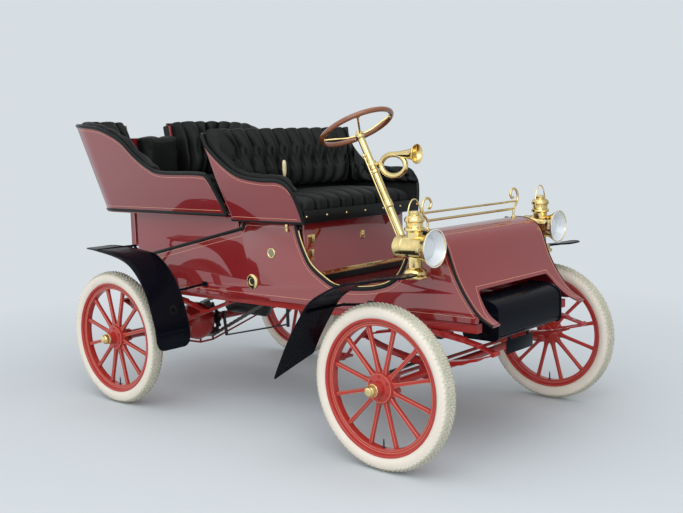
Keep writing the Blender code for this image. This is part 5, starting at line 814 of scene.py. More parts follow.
@dataclass
class FlaredShell:
    """A flared seat wall, known by its plan at some heights and its top edge.

    Attributes:
        datum: The car's own places.
        levels: Height, half width, back station and corner radius, from low to high.
        edge: Station and height along the wall's top.
        front: Station of the wall's front end.
        end_x: Half width at which the wall stops behind, 0 where it is whole.
        bottom: Height of the wall's foot.
        least_corner: Smallest radius that a corner keeps when it is set in.
        lining_rows: Faces along the hide that lines the wall.
        lining_sunk: Depth of the hide's back in the wall.
        lining_proud: Distance by which its face stands off the wall.
        lining_foot: Height of its lower edge over the wall's.
        lining_drop: Distance of its upper edge under the wall's.
    """

    datum: Datum
    levels: tuple[tuple[float, float, float, float], ...]
    edge: list[Vector]
    front: float
    end_x: float
    bottom: float
    least_corner: float = 0.006
    lining_rows: int = 120
    lining_sunk: float = 0.001
    lining_proud: float = 0.0007
    lining_foot: float = 0.016
    lining_drop: float = 0.003

    def plan(self, height: float) -> tuple[float, float, float]:
        """Read the half width, back and corner radius at a height."""
        wide, back, corner = (value_along([(row[0], row[k]) for row in self.levels], height)
                              for k in (1, 2, 3))
        return wide, back, corner

    def lengths(self) -> Triple:
        """Give the lengths of the side, the corner and the back seen from above, for one side."""
        wide, back, corner = self.plan(self.levels[1][0])
        return back - corner - self.front, math.pi / 2 * corner, wide - corner - self.end_x

    def shares(self) -> Pair:
        """Give the shares of the wall's length at which its corner starts and ends."""
        straight, arc, _ = self.lengths()
        whole = sum(self.lengths())
        return straight / whole, (straight + arc) / whole

    def spot(
        self, share: float, height: float, side_in: float = 0.0, back_in: float = 0.0
    ) -> tuple[Vector, Vector]:
        """Find a point of the left wall.

        Args:
            share: Place along the wall, from its front end to its back end.
            height: Height from the ground.
            side_in: Distance in from the wall's side.
            back_in: Distance in from its back.

        Returns:
            The point, and the direction seen from above that faces out.
        """
        wide, back, own = self.plan(height)
        radius = max(own - (side_in + back_in) / 2, self.least_corner)
        x = wide - side_in
        y = back - back_in
        first, second = self.shares()
        if share <= first:
            station = self.front + (y - radius - self.front) * share / first
            return self.datum.at(x, station, height), Vector((1.0, 0.0, 0.0))
        if share <= second:
            angle = math.pi / 2 * (share - first) / (second - first)
            out = Vector((math.cos(angle), math.sin(angle), 0.0))
            middle = self.datum.at(x - radius, y - radius, height)
            return middle + out * radius, out
        reach = (share - second) / (1.0 - second)
        across = x - radius + (self.end_x - x + radius) * reach
        return self.datum.at(across, y, height), Vector((0.0, 1.0, 0.0))

    def top(self, share: float, drop: float = 0.0) -> float:
        """Find the edge's height at a share of the wall's length."""
        height = self.levels[-1][0]
        for _ in range(3):
            station = self.spot(share, height)[0].y - self.datum.shift
            height = value_along([(knot.x, knot.y) for knot in self.edge], station) - drop
        return height

    def skin(
        self, rows: int, outer: float, inner: float, foot: float = 0.0, drop: float = 0.0
    ) -> bmesh.types.BMesh:
        """Build a sheet that follows the left wall.

        Args:
            rows: Faces along it.
            outer: Depth of its outer face in from the wall's outside.
            inner: Depth of its inner face.
            foot: Height of its lower edge over the wall's.
            drop: Distance of its upper edge under the wall's.

        Returns:
            A closed shape.
        """
        low = self.bottom + foot

        def place(along: float, around: float) -> Vector:
            """Run up the outside, over the edge and down the inside."""
            top = max(self.top(along) - drop, low + 0.001)
            depth = outer
            rise = min(around / 0.45, 1.0)
            if around >= 0.475:
                depth = inner
                rise = max(min((0.95 - around) / 0.45, 1.0), 0.0)
            if around >= 0.975:
                depth = outer
            return self.spot(along, low + (top - low) * rise, depth, depth)[0]

        return wrapped(rows, 20, place)

    def lining(self, wall: float) -> bmesh.types.BMesh:
        """Build the hide inside a wall of this thickness, on both sides of the car."""
        sheets = []
        for side in (RIGHT, LEFT):
            sheet = self.skin(self.lining_rows, wall - self.lining_sunk, wall + self.lining_proud,
                              self.lining_foot, self.lining_drop)
            sheets.append(for_side(sheet, side))
        return joined(sheets)

    def trace(self, shares: Sequence[float], drop: float, out: float) -> tuple[list[Vector], list[Vector]]:
        """Follow the top edge at a distance below it, standing off the wall."""
        points = []
        outward = []
        for share in shares:
            height = max(self.top(share, drop), self.bottom + drop)
            point, normal = self.spot(share, height)
            points.append(point + normal * out)
            outward.append(normal)
        return points, outward

    def level(self, shares: Sequence[float], rise: float, out: float) -> tuple[list[Vector], list[Vector]]:
        """Follow the bottom edge at a distance over it, standing off the wall."""
        found = [self.spot(share, self.bottom + rise) for share in shares]
        return [point + normal * out for point, normal in found], [normal for _, normal in found]


def spaced(start: float, end: float, count: int) -> list[float]:
    """Divide a span evenly, its ends included."""
    return [start + (end - start) * i / count for i in range(count + 1)]


# Wheels


@dataclass
class Wheels:
    """Four wooden wheels with their pneumatic tyres."""

    shop: Workshop
    datum: Datum
    spokes: int = 12
    flange_face: float = 0.0225
    bolts: int = 6
    bolt_circle: float = 0.050
    knobs: int = 92
    knob_rows: tuple[Triple, ...] = (
        (0.0, 0.5, 0.3515), (0.0085, 0.0, 0.3510), (0.0165, 0.5, 0.3485), (0.0240, 0.0, 0.3435),
        (0.0300, 0.5, 0.3375))
    soil_start: float = 0.3385
    soil_span: float = 0.009
    crown_start: float = 0.3570
    crown_span: float = 0.0025
    crown_wear: float = 0.55
    line_width: float = 0.0016
    line_rings: tuple[Pair, ...] = ((0.2672, 0.0172), (0.2768, 0.0172), (0.0605, 0.0246))
    spoke_stations: tuple[Triple, ...] = (
        (0.050, 0.0155, 0.0125), (0.066, 0.0150, 0.0125), (0.082, 0.0100, 0.0120), (0.105, 0.0088, 0.0110),
        (0.180, 0.0086, 0.0098), (0.240, 0.0092, 0.0098), (0.252, 0.0104, 0.0104), (0.270, 0.0104, 0.0104))
    rim_profile: tuple[Pair, ...] = (
        (0.2622, -0.0150), (0.2622, 0.0150), (0.2645, 0.0172), (0.2790, 0.0172), (0.2815, 0.0190),
        (0.2825, 0.0250), (0.2845, 0.0300), (0.2890, 0.0330), (0.2940, 0.0326), (0.2958, 0.0305),
        (0.2945, 0.0290), (0.2900, 0.0285), (0.2896, 0.0260), (0.2896, -0.0260), (0.2900, -0.0285),
        (0.2945, -0.0290), (0.2958, -0.0305), (0.2940, -0.0326), (0.2890, -0.0330), (0.2845, -0.0300),
        (0.2825, -0.0250), (0.2815, -0.0190), (0.2790, -0.0172), (0.2645, -0.0172))
    hub_profile: tuple[Pair, ...] = (
        (0.033, -0.0460), (0.035, -0.0430), (0.035, -0.0290), (0.060, -0.0245), (0.064, -0.0225),
        (0.064, 0.0225), (0.0625, 0.0245), (0.0400, 0.0262), (0.0345, 0.0300), (0.0318, 0.0420),
        (0.0300, 0.0600), (0.0290, 0.0625), (0.0250, 0.0640))
    cap_profile: tuple[Pair, ...] = (
        (0.0262, 0.0600), (0.0275, 0.0620), (0.0275, 0.0680), (0.0245, 0.0700), (0.0240, 0.0800),
        (0.0225, 0.0880), (0.0195, 0.0925), (0.0185, 0.0940), (0.0180, 0.0975), (0.0130, 0.0992))
    tyre_line: tuple[Pair, ...] = (
        (0.2905, 0.0262), (0.2975, 0.0300), (0.3060, 0.0350), (0.3170, 0.0378), (0.3290, 0.0372),
        (0.3400, 0.0330), (0.3480, 0.0262), (0.3530, 0.0170), (0.3552, 0.0080), (0.3556, 0.0))

    def build(self) -> None:
        """Build every wheel."""
        for side_name, side in SIDES.items():
            self.build_one("front", side_name, side, 0.0, f"front_{side_name}_wheel")
            self.build_one("rear", side_name, side, self.datum.rear, f"rear_{side_name}_wheel")

    def build_one(self, end: str, side_name: str, side: float, station: float, body: str) -> None:
        """Build one wheel's rubber, wood, ironwork and gold lines."""
        centre = self.datum.at(side * self.datum.wheel_x, station, self.datum.axle_z)
        name = f"{end}_{side_name}"
        shop = self.shop
        parts = (
            ("wheel_wood", self.wood(), shop.finish.wheel, Slot.WHEEL, [f"{name}_wheel"]),
            ("wheel_bolts", self.bolt_heads(), shop.finish.wheel, Slot.WHEEL, []),
            ("hub_cap", self.cap(), shop.finish.brass, Slot.BRASS, []),
            ("wheel_lines", self.lines(), shop.finish.gold, None, []),
            ("tyre_valve", self.valve(), shop.finish.iron, Slot.IRON, []),
        )
        for part, shape, material, slot, stands_for in parts:
            shape = for_side(shape, side)
            bmesh.ops.translate(shape, vec=centre, verts=shape.verts)
            shop.add(f"{name}_{part}", shape, material, slot, body, stands_for, 40.0)
        shape = self.tyre()
        bmesh.ops.translate(shape, vec=centre, verts=shape.verts)
        tyre = shop.add(f"{name}_tyre_dressed", shape, shop.finish.rubber, Slot.TYRE, body,
                        [f"{name}_tyre"], 50.0)
        self.soil(tyre, centre)

    def soil(self, tyre: bpy.types.Object, centre: Vector) -> None:
        """Write how dirty each point of a tyre is: its wall is clean and its tread is not."""
        soiled = tyre.data.attributes.new("soiled", "FLOAT", "POINT")
        for vert, item in zip(tyre.data.vertices, soiled.data):
            out = vert.co - centre
            radius = math.hypot(out.y, out.z)
            depth = max(0.0, min(1.0, (radius - self.soil_start) / self.soil_span))
            crown = max(0.0, min(1.0, (radius - self.crown_start) / self.crown_span))
            item.value = depth * (1.0 - self.crown_wear * crown)

    def wood(self) -> bmesh.types.BMesh:
        """Build the felloe with its steel rim, the spokes and the nave."""
        rim = spun(self.rim_profile, (0, 0, 0), X_AXIS, 112, ring=True)
        base = self.spoke_stations
        path = [(0.0, 0.0, reach) for reach, _, _ in base]
        scales = [(wide, deep) for _, wide, deep in base]
        spoke = swept(path, self.spoke_section(), up=X_AXIS, scales=scales)
        bmesh.ops.rotate(spoke, cent=(0, 0, 0), matrix=Matrix.Rotation(math.pi / self.spokes, 3, "X"),
                         verts=spoke.verts)
        spokes = ring_of(spoke, self.spokes, (0, 0, 0), X_AXIS)
        hub = spun(self.hub_profile, (0, 0, 0), X_AXIS, 40)
        return joined([rim, spokes, hub])

    def spoke_section(self) -> list[Pair]:
        """Give a spoke's section: an oval with a chamfered outer face."""
        return [(0.55, 1.0), (0.85, 0.72), (1.0, 0.25), (1.0, -0.35), (0.8, -0.8), (0.4, -1.0),
                (-0.4, -1.0), (-0.8, -0.8), (-1.0, -0.35), (-1.0, 0.25), (-0.85, 0.72), (-0.55, 1.0)]

    def bolt_heads(self) -> bmesh.types.BMesh:
        """Build the bolts through the nave's flanges."""
        heads = nut((self.flange_face + 0.0035, 0.0, self.bolt_circle), X_AXIS, 0.0058, 0.0045)
        return ring_of(heads, self.bolts, (0, 0, 0), X_AXIS)

    def cap(self) -> bmesh.types.BMesh:
        """Build the brass hub cap with its knurled ring."""
        cap = spun(self.cap_profile, (0, 0, 0), X_AXIS, 36)
        tooth = block((0.0702, -0.0012, 0.0232), (0.0830, 0.0012, 0.0262), 0.0004)
        return joined([cap, ring_of(tooth, 28, (0, 0, 0), X_AXIS)])

    def valve(self) -> bmesh.types.BMesh:
        """Build the valve that stands in from the rim between two spokes."""
        return joined([tube([(0.0, 0.0, -0.2630), (0.0, 0.0, -0.2350)], 0.0036, 10),
                       tube([(0.0, 0.0, -0.2360), (0.0, 0.0, -0.2240)], 0.0028, 10),
                       nut((0.0, 0.0, -0.2600), Z_AXIS, 0.0068, 0.004)])

    def lines(self) -> bmesh.types.BMesh:
        """Build the gold lines of the felloe, the rim, the spokes and the nave."""
        shapes = []
        wide = self.line_width
        for radius, face in self.line_rings:
            shapes.append(spun([(radius, face - 0.0003), (radius, face + 0.0004),
                                (radius + wide, face + 0.0004), (radius + wide, face - 0.0003)],
                               (0, 0, 0), X_AXIS, 112, ring=True))
        pair = []
        rows = [row for row in self.spoke_stations if 0.06 < row[0] < 0.26]
        for sign in (-1.0, 1.0):
            path = [(deep * 0.87 + 0.0004, sign * across * 0.72, reach) for reach, across, deep in rows]
            pair.append(swept(path, bar_section(wide, 0.0005, 0.0005), up=Vector((1.0, sign * 0.9, 0.0))))
        spoke = joined(pair)
        bmesh.ops.rotate(spoke, cent=(0, 0, 0), matrix=Matrix.Rotation(math.pi / self.spokes, 3, "X"),
                         verts=spoke.verts)
        shapes.append(ring_of(spoke, self.spokes, (0, 0, 0), X_AXIS))
        return joined(shapes)

    def tyre(self) -> bmesh.types.BMesh:
        """Build the tyre: a smooth wall, and rows of small knobs on its tread."""
        half = smooth_line([(radius, reach, 0.0) for radius, reach in self.tyre_line], 3)
        outer = [(point.x, point.y) for point in half]
        profile = outer + [(radius, -reach) for radius, reach in reversed(outer[:-1])]
        wall = spun(profile, (0, 0, 0), X_AXIS, 128, ring=True)
        top = self.datum.tyre_radius - 0.0006
        knobs = []
        for reach, phase, root in self.knob_rows:
            for side in ((1.0,) if reach == 0.0 else (1.0, -1.0)):
                lean = Vector((side * reach * 18.0, 0.0, 1.0)).normalized()
                height = min(0.0078, (top - root) if reach < 0.02 else 0.0068)
                knob = bmesh.new()
                bmesh.ops.create_cone(knob, cap_ends=True, segments=4, radius1=0.0070, radius2=0.0042,
                                      depth=height)
                aimed(knob, Vector((side * reach, 0.0, root)) + lean * height / 2, lean)
                turn = Matrix.Rotation(2 * math.pi * phase / self.knobs, 3, "X")
                bmesh.ops.rotate(knob, cent=(0, 0, 0), matrix=turn, verts=knob.verts)
                knobs.append(knob)
        tread = ring_of(joined(knobs), self.knobs, (0, 0, 0), X_AXIS)
        return joined([wall, tread])


# Upholstery


@dataclass
class Tufting:
    """How a padded back is drawn in: pipes, a band of diamonds and pipes again."""

    pitch: float
    upper: float
    lower: float
    depth: float
    phase: float = 0.0

    def crown(self, along: float, rise: float) -> float:
        """Give how full the padding is, from 0 in a fold to 1 on a crown.

        Args:
            along: Distance along the padding in metres.
            rise: Share of the padding's height.

        Returns:
            The fullness.
        """
        place = along / self.pitch + self.phase
        drift = max(0.0, min(1.0, (self.upper - rise) / max(self.upper - self.lower, 1e-6)))
        if self.upper <= self.lower:
            drift = 0.0
        fold = abs(math.sin(math.pi * (place - drift / 2)) * math.sin(math.pi * (place + drift / 2)))
        return fold ** 0.34

    def dip(self, along: float, rise: float, height: float) -> float:
        """Give how deep the nearest button pulls the padding in, from 0 to 1."""
        place = along / self.pitch + self.phase
        deepest = 0.0
        for row, offset in ((self.upper, 0.0), (self.lower, 0.5)):
            across = (place - offset - round(place - offset)) * self.pitch
            gap = math.hypot(across, (rise - row) * height)
            deepest = max(deepest, math.exp(-(gap / 0.016) ** 2))
        return deepest


@dataclass
class PadRoom:
    """The room that a padded back fills, between its wall and its own softer inner corner.

    Attributes:
        shell: The wall's plan, drawn with the padding's corner radius.
        corners: Height and the wall's own corner radius, from low to high.
        wall: Distance in from the wall's outside, at the side and at the back.
        arm: Thickness along the side.
        back: Thickness along the back.
    """

    shell: FlaredShell
    corners: tuple[Pair, ...]
    wall: Pair
    arm: float
    back: float

    def point(self, share: float, height: float, fill: float) -> Vector:
        """Find a point between the wall, at 0, and the padding's full face, at 1."""
        shell = self.shell
        first, second = shell.shares()
        turn = max(0.0, min(1.0, (share - first * 0.8) / (second - first * 0.8)))
        deep = self.arm + (self.back - self.arm) * turn * turn * (3 - 2 * turn)
        side_wall, back_wall = self.wall
        face, out = shell.spot(share, height, side_wall + deep, back_wall + deep)
        wide, back, _ = shell.plan(height)
        reach = []
        if out.x > 1e-3:
            reach.append((wide - side_wall - face.x) / out.x)
        if out.y > 1e-3:
            reach.append((back - back_wall + shell.datum.shift - face.y) / out.y)
        gap = min(reach)
        corner = max(value_along(self.corners, height) - (side_wall + back_wall) / 2, 0.001)
        middle = shell.datum.at(wide - side_wall - corner, back - back_wall - corner, height)
        hit = face + out * gap
        if hit.x > middle.x and hit.y > middle.y:
            aside = face - middle
            along = aside.dot(out)
            gap = math.sqrt(max(along * along - aside.length_squared + corner * corner, 0.0)) - along
        return face + out * max(gap, 0.0) * (1.0 - fill)

    def top(self, share: float) -> float:
        """Find the padding's height where it meets the wall."""
        height = self.shell.levels[-1][0]
        for _ in range(3):
            out = self.shell.spot(share, height)[1]
            station = self.point(share, height, 0.0).y - self.shell.datum.shift + self.wall[1] * out.y
            height = value_along([(knot.x, knot.y) for knot in self.shell.edge], station)
        return height


@dataclass
class Upholstery:
    """Tools that make cushions and padded backs of black hide."""

    shop: Workshop
    shrunk: float = 0.985
    voxel: float = 0.006
    frames: int = 20

    def padding(self, room: PadRoom, tufting: Tufting, whole: bool, rows: int) -> bmesh.types.BMesh:
        """Build the padding inside a flared wall.

        Args:
            room: The room that it fills.
            tufting: How its face is drawn in.
            whole: Whether it runs right round, over both sides.
            rows: Faces along the padding.

        Returns:
            A closed shape, for the left side unless it is whole.
        """
        shell = room.shell
        length = sum(shell.lengths())

        def place(along: float, around: float) -> Vector:
            """Run round the section at a share of the padding's length."""
            if whole:
                side = RIGHT if along < 0.5 else LEFT
                share = 1.0 - abs(along * 2.0 - 1.0)
                reach = side * (1.0 - share) * length
                edge = share / 0.04
            else:
                side = LEFT
                share = along
                reach = share * length
                edge = min(along, 1.0 - along) / 0.05
            ends = 1.0 if edge > 1.0 else (1.0 - (1.0 - edge) ** 2.4) ** 0.5
            top = room.top(share)
            angle = 2 * math.pi * around
            out = 0.5 + 0.5 * rounded(math.cos(angle), 0.62)
            rise = 0.5 + 0.5 * rounded(math.sin(angle), 0.50)
            face = max(0.0, min(1.0, out * 1.8 - 0.5))
            height = max(top - shell.bottom, 0.012)
            crown = tufting.crown(reach, rise)
            dip = tufting.dip(reach, rise, height)
            swell = 0.74 + 0.26 * math.sin(math.pi * min(1.0, rise * 1.05)) ** 0.6
            full = (1.0 - tufting.depth * face * (1.0 - crown)) * swell - 0.20 * face * dip
            lift = 1.0 - 0.035 * (1.0 - crown) * max(0.0, rise * 2 - 1.2)
            z = shell.bottom + height * (0.5 + (rise - 0.5) * (0.80 + 0.20 * ends)) * lift
            point = room.point(share, z, max(full, 0.15) * out * ends)
            if side == RIGHT:
                point.x = -point.x
            return point

        return wrapped(rows, 56, place)

    def buttons(self, room: PadRoom, tufting: Tufting) -> bmesh.types.BMesh:
        """Build the covered buttons of a tufted back, on both sides."""
        shell = room.shell
        length = sum(shell.lengths())
        shapes = []
        for row, offset in ((tufting.upper, 0.0), (tufting.lower, 0.5)):
            for i in range(-14, 15):
                reach = (i + offset - tufting.phase) * tufting.pitch
                share = 1.0 - abs(reach) / length
                height = shell.bottom + (room.top(max(share, 0.0)) - shell.bottom) * row
                if share < 0.10 or room.top(share) < shell.bottom + 0.14:
                    continue
                point = room.point(share, height, 0.56)
                out = shell.spot(share, height)[1]
                if reach < 0:
                    point.x = -point.x
                    out = Vector((-out.x, out.y, out.z))
                shapes.append(stud(point, -out, 0.0085, 0.005))
        return joined(shapes)

    def cushion(
        self, low: Vector, high: Vector, channels: Sequence[float], crown: float, depth: float
    ) -> bmesh.types.BMesh:
        """Build a crowned cushion whose top and front are sewn in channels.

        Args:
            low: Lowest corner of the room that it fills.
            high: Highest corner.
            channels: Places across of the sewn seams.
            crown: How much fuller its middle is.
            depth: How deep the seams pull in, as a share.

        Returns:
            A closed shape.
        """
        middle = (low + high) / 2
        half = (high - low) / 2

        def place(along: float, around: float) -> Vector:
            """Run round the cushion's section at a share of its width."""
            share = math.sin(math.pi / 2 * (2 * along - 1))
            x = middle.x + half.x * share
            ends = (1.0 - abs(share) ** 14) ** 0.35 if abs(share) < 1.0 else 0.0
            angle = 2 * math.pi * around
            ahead = rounded(math.cos(angle), 0.36)
            rise = rounded(math.sin(angle), 0.42)
            seam = max(math.exp(-abs((x - place_x) / 0.010) ** 1.5) for place_x in channels)
            shown = max(0.0, min(1.0, 0.5 + rise - ahead))
            pull = 1.0 - depth * seam * shown
            y = middle.y + half.y * ahead * (0.90 + 0.10 * ends) * (1.0 - 0.5 * depth * seam * (ahead < 0))
            swell = crown * (1.0 - share * share) * (1.0 - ahead * ahead) * max(rise, 0.0)
            z = low.z + (half.z - crown / 2) * (1.0 + rise * pull) * (0.25 + 0.75 * ends) + swell
            return Vector((x, y, z))

        return wrapped(220, 56, place)

    def puffed(self, node: str, name: str, body: str, limit: float, pressure: float) -> bpy.types.Object:
        """Blow a plain pad up into a soft one, with its CAD solid as the start.

        Args:
            node: The plain solid.
            name: The new piece's name.
            body: The CAD body that it rides on.
            limit: Most that a point may move, in metres.
            pressure: Pressure of the cloth's filling.

        Returns:
            The pad.
        """
        shape = self.shop.copy_of(node)
        bmesh.ops.recalc_face_normals(shape, faces=shape.faces)
        middle = sum((vert.co for vert in shape.verts), Vector()) / len(shape.verts)
        bmesh.ops.scale(shape, vec=(self.shrunk,) * 3, space=Matrix.Translation(-middle), verts=shape.verts)
        pad = self.shop.add(name, shape, self.shop.finish.leather, Slot.LEATHER, body, [node], 80.0)
        remesh = pad.modifiers.new("even", "REMESH")
        remesh.mode = "VOXEL"
        remesh.voxel_size = self.voxel
        self.bake(pad)
        self.relax(pad, 6)
        start = [vert.co.copy() for vert in pad.data.vertices]
        cloth = pad.modifiers.new("fill", "CLOTH")
        settings = cloth.settings
        settings.use_pressure = True
        settings.uniform_pressure_force = pressure
        settings.effector_weights.gravity = 0.0
        cloth.point_cache.frame_start = 1
        cloth.point_cache.frame_end = self.frames
        for step in range(1, self.frames + 1):
            bpy.context.scene.frame_set(step)
        self.bake(pad)
        for vert, first in zip(pad.data.vertices, start):
            moved = vert.co - first
            if moved.length > limit:
                vert.co = first + moved * (limit / moved.length)
        bpy.context.scene.frame_set(1)
        self.relax(pad, 3)
        pad.data.shade_smooth()
        if not pad.data.materials:
            pad.data.materials.append(self.shop.finish.leather)
        return pad

    def bake(self, item: bpy.types.Object) -> None:
        """Make a piece's modified shape its own, and drop the modifiers."""
        view = bpy.context.evaluated_depsgraph_get()
        data = bpy.data.meshes.new_from_object(item.evaluated_get(view))
        item.modifiers.clear()
        item.data = data

    def relax(self, item: bpy.types.Object, times: int) -> None:
        """Smooth a piece's points a few times."""
        shape = bmesh.new()
        shape.from_mesh(item.data)
        for _ in range(times):
            bmesh.ops.smooth_vert(shape, verts=shape.verts, factor=0.5, use_axis_x=True, use_axis_y=True,
                                  use_axis_z=True)
        shape.to_mesh(item.data)
        shape.free()


@dataclass
class FrontSeat:
    """The front seat: flared body, studded rail, tufted back and channelled cushion."""

    shop: Workshop
    datum: Datum
    wall: float = 0.014
    front: float = 0.667
    base: float = 0.995
    board_half: float = 0.449
    board_front: float = 0.661
    board_rear: float = 1.161
    board_middle: float = 1.001
    board_top: float = 1.009
    pad_bottom: float = 1.151
    pad_over: float = 0.029
    pad_skin: float = 0.0148
    arm: float = 0.050
    back: float = 0.104
    soft_corner: float = 0.135
    moulding: float = 0.0105
    rail_low: Triple = (-0.453, 0.657, 0.996)
    rail_high: Triple = (0.453, 0.671, 1.057)
    rail_studs: int = 7
    stud_reach: float = 0.44
    stud_height: float = 1.030
    levels: tuple[tuple[float, float, float, float], ...] = (
        (0.995, 0.455, 1.167, 0.022), (1.205, 0.522, 1.2107, 0.022), (1.432, 0.572, 1.258, 0.022))
    edge: tuple[Pair, ...] = (
        (0.667, 0.0), (0.672, 0.055), (0.698, 0.155), (0.760, 0.205), (0.900, 0.211), (1.040, 0.234),
        (1.150, 0.301), (1.236, 0.390), (1.250, 0.437))
    tufting: Tufting = field(default_factory=lambda: Tufting(0.088, 0.62, 0.40, 0.62))
    stripe_inset: float = 0.022
    stripe_start: float = 0.035
    channels: int = 9
    cushion_crown: float = 0.026
    seam_depth: float = 0.42

    def edge_line(self) -> list[Vector]:
        """Draw the wall's top edge: station and height."""
        return smooth_line([(y, self.base + rise, 0.0) for y, rise in self.edge], 6)

    def shell(self) -> FlaredShell:
        """Give the painted wall."""
        return FlaredShell(self.datum, self.levels, self.edge_line(), self.front, 0.0, self.base)

    def pad_shell(self) -> FlaredShell:
        """Give the wall that the padding follows: its edge stands over the painted one."""
        edge = [point + Vector((0.0, self.pad_over, 0.0)) for point in self.edge_line()]
        edge = [point for point in edge if point.y > self.pad_bottom]
        levels = tuple((z, wide, back, self.soft_corner) for z, wide, back, _ in self.levels)
        return FlaredShell(self.datum, levels, edge, edge[0].x - 0.006, 0.0, self.pad_bottom)

    def build(self, upholstery: Upholstery) -> None:
        """Build the seat."""
        self.build_body()
        self.build_lines()
        self.build_upholstery(upholstery)

    def build_body(self) -> None:
        """Build the flared wall, the board under it and the studded front rail."""
        at = self.datum.at
        left = self.shell().skin(150, 0.0, self.wall)
        right = mirrored(self.shell().skin(150, 0.0, self.wall))
        board = block(at(-self.board_half, self.board_front, self.base),
                      at(self.board_half, self.board_rear, self.board_top), 0.003)
        shape = joined([left, right, board])
        self.shop.add("front_seat_walls", shape, self.shop.finish.body, Slot.BODY, "root",
                      ["front_seat_body"], 50.0)
        rail = block(at(*self.rail_low), at(*self.rail_high), 0.003)
        self.shop.add("front_seat_rail", rail, self.shop.finish.moulding, Slot.BLACK)
        step = 2 * self.stud_reach / (self.rail_studs - 1)
        studs = [stud(at(-self.stud_reach + step * i, self.rail_low[1], self.stud_height), -Y_AXIS,
                      0.0055, 0.0035) for i in range(self.rail_studs)]
        self.shop.add("front_seat_rail_studs", joined(studs), self.shop.finish.brass, Slot.BRASS)
        beads = []
        shell = self.shell()
        for side in (RIGHT, LEFT):
            points, _ = shell.trace(spaced(0.0, 1.0, 130), 0.0, -self.wall / 2)
            beads.append(for_side(tube(points, self.moulding, 12), side))
            foot = [at(self.board_half, self.board_front, self.board_middle),
                    at(self.board_half, self.board_rear, self.board_middle),
                    at(0.0, self.board_rear, self.board_middle)]
            beads.append(for_side(tube(foot, self.moulding, 12), side))
        self.shop.add("front_seat_mouldings", joined(beads), self.shop.finish.moulding, Slot.BLACK)
        self.shop.add("front_seat_lining", shell.lining(self.wall), self.shop.finish.leather, Slot.LEATHER)

    def build_lines(self) -> None:
        """Draw the gold line round each side of the seat."""
        shell = self.shell()
        lines = []
        bar = bar_section(LINE_WIDTH, LINE_DEPTH, LINE_DEPTH)
        for side in (RIGHT, LEFT):
            upper, out = shell.trace(spaced(self.stripe_start, 1.0, 150), self.stripe_inset, 0.0)
            lines.append(for_side(swept(upper, bar, up=out), side))
            lower, out = shell.level(spaced(self.stripe_start, 1.0, 60), self.stripe_inset, 0.0)
            lines.append(for_side(swept(lower, bar, up=out), side))
        self.shop.add("front_seat_lines", joined(lines), self.shop.finish.gold)

    def build_upholstery(self, upholstery: Upholstery) -> None:
        """Build the tufted back with its buttons, and the cushion."""
        corners = tuple((row[0], row[3]) for row in self.levels)
        room = PadRoom(self.pad_shell(), corners, (self.pad_skin, self.pad_skin), self.arm, self.back)
        pad = upholstery.padding(room, self.tufting, True, 560)
        item = self.shop.add("front_seat_tufted_back", pad, self.shop.finish.leather, Slot.LEATHER, "root",
                             ["front_seat_back_pad"], 80.0)
        buttons = upholstery.buttons(room, self.tufting)
        self.shop.add("front_seat_buttons", buttons, self.shop.finish.leather, Slot.LEATHER)
        low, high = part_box("front_seat_cushion")
        seams = [low.x + (high.x - low.x) * i / self.channels for i in range(1, self.channels)]
        cushion = upholstery.cushion(low, high, seams, self.cushion_crown, self.seam_depth)
        item = self.shop.add("front_seat_channelled_cushion", cushion, self.shop.finish.leather,
                             Slot.LEATHER, "root", ["front_seat_cushion"], 80.0)


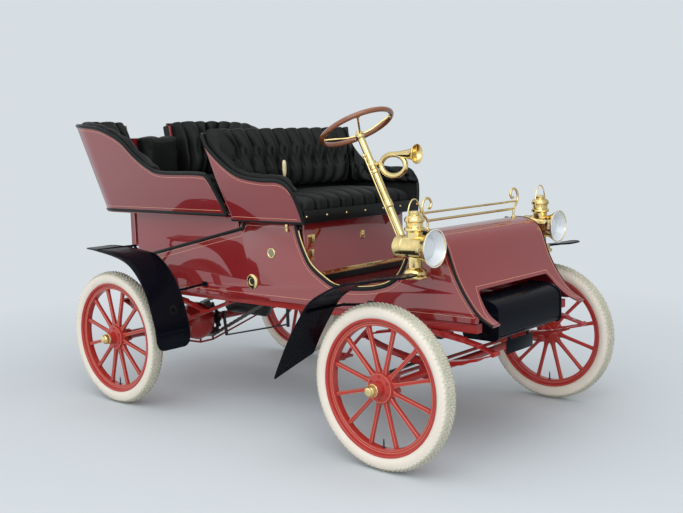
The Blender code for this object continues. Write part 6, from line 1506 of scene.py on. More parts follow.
@dataclass
class Tonneau:
    """The rear body: two flared halves, their piped upholstery and the door between them."""

    shop: Workshop
    datum: Datum
    wall: float = 0.014
    front: float = 1.205
    base: float = 1.022
    length: float = 1.235
    height: float = 0.485
    end_x: float = 0.1848
    pad_front: float = 1.715
    pad_bottom: float = 1.184
    pad_over: float = 0.022
    pad_skin: float = 0.0148
    pad_end_x: float = 0.188
    arm: float = 0.088
    back: float = 0.150
    post_x: float = 0.1735
    post_head: Pair = (2.3925, 1.5035)
    post_lean: float = 0.1894
    sleeve: Pair = (0.028, 0.050)
    sleeve_gap: float = 0.004
    binding_inset: float = 0.002
    binding_depth: float = 0.030
    binding_lap: float = 0.004
    binding_rise: float = 0.002
    stripe_span: Pair = (0.022, 0.985)
    moulding: float = 0.0105
    levels: tuple[tuple[float, float, float, float], ...] = (
        (1.022, 0.455, 2.340, 0.180), (1.265, 0.5285, 2.390, 0.215), (1.507, 0.602, 2.440, 0.250))
    edge: tuple[Pair, ...] = (
        (0.0, 0.0), (0.033, 0.223), (0.061, 0.384), (0.105, 0.437), (0.352, 0.445), (0.433, 0.507),
        (0.506, 0.635), (0.567, 0.790), (0.644, 0.893), (0.733, 0.959), (0.887, 0.992), (1.0, 1.0))
    tufting: Tufting = field(default_factory=lambda: Tufting(0.092, 0.5, 0.5, 0.50, 0.5))
    stripe_inset: float = 0.022

    def edge_line(self) -> list[Vector]:
        """Draw the wall's top edge: station and height."""
        knots = [(self.front + y * self.length, self.base + rise * self.height, 0.0)
                 for y, rise in self.edge]
        return smooth_line(knots, 6)

    def shell(self) -> FlaredShell:
        """Give the painted wall."""
        return FlaredShell(self.datum, self.levels, self.edge_line(), self.front, self.end_x, self.base)

    def pad_shell(self) -> FlaredShell:
        """Give the wall that the padding follows."""
        edge = [point + Vector((0.0, self.pad_over, 0.0)) for point in self.edge_line()]
        return FlaredShell(self.datum, self.levels, edge, self.pad_front, self.pad_end_x, self.pad_bottom)

    def build(self, upholstery: Upholstery) -> None:
        """Build the rear body."""
        walls = [for_side(self.shell().skin(170, 0.0, self.wall), side) for side in (RIGHT, LEFT)]
        self.shop.add("tonneau_walls", joined(walls), self.shop.finish.body, Slot.BODY, "root",
                      ["tonneau_right_side", "tonneau_left_side"], 50.0)
        self.build_trim()
        corners = tuple((row[0], row[3]) for row in self.levels)
        room = PadRoom(self.pad_shell(), corners, (self.pad_skin, self.pad_skin), self.arm, self.back)
        for side_name, side in SIDES.items():
            pad = upholstery.padding(room, self.tufting, False, 340)
            item = self.shop.add(f"tonneau_{side_name}_piped_pad", for_side(pad, side),
                                 self.shop.finish.leather, Slot.LEATHER, "root",
                                 [f"tonneau_{side_name}_pad"], 80.0)
            upholstery.puffed(f"tonneau_{side_name}_cushion", f"tonneau_{side_name}_soft_cushion", "root",
                              0.011, 4.0)
        upholstery.puffed("door_pad", "door_soft_pad", "rear_door", 0.009, 4.0)
        self.build_doorway_hide()

    def build_doorway_hide(self) -> None:
        """Cover the door posts' heads and the door's top edge in hide."""
        low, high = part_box("tonneau_door")
        head_y, head_z = self.post_head
        path = [self.datum.at(self.post_x, head_y - (head_z - z) * self.post_lean, z)
                for z in (high.z + self.sleeve_gap, head_z)]
        sleeves = [for_side(swept(path, bar_section(*self.sleeve), up=Y_AXIS), side)
                   for side in (RIGHT, LEFT)]
        self.shop.add("door_post_sleeves", joined(sleeves), self.shop.finish.leather, Slot.LEATHER)
        edge = block((low.x + self.binding_inset, high.y - self.binding_depth, high.z - self.binding_lap),
                     (high.x - self.binding_inset, high.y, high.z + self.binding_rise))
        self.shop.add("door_top_binding", edge, self.shop.finish.leather, Slot.LEATHER, "rear_door")

    def build_trim(self) -> None:
        """Build the black edge beads and the gold lines of both halves."""
        shell = self.shell()
        beads = []
        lines = []
        bar = bar_section(LINE_WIDTH, LINE_DEPTH, LINE_DEPTH)
        for side in (RIGHT, LEFT):
            points, _ = shell.trace(spaced(0.0, 1.0, 170), 0.0, -self.wall / 2)
            beads.append(for_side(tube(points, self.moulding, 12), side))
            foot, _ = shell.level(spaced(0.0, 1.0, 120), 0.0, -0.004)
            beads.append(for_side(tube(foot, self.moulding, 12), side))
            upper, out = shell.trace(spaced(*self.stripe_span, 170), self.stripe_inset, 0.0)
            lines.append(for_side(swept(upper, bar, up=out), side))
            lower, out = shell.level(spaced(*self.stripe_span, 120), self.stripe_inset, 0.0)
            lines.append(for_side(swept(lower, bar, up=out), side))
        self.shop.add("tonneau_mouldings", joined(beads), self.shop.finish.moulding, Slot.BLACK)
        self.shop.add("tonneau_lines", joined(lines), self.shop.finish.gold)
        self.shop.add("tonneau_lining", shell.lining(self.wall), self.shop.finish.leather, Slot.LEATHER)


def offset_line(line: Sequence[Vector], by: float) -> list[Vector]:
    """Move a plane line sideways, to its left for a positive distance."""
    moved = []
    for i, point in enumerate(line):
        along = (line[min(i + 1, len(line) - 1)] - line[max(i - 1, 0)]).normalized()
        moved.append(point + Vector((-along.y, along.x, 0.0)) * by)
    return moved


@dataclass
class LowerBody:
    """The lower body's panels, with their beads, gold lines and small fittings."""

    shop: Workshop
    datum: Datum
    bead: float = 0.009
    inset: float = 0.024
    doorway: tuple[Pair, ...] = (
        (0.068, 0.385), (0.082, 0.300), (0.112, 0.220), (0.165, 0.158), (0.260, 0.118), (0.400, 0.100),
        (0.520, 0.102), (0.602, 0.137), (0.678, 0.189), (0.722, 0.255), (0.755, 0.330), (0.770, 0.392))
    apron: tuple[Pair, ...] = (
        (0.030, 0.388), (-0.010, 0.388), (-0.050, 0.381), (-0.090, 0.365), (-0.122, 0.328),
        (-0.145, 0.265), (-0.172, 0.198), (-0.210, 0.132), (-0.262, 0.064), (-0.305, 0.028),
        (-0.352, 0.006))
    apron_half: float = 0.407
    tank_cut: tuple[Pair, ...] = ((0.300, 0.731), (0.365, 0.612))
    crank: Pair = (1.082, 0.682)
    crank_bezel: tuple[Pair, ...] = (
        (0.0165, -0.004), (0.0165, 0.004), (0.0200, 0.0065), (0.0320, 0.0065), (0.0380, 0.004),
        (0.0380, -0.001), (0.0240, -0.004))
    crank_hole_shade: tuple[Pair, ...] = ((0.0238, -0.0110), (0.0238, 0.0010), (0.0200, 0.0010))
    badge: Pair = (0.938, 0.837)
    badge_ring: tuple[Pair, ...] = (
        (0.0200, -0.0010), (0.0200, 0.0030), (0.0215, 0.0045), (0.0245, 0.0045), (0.0260, 0.0030),
        (0.0260, -0.0010))
    badge_face: tuple[Pair, ...] = ((0.0202, -0.0010), (0.0202, 0.0022), (0.0150, 0.0026))
    panels: tuple[str, ...] = (
        "body_right_side", "body_left_side", "body_core", "rear_deck", "tonneau_base", "hood_apron")

    def build(self) -> None:
        """Build the panels and everything on them."""
        for node in self.panels:
            self.shop.dress(node, self.shop.finish.body, Slot.BODY, chamfer=0.0015)
        self.shop.dress("tonneau_door", self.shop.finish.body, Slot.BODY, "rear_door", 0.0020)
        self.build_beads()
        self.build_lines()
        self.build_fittings()

    def flank(self, x: float, line: Sequence[Sequence[float]]) -> list[Vector]:
        """Place stations and heights on the plane of a body side."""
        return [self.datum.at(x, point[0], point[1]) for point in line]

    def doorway_line(self) -> list[Vector]:
        """Draw the cut for getting in: station and height."""
        return smooth_line([(y, self.datum.rail_top + rise, 0.0) for y, rise in self.doorway], 6)

    def apron_line(self) -> list[Vector]:
        """Draw the apron's face: station and height."""
        return smooth_line([(y, self.datum.rail_top + rise, 0.0) for y, rise in self.apron], 5)

    def build_beads(self) -> None:
        """Build the black beads of the seam, the doorway cut and the apron."""
        beads = []
        x = self.datum.body_half
        for side in (RIGHT, LEFT):
            seam = self.flank(x, smooth_line([(1.128, 0.990, 0.0), (1.134, 0.962, 0.0), (1.160, 0.947, 0.0),
                                              (1.475, 0.8735, 0.0), (2.008, 0.749, 0.0)], 8))
            beads.append(for_side(swept(seam, bead_section(self.bead), up=X_AXIS), side))
            cut = self.flank(x - 0.006, self.doorway_line())
            beads.append(for_side(tube(cut, 0.0110, 12), side))
            apron = self.flank(self.apron_half - 0.002, offset_line(self.apron_line(), 0.004))
            beads.append(for_side(tube(apron, 0.0062, 8), side))
            foot = [self.datum.at(x + 0.001, 2.004, 0.749), self.datum.at(0.0, 2.012, 0.749)]
            beads.append(for_side(tube(foot, 0.008, 8), side))
        self.shop.add("body_mouldings", joined(beads), self.shop.finish.moulding, Slot.BLACK)
        strips = []
        for side in (RIGHT, LEFT):
            inner = offset_line(self.doorway_line(), 0.0115)[4:-4]
            strips.append(for_side(tube(self.flank(x - 0.004, inner), 0.0035, 8), side))
        self.shop.add("doorway_strips", joined(strips), self.shop.finish.brass, Slot.BRASS)

    def outline(self) -> list[Vector]:
        """Draw the lower side panel's outline: station and height."""
        apron = [point for point in reversed(self.apron_line()) if point.x < 0.0 and point.y > 0.640]
        doorway = self.doorway_line()
        return apron + [Vector((0.046, 0.985, 0.0))] + doorway + [
            Vector((1.128, 0.995, 0.0)), Vector((1.160, 0.936, 0.0)), Vector((1.475, 0.863, 0.0)),
            Vector((2.008, 0.738, 0.0)), Vector((2.010, 0.586, 0.0)), Vector((0.900, 0.597, 0.0)),
            Vector((-0.300, 0.606, 0.0))]

    def build_lines(self) -> None:
        """Draw the gold lines of the panels, the deck's side and the apron."""
        x = self.datum.body_half
        bar = bar_section(LINE_WIDTH, LINE_DEPTH, 0.0005)
        lines = []
        for side in (RIGHT, LEFT):
            panel = inset_loop(self.outline(), self.inset)
            lines.append(for_side(swept(self.flank(x, panel), bar, up=X_AXIS, closed=True), side))
            upper = inset_loop([Vector((1.205, 1.010, 0.0)), Vector((1.215, 0.950, 0.0)),
                                Vector((1.475, 0.885, 0.0)), Vector((2.008, 0.760, 0.0)),
                                Vector((2.010, 1.010, 0.0))], self.inset)
            lines.append(for_side(swept(self.flank(x, upper), bar, up=X_AXIS, closed=True), side))
        lines.append(self.apron_loop())
        self.shop.add("body_lines", joined(lines), self.shop.finish.gold)

    def apron_loop(self) -> bmesh.types.BMesh:
        """Draw the line round the apron's face and its cut for the tank."""
        face = [(point.y, point.x) for point in reversed(self.apron_line())]
        margin = 0.015
        side = self.apron_half - margin
        top = self.datum.rail_top + 0.370
        cut_x, cut_z = self.tank_cut[0]
        foot_x, foot_z = self.tank_cut[1]
        half = [(0.0, top), (side, top), (side, foot_z), (foot_x + margin, foot_z),
                (cut_x + margin, cut_z - 0.004), (cut_x + margin - 0.010, cut_z + margin),
                (0.0, cut_z + margin)]
        dense = []
        for first, last in zip(half, half[1:]):
            dense += [(first[0] + (last[0] - first[0]) * i / 14, first[1] + (last[1] - first[1]) * i / 14)
                      for i in range(14)]
        loop = dense + [(-x, z) for x, z in reversed(dense[1:])]
        points = [self.datum.at(x, value_along(face, z) - 0.0002, z) for x, z in loop]
        normals = []
        for _, z in loop:
            slope = value_along(face, z + 0.004) - value_along(face, z - 0.004)
            normals.append(Vector((0.0, -0.008, slope)).normalized())
        return swept(points, bar_section(LINE_WIDTH, 0.0008, LINE_DEPTH), up=normals, closed=True)

    def build_fittings(self) -> None:
        """Build the crank's bezel, the bare badge, the latch, the plate and the heelboard's strips."""
        at = self.datum.at
        x = self.datum.body_half
        shop = self.shop
        crank = at(-x, *self.crank)
        bezel = spun(self.crank_bezel, crank, -X_AXIS, 40, ring=True)
        shop.add("crank_bezel", bezel, shop.finish.brass, Slot.BRASS)
        # A near-black plug fills the crank's hole: painted shade where the open hole would be dark.
        hole_shade_plug = spun(self.crank_hole_shade, crank, -X_AXIS, 32)
        shop.add("crank_hole_shade", hole_shade_plug, shop.finish.dark, Slot.IRON)
        badge = at(-x, *self.badge)
        ring = spun(self.badge_ring, badge, -X_AXIS, 36, ring=True)
        shop.add("side_badge_ring", ring, shop.finish.brass, Slot.BRASS)
        face = spun(self.badge_face, badge, -X_AXIS, 36)
        shop.add("side_badge_face", face, shop.finish.badge)
        latch = [block(at(-x - 0.010, 0.813, 0.948), at(-x, 0.829, 0.992), 0.003),
                 stud(at(-x - 0.010, 0.821, 0.970), -X_AXIS, 0.006, 0.005)]
        shop.add("side_latch", joined(latch), shop.finish.brass, Slot.BRASS)
        strips = [block(at(-0.274, 0.7165, 0.724), at(0.388, 0.7205, 0.746), 0.0008)]
        strips += [stud(at(-0.260 + 0.0648 * i, 0.7165, 0.735), -Y_AXIS, 0.0035, 0.0015) for i in range(11)]
        strips += [block(at(-0.372, 0.7165, 0.880), at(-0.322, 0.7205, 0.935), 0.0008),
                   block(at(-0.372, 0.7165, 0.800), at(-0.330, 0.7205, 0.862), 0.0008),
                   block(at(0.030, 0.7145, 0.880), at(0.058, 0.7205, 0.922), 0.0012),
                   stud(at(0.044, 0.7140, 0.901), -Y_AXIS, 0.008, 0.006)]
        shop.add("heelboard_brasswork", joined(strips), shop.finish.brass, Slot.BRASS)
        kick = block(at(-0.380, 0.7120, 0.6915), at(0.380, 0.7205, 0.7235), 0.0015)
        shop.add("heelboard_kick_strip", kick, shop.finish.moulding, Slot.BLACK)
        plate = [block(at(-0.222, -0.304, 0.445), at(0.001, -0.300, 0.507), 0.0012),
                 block(at(-0.200, -0.300, 0.470), at(-0.180, -0.294, 0.520), 0.0012),
                 block(at(-0.045, -0.300, 0.470), at(-0.025, -0.294, 0.520), 0.0012)]
        shop.add("blank_front_plate", joined(plate), shop.finish.black, Slot.BLACK)
        self.build_tank()

    def build_tank(self) -> None:
        """Dress the front tank."""
        self.shop.dress("front_tank", self.shop.finish.black, Slot.BLACK, chamfer=0.0030)


def inset_loop(line: Sequence[Vector], by: float) -> list[Vector]:
    """Draw a loop a fixed distance inside another, with its corners rounded.

    Args:
        line: A plane loop, listed clockwise when x points right and y up.
        by: The distance.

    Returns:
        The inner loop's points.
    """
    count = len(line)
    moved = []
    for i, point in enumerate(line):
        before = (point - line[i - 1]).normalized()
        after = (line[(i + 1) % count] - point).normalized()
        first = Vector((before.y, -before.x, 0.0))
        second = Vector((after.y, -after.x, 0.0))
        mean = (first + second).normalized()
        moved.append(point + mean * (by / max(mean.dot(first), 0.45)))
    rounded_line = []
    for i, point in enumerate(moved):
        before = moved[i - 1]
        after = moved[(i + 1) % count]
        turn = (point - before).normalized().dot((after - point).normalized())
        if turn > 0.93:
            rounded_line.append(point)
            continue
        reach = min(0.014, (point - before).length / 2.5, (after - point).length / 2.5)
        start = point + (before - point).normalized() * reach
        end = point + (after - point).normalized() * reach
        rounded_line += [start, start.lerp(point, 0.5).lerp(point.lerp(end, 0.5), 0.5), end]
    return rounded_line


@dataclass
class Fenders:
    """Four smooth fender blades with rolled edges and their stays."""

    shop: Workshop
    datum: Datum
    inner_x: float = 0.600
    outer_x: float = 0.812
    sheet: float = 0.005
    bead: float = 0.0042
    stay: float = 0.0065
    foot_corner: float = 0.045
    tip_corner: float = 0.085
    front_line: tuple[Pair, ...] = (
        (107.4, 0.1360), (99.3, 0.1143), (86.6, 0.0888), (73.9, 0.0897), (60.8, 0.0904), (47.6, 0.1001),
        (35.3, 0.0948), (21.0, 0.106), (9.9, 0.1283), (0.2, 0.163), (-5.0, 0.186))
    rear_line: tuple[Pair, ...] = (
        (71.4, 0.1470), (77.6, 0.1367), (98.0, 0.1227), (112.9, 0.1405), (124.4, 0.1429), (135.3, 0.1378),
        (146.4, 0.1276), (159.0, 0.1154), (169.7, 0.1147), (180.5, 0.113))
    front_stays: tuple[Triple, ...] = ((0.020, 0.190, 84.2), (0.300, 0.040, 40.7))
    rear_stays: tuple[Triple, ...] = ((0.011, 0.120, 87.5), (-0.379, 0.040, 145.1))

    def build(self) -> None:
        """Build the four fenders."""
        for side_name, side in SIDES.items():
            self.build_one(f"front_{side_name}_fender", side, self.front_line, 0.0, self.front_stays, True)
            self.build_one(f"rear_{side_name}_fender", side, self.rear_line, self.datum.rear,
                           self.rear_stays, False)

    def polar(self, station: float, degrees: float, radius: float) -> Vector:
        """Find a station and a height about a wheel's centre."""
        angle = math.radians(degrees)
        height = self.datum.axle_z + radius * math.sin(angle)
        return Vector((station + radius * math.cos(angle), height, 0.0))

    def build_one(
        self,
        node: str,
        side: float,
        line: Sequence[Pair],
        station: float,
        stays: Sequence[Triple],
        tail: bool,
    ) -> None:
        """Build one fender.

        Args:
            node: The CAD node that it stands for.
            side: Side of the car.
            line: Degrees up from the rear and gap over the tyre.
            station: Station of the wheel.
            stays: Station from the axle, rise over the frame and degrees of each stay's end.
            tail: Whether its end is cut at a slant, as a front one's is.
        """
        tyre = self.datum.tyre_radius
        low, high = (0.0, self.sheet) if tail else (-self.sheet, 0.0)
        faces = [smooth_line([self.polar(station, degrees, tyre + gap + shift)
                              for degrees, gap in line], 10)
                 for shift in (low, high)]
        middle = faces[0]

        def stop(share: float) -> float:
            """Find the place along the line where the blade ends, for a share of its width."""
            x = self.inner_x + (self.outer_x - self.inner_x) * share
            if tail:
                height = self.datum.axle_z + 0.065 - 0.085 * share
            else:
                foot = middle[-1].y
                depth = max(self.inner_x + self.foot_corner - x, x - self.outer_x + self.foot_corner, 0.0)
                height = foot + self.foot_corner - math.sqrt(max(self.foot_corner ** 2 - depth ** 2, 0.0))
            for i in range(len(middle) - 1, 0, -1):
                if middle[i - 1].y >= height >= middle[i].y:
                    span = max(middle[i - 1].y - middle[i].y, 1e-9)
                    return i - (height - middle[i].y) / span
            return len(middle) - 1.0

        def start(share: float) -> float:
            """Find the place where the blade starts: its two free corners are round."""
            x = self.inner_x + (self.outer_x - self.inner_x) * share
            depth = max(self.inner_x + self.tip_corner - x, x - self.outer_x + self.tip_corner, 0.0)
            fall = self.tip_corner - math.sqrt(max(self.tip_corner ** 2 - depth ** 2, 0.0))
            return fall / (middle[1] - middle[0]).length

        starts = [start(i / 40) for i in range(41)]
        stops = [stop(i / 40) for i in range(41)]

        def on_line(face: int, share: float, along: float) -> Vector:
            """Find a point of a face by its shares across and along."""
            place = min(share * 40, 39.9999)
            row = int(place)
            begin = starts[row] + (starts[row + 1] - starts[row]) * (place - row)
            end = stops[row] + (stops[row + 1] - stops[row]) * (place - row)
            spot = min(begin + along * (end - begin), len(middle) - 1.0001)
            first = faces[face][int(spot)]
            point = first.lerp(faces[face][int(spot) + 1], spot - int(spot))
            x = self.inner_x + (self.outer_x - self.inner_x) * share
            return self.datum.at(x, point.x, point.y)

        def place(along: float, around: float) -> Vector:
            """Cross the outer face and come back along the inner one."""
            if 0.04 < around < 0.48:
                return on_line(1, (around - 0.05) / 0.40, along)
            return on_line(0, min((1.0 - around) / 0.50, 1.0) if around > 0.04 else 0.0, along)

        blade = wrapped(100, 20, place)
        rim = [self.between(on_line, 1.0, i / 60) for i in range(60)]
        rim += [self.between(on_line, 1.0 - i / 20, 1.0) for i in range(20)]
        rim += [self.between(on_line, 0.0, 1.0 - i / 60) for i in range(60)]
        rim += [self.between(on_line, i / 20, 0.0) for i in range(20)]
        shapes = [blade, tube(rim, self.bead, 8, closed=True)]
        for along, rise, degrees in stays:
            shapes.append(self.stay_rod(station, line, along, rise, degrees, low))
        item = for_side(joined(shapes), side)
        self.shop.add(node + "_blade", item, self.shop.finish.black, Slot.BLACK, "root", [node], 55.0)

    def between(self, on_line: Callable[[int, float, float], Vector], share: float, along: float) -> Vector:
        """Find a point halfway between the two faces."""
        return (on_line(0, share, along) + on_line(1, share, along)) / 2

    def stay_rod(
        self, station: float, line: Sequence[Pair], along: float, rise: float, degrees: float, sunk: float
    ) -> bmesh.types.BMesh:
        """Bend one round stay from the body to under the blade."""
        rows = sorted(line)
        radius = self.datum.tyre_radius + value_along(rows, degrees) + sunk - self.stay + 0.002
        end = self.polar(station, degrees, radius)
        body = self.datum.body_half
        start = self.datum.over(body, station + along, rise)
        square = start + X_AXIS * 0.020
        knee = self.datum.at(self.inner_x - 0.040, end.x, end.y)
        tip = self.datum.at(self.outer_x - 0.022, end.x, end.y)
        bend = smooth_line([start, square, square.lerp(knee, 0.08), square.lerp(knee, 0.5),
                            square.lerp(knee, 0.94), knee, tip], 5)
        rod = tube(bend, self.stay, 12)
        flange = block(self.datum.over(body - 0.001, station + along - 0.020, rise - 0.013),
                       self.datum.over(body + 0.005, station + along + 0.020, rise + 0.013), 0.0015)
        return joined([rod, flange])


@dataclass
class Chassis:
    """Frame, axles, springs, drive and steering links, each a finished copy of its solid."""

    shop: Workshop
    datum: Datum
    red: tuple[str, ...] = (
        "frame", "front_axle", "rear_axle", "front_right_spring", "front_left_spring", "rear_right_spring",
        "rear_left_spring")
    iron: tuple[str, ...] = ("engine", "silencer", "brake_rod", "rear_sprocket", "engine_sprocket")
    knuckles: tuple[str, ...] = ("right_knuckle", "left_knuckle")
    links: tuple[tuple[str, bool], ...] = (("tie_rod", True), ("drag_link", False), ("drop_arm", False))

    def build(self) -> None:
        """Dress every node of the running gear."""
        finish = self.shop.finish
        for node in self.red:
            self.shop.dress(node, finish.chassis, Slot.CHASSIS)
        for node in self.iron:
            self.shop.dress(node, finish.iron, Slot.IRON, chamfer=0.0008)
        self.shop.dress("drive_chain", finish.steel, Slot.CHAIN, chamfer=0.0004)
        for node in self.knuckles:
            self.shop.dress(node, finish.chassis, Slot.CHASSIS, node, 0.0008)
        for node, painted in self.links:
            self.shop.dress(node, finish.chassis if painted else finish.iron,
                            Slot.CHASSIS if painted else Slot.IRON, node, 0.0006)
        self.build_clips()

    def build_clips(self) -> None:
        """Build the nuts of the springs' middle clips."""
        shapes = []
        for node in self.red[3:]:
            low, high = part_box(node)
            middle = (low + high) / 2
            for across in (-0.020, 0.020):
                for along in (-0.030, 0.030):
                    spot = Vector((middle.x + across, middle.y + along, high.z + 0.002))
                    shapes.append(nut(spot, Z_AXIS, 0.0070, 0.006))
        self.shop.add("spring_clip_nuts", joined(shapes), self.shop.finish.chassis, Slot.CHASSIS)


@dataclass
class Lamp:
    """A brass oil lamp with its font, dish, chimney, bail and bracket."""

    shop: Workshop
    datum: Datum
    x: float = 0.530
    station: float = -0.045
    height: float = 0.934
    arm_drop: float = 0.054
    font: tuple[Pair, ...] = (
        (0.0560, -0.1320), (0.0580, -0.1300), (0.0600, -0.1260), (0.0595, -0.1225), (0.0560, -0.1190),
        (0.0500, -0.1140), (0.0490, -0.1080), (0.0475, -0.1000), (0.0440, -0.0950), (0.0340, -0.0900),
        (0.0300, -0.0850), (0.0300, 0.0))
    barrel: tuple[Pair, ...] = (
        (0.0300, -0.0960), (0.0420, -0.0945), (0.0470, -0.0900), (0.0500, -0.0830), (0.0500, -0.0500),
        (0.0515, -0.0480), (0.0515, -0.0440), (0.0500, -0.0420), (0.0500, 0.0380), (0.0525, 0.0400),
        (0.0540, 0.0450), (0.0540, 0.0520), (0.0600, 0.0660), (0.0700, 0.0840), (0.0780, 0.0960),
        (0.0800, 0.1000), (0.0800, 0.1040), (0.0770, 0.1045), (0.0740, 0.1010), (0.0670, 0.0900),
        (0.0560, 0.0720), (0.0500, 0.0620), (0.0470, 0.0600))
    dish: tuple[Pair, ...] = (
        (0.0500, 0.0622), (0.0560, 0.0718), (0.0670, 0.0898), (0.0738, 0.1004), (0.0728, 0.1012),
        (0.0655, 0.0905), (0.0548, 0.0730), (0.0490, 0.0640))
    lens: tuple[Pair, ...] = ((0.0505, 0.0600), (0.0500, 0.0640), (0.0400, 0.0720), (0.0220, 0.0775))
    lip: tuple[Pair, ...] = (
        (0.0770, 0.1040), (0.0806, 0.1036), (0.0812, 0.1050), (0.0806, 0.1064), (0.0770, 0.1060))
    bail: Triple = (0.048, 0.087, 0.116)
    chimney: tuple[Pair, ...] = (
        (0.0340, 0.0), (0.0340, 0.0640), (0.0360, 0.0670), (0.0440, 0.0720), (0.0445, 0.0780),
        (0.0430, 0.0830), (0.0370, 0.0870), (0.0360, 0.0900), (0.0360, 0.1040), (0.0380, 0.1070),
        (0.0430, 0.1100), (0.0435, 0.1150), (0.0420, 0.1230), (0.0380, 0.1290), (0.0300, 0.1340),
        (0.0220, 0.1370), (0.0225, 0.1430), (0.0240, 0.1480), (0.0200, 0.1520), (0.0100, 0.1545))

    def build(self) -> None:
        """Build both lamps."""
        for side_name, side in SIDES.items():
            shapes = self.brass_shapes()
            self.shop.add(f"{side_name}_lamp_brasswork", for_side(joined(shapes), side),
                          self.shop.finish.brass, Slot.BRASS, "root", [f"{side_name}_lamp"], 30.0)
            centre = self.datum.at(self.x, self.station, self.height)
            dish = spun(self.dish, centre, -Y_AXIS, 48, ring=True)
            lens = spun(self.lens, centre, -Y_AXIS, 40)
            lip = spun(self.lip, centre, -Y_AXIS, 48, ring=True)
            self.shop.add(f"{side_name}_lamp_dish", for_side(joined([dish, lens, lip]), side),
                          self.shop.finish.enamel)

    def brass_shapes(self) -> list[bmesh.types.BMesh]:
        """Build the turned brass, the bail, the vents and the bracket of the left lamp."""
        centre = self.datum.at(self.x, self.station, self.height)
        shapes = [spun(self.font, centre, Z_AXIS, 48), spun(self.barrel, centre, -Y_AXIS, 48),
                  spun(self.chimney, centre, Z_AXIS, 48)]
        vent = tube([(0.0352, 0.0, 0.0905), (0.0352, 0.0, 0.1035)], 0.0022, 6)
        vents = ring_of(vent, 18, (0, 0, 0), Z_AXIS)
        bmesh.ops.translate(vents, vec=centre, verts=vents.verts)
        shapes.append(vents)
        bow = [centre + Vector((0.038, 0.0, 0.078)), centre + Vector((0.047, 0.0, 0.095))]
        wide, high, foot = self.bail
        for i in range(13):
            angle = math.pi * i / 12
            bow.append(centre + Vector((wide * math.cos(angle), 0.0, foot + high * math.sin(angle))))
        bow += [centre + Vector((-0.047, 0.0, 0.095)), centre + Vector((-0.038, 0.0, 0.078))]
        shapes.append(tube(smooth_line(bow, 3), 0.0030, 8))
        body = self.datum.body_half + 0.0003
        arm_z = self.height - self.arm_drop
        at = self.datum.at
        arm = smooth_line([at(body, 0.010, arm_z),
                           at(body + 0.020, 0.010, arm_z),
                           at(self.x - 0.080, 0.005, arm_z - 0.005),
                           at(self.x - 0.050, -0.022, arm_z + 0.003),
                           at(self.x - 0.020, -0.035, arm_z + 0.015)], 6)
        shapes.append(swept(arm, bar_section(0.010, 0.020, 0.0), up=Z_AXIS))
        shapes.append(block(at(body, -0.010, arm_z - 0.025), at(body + 0.008, 0.030, arm_z + 0.025)))
        for rise in (-0.017, 0.017):
            shapes.append(nut(at(body + 0.010, 0.010, arm_z + rise), X_AXIS, 0.006, 0.005))
        return shapes


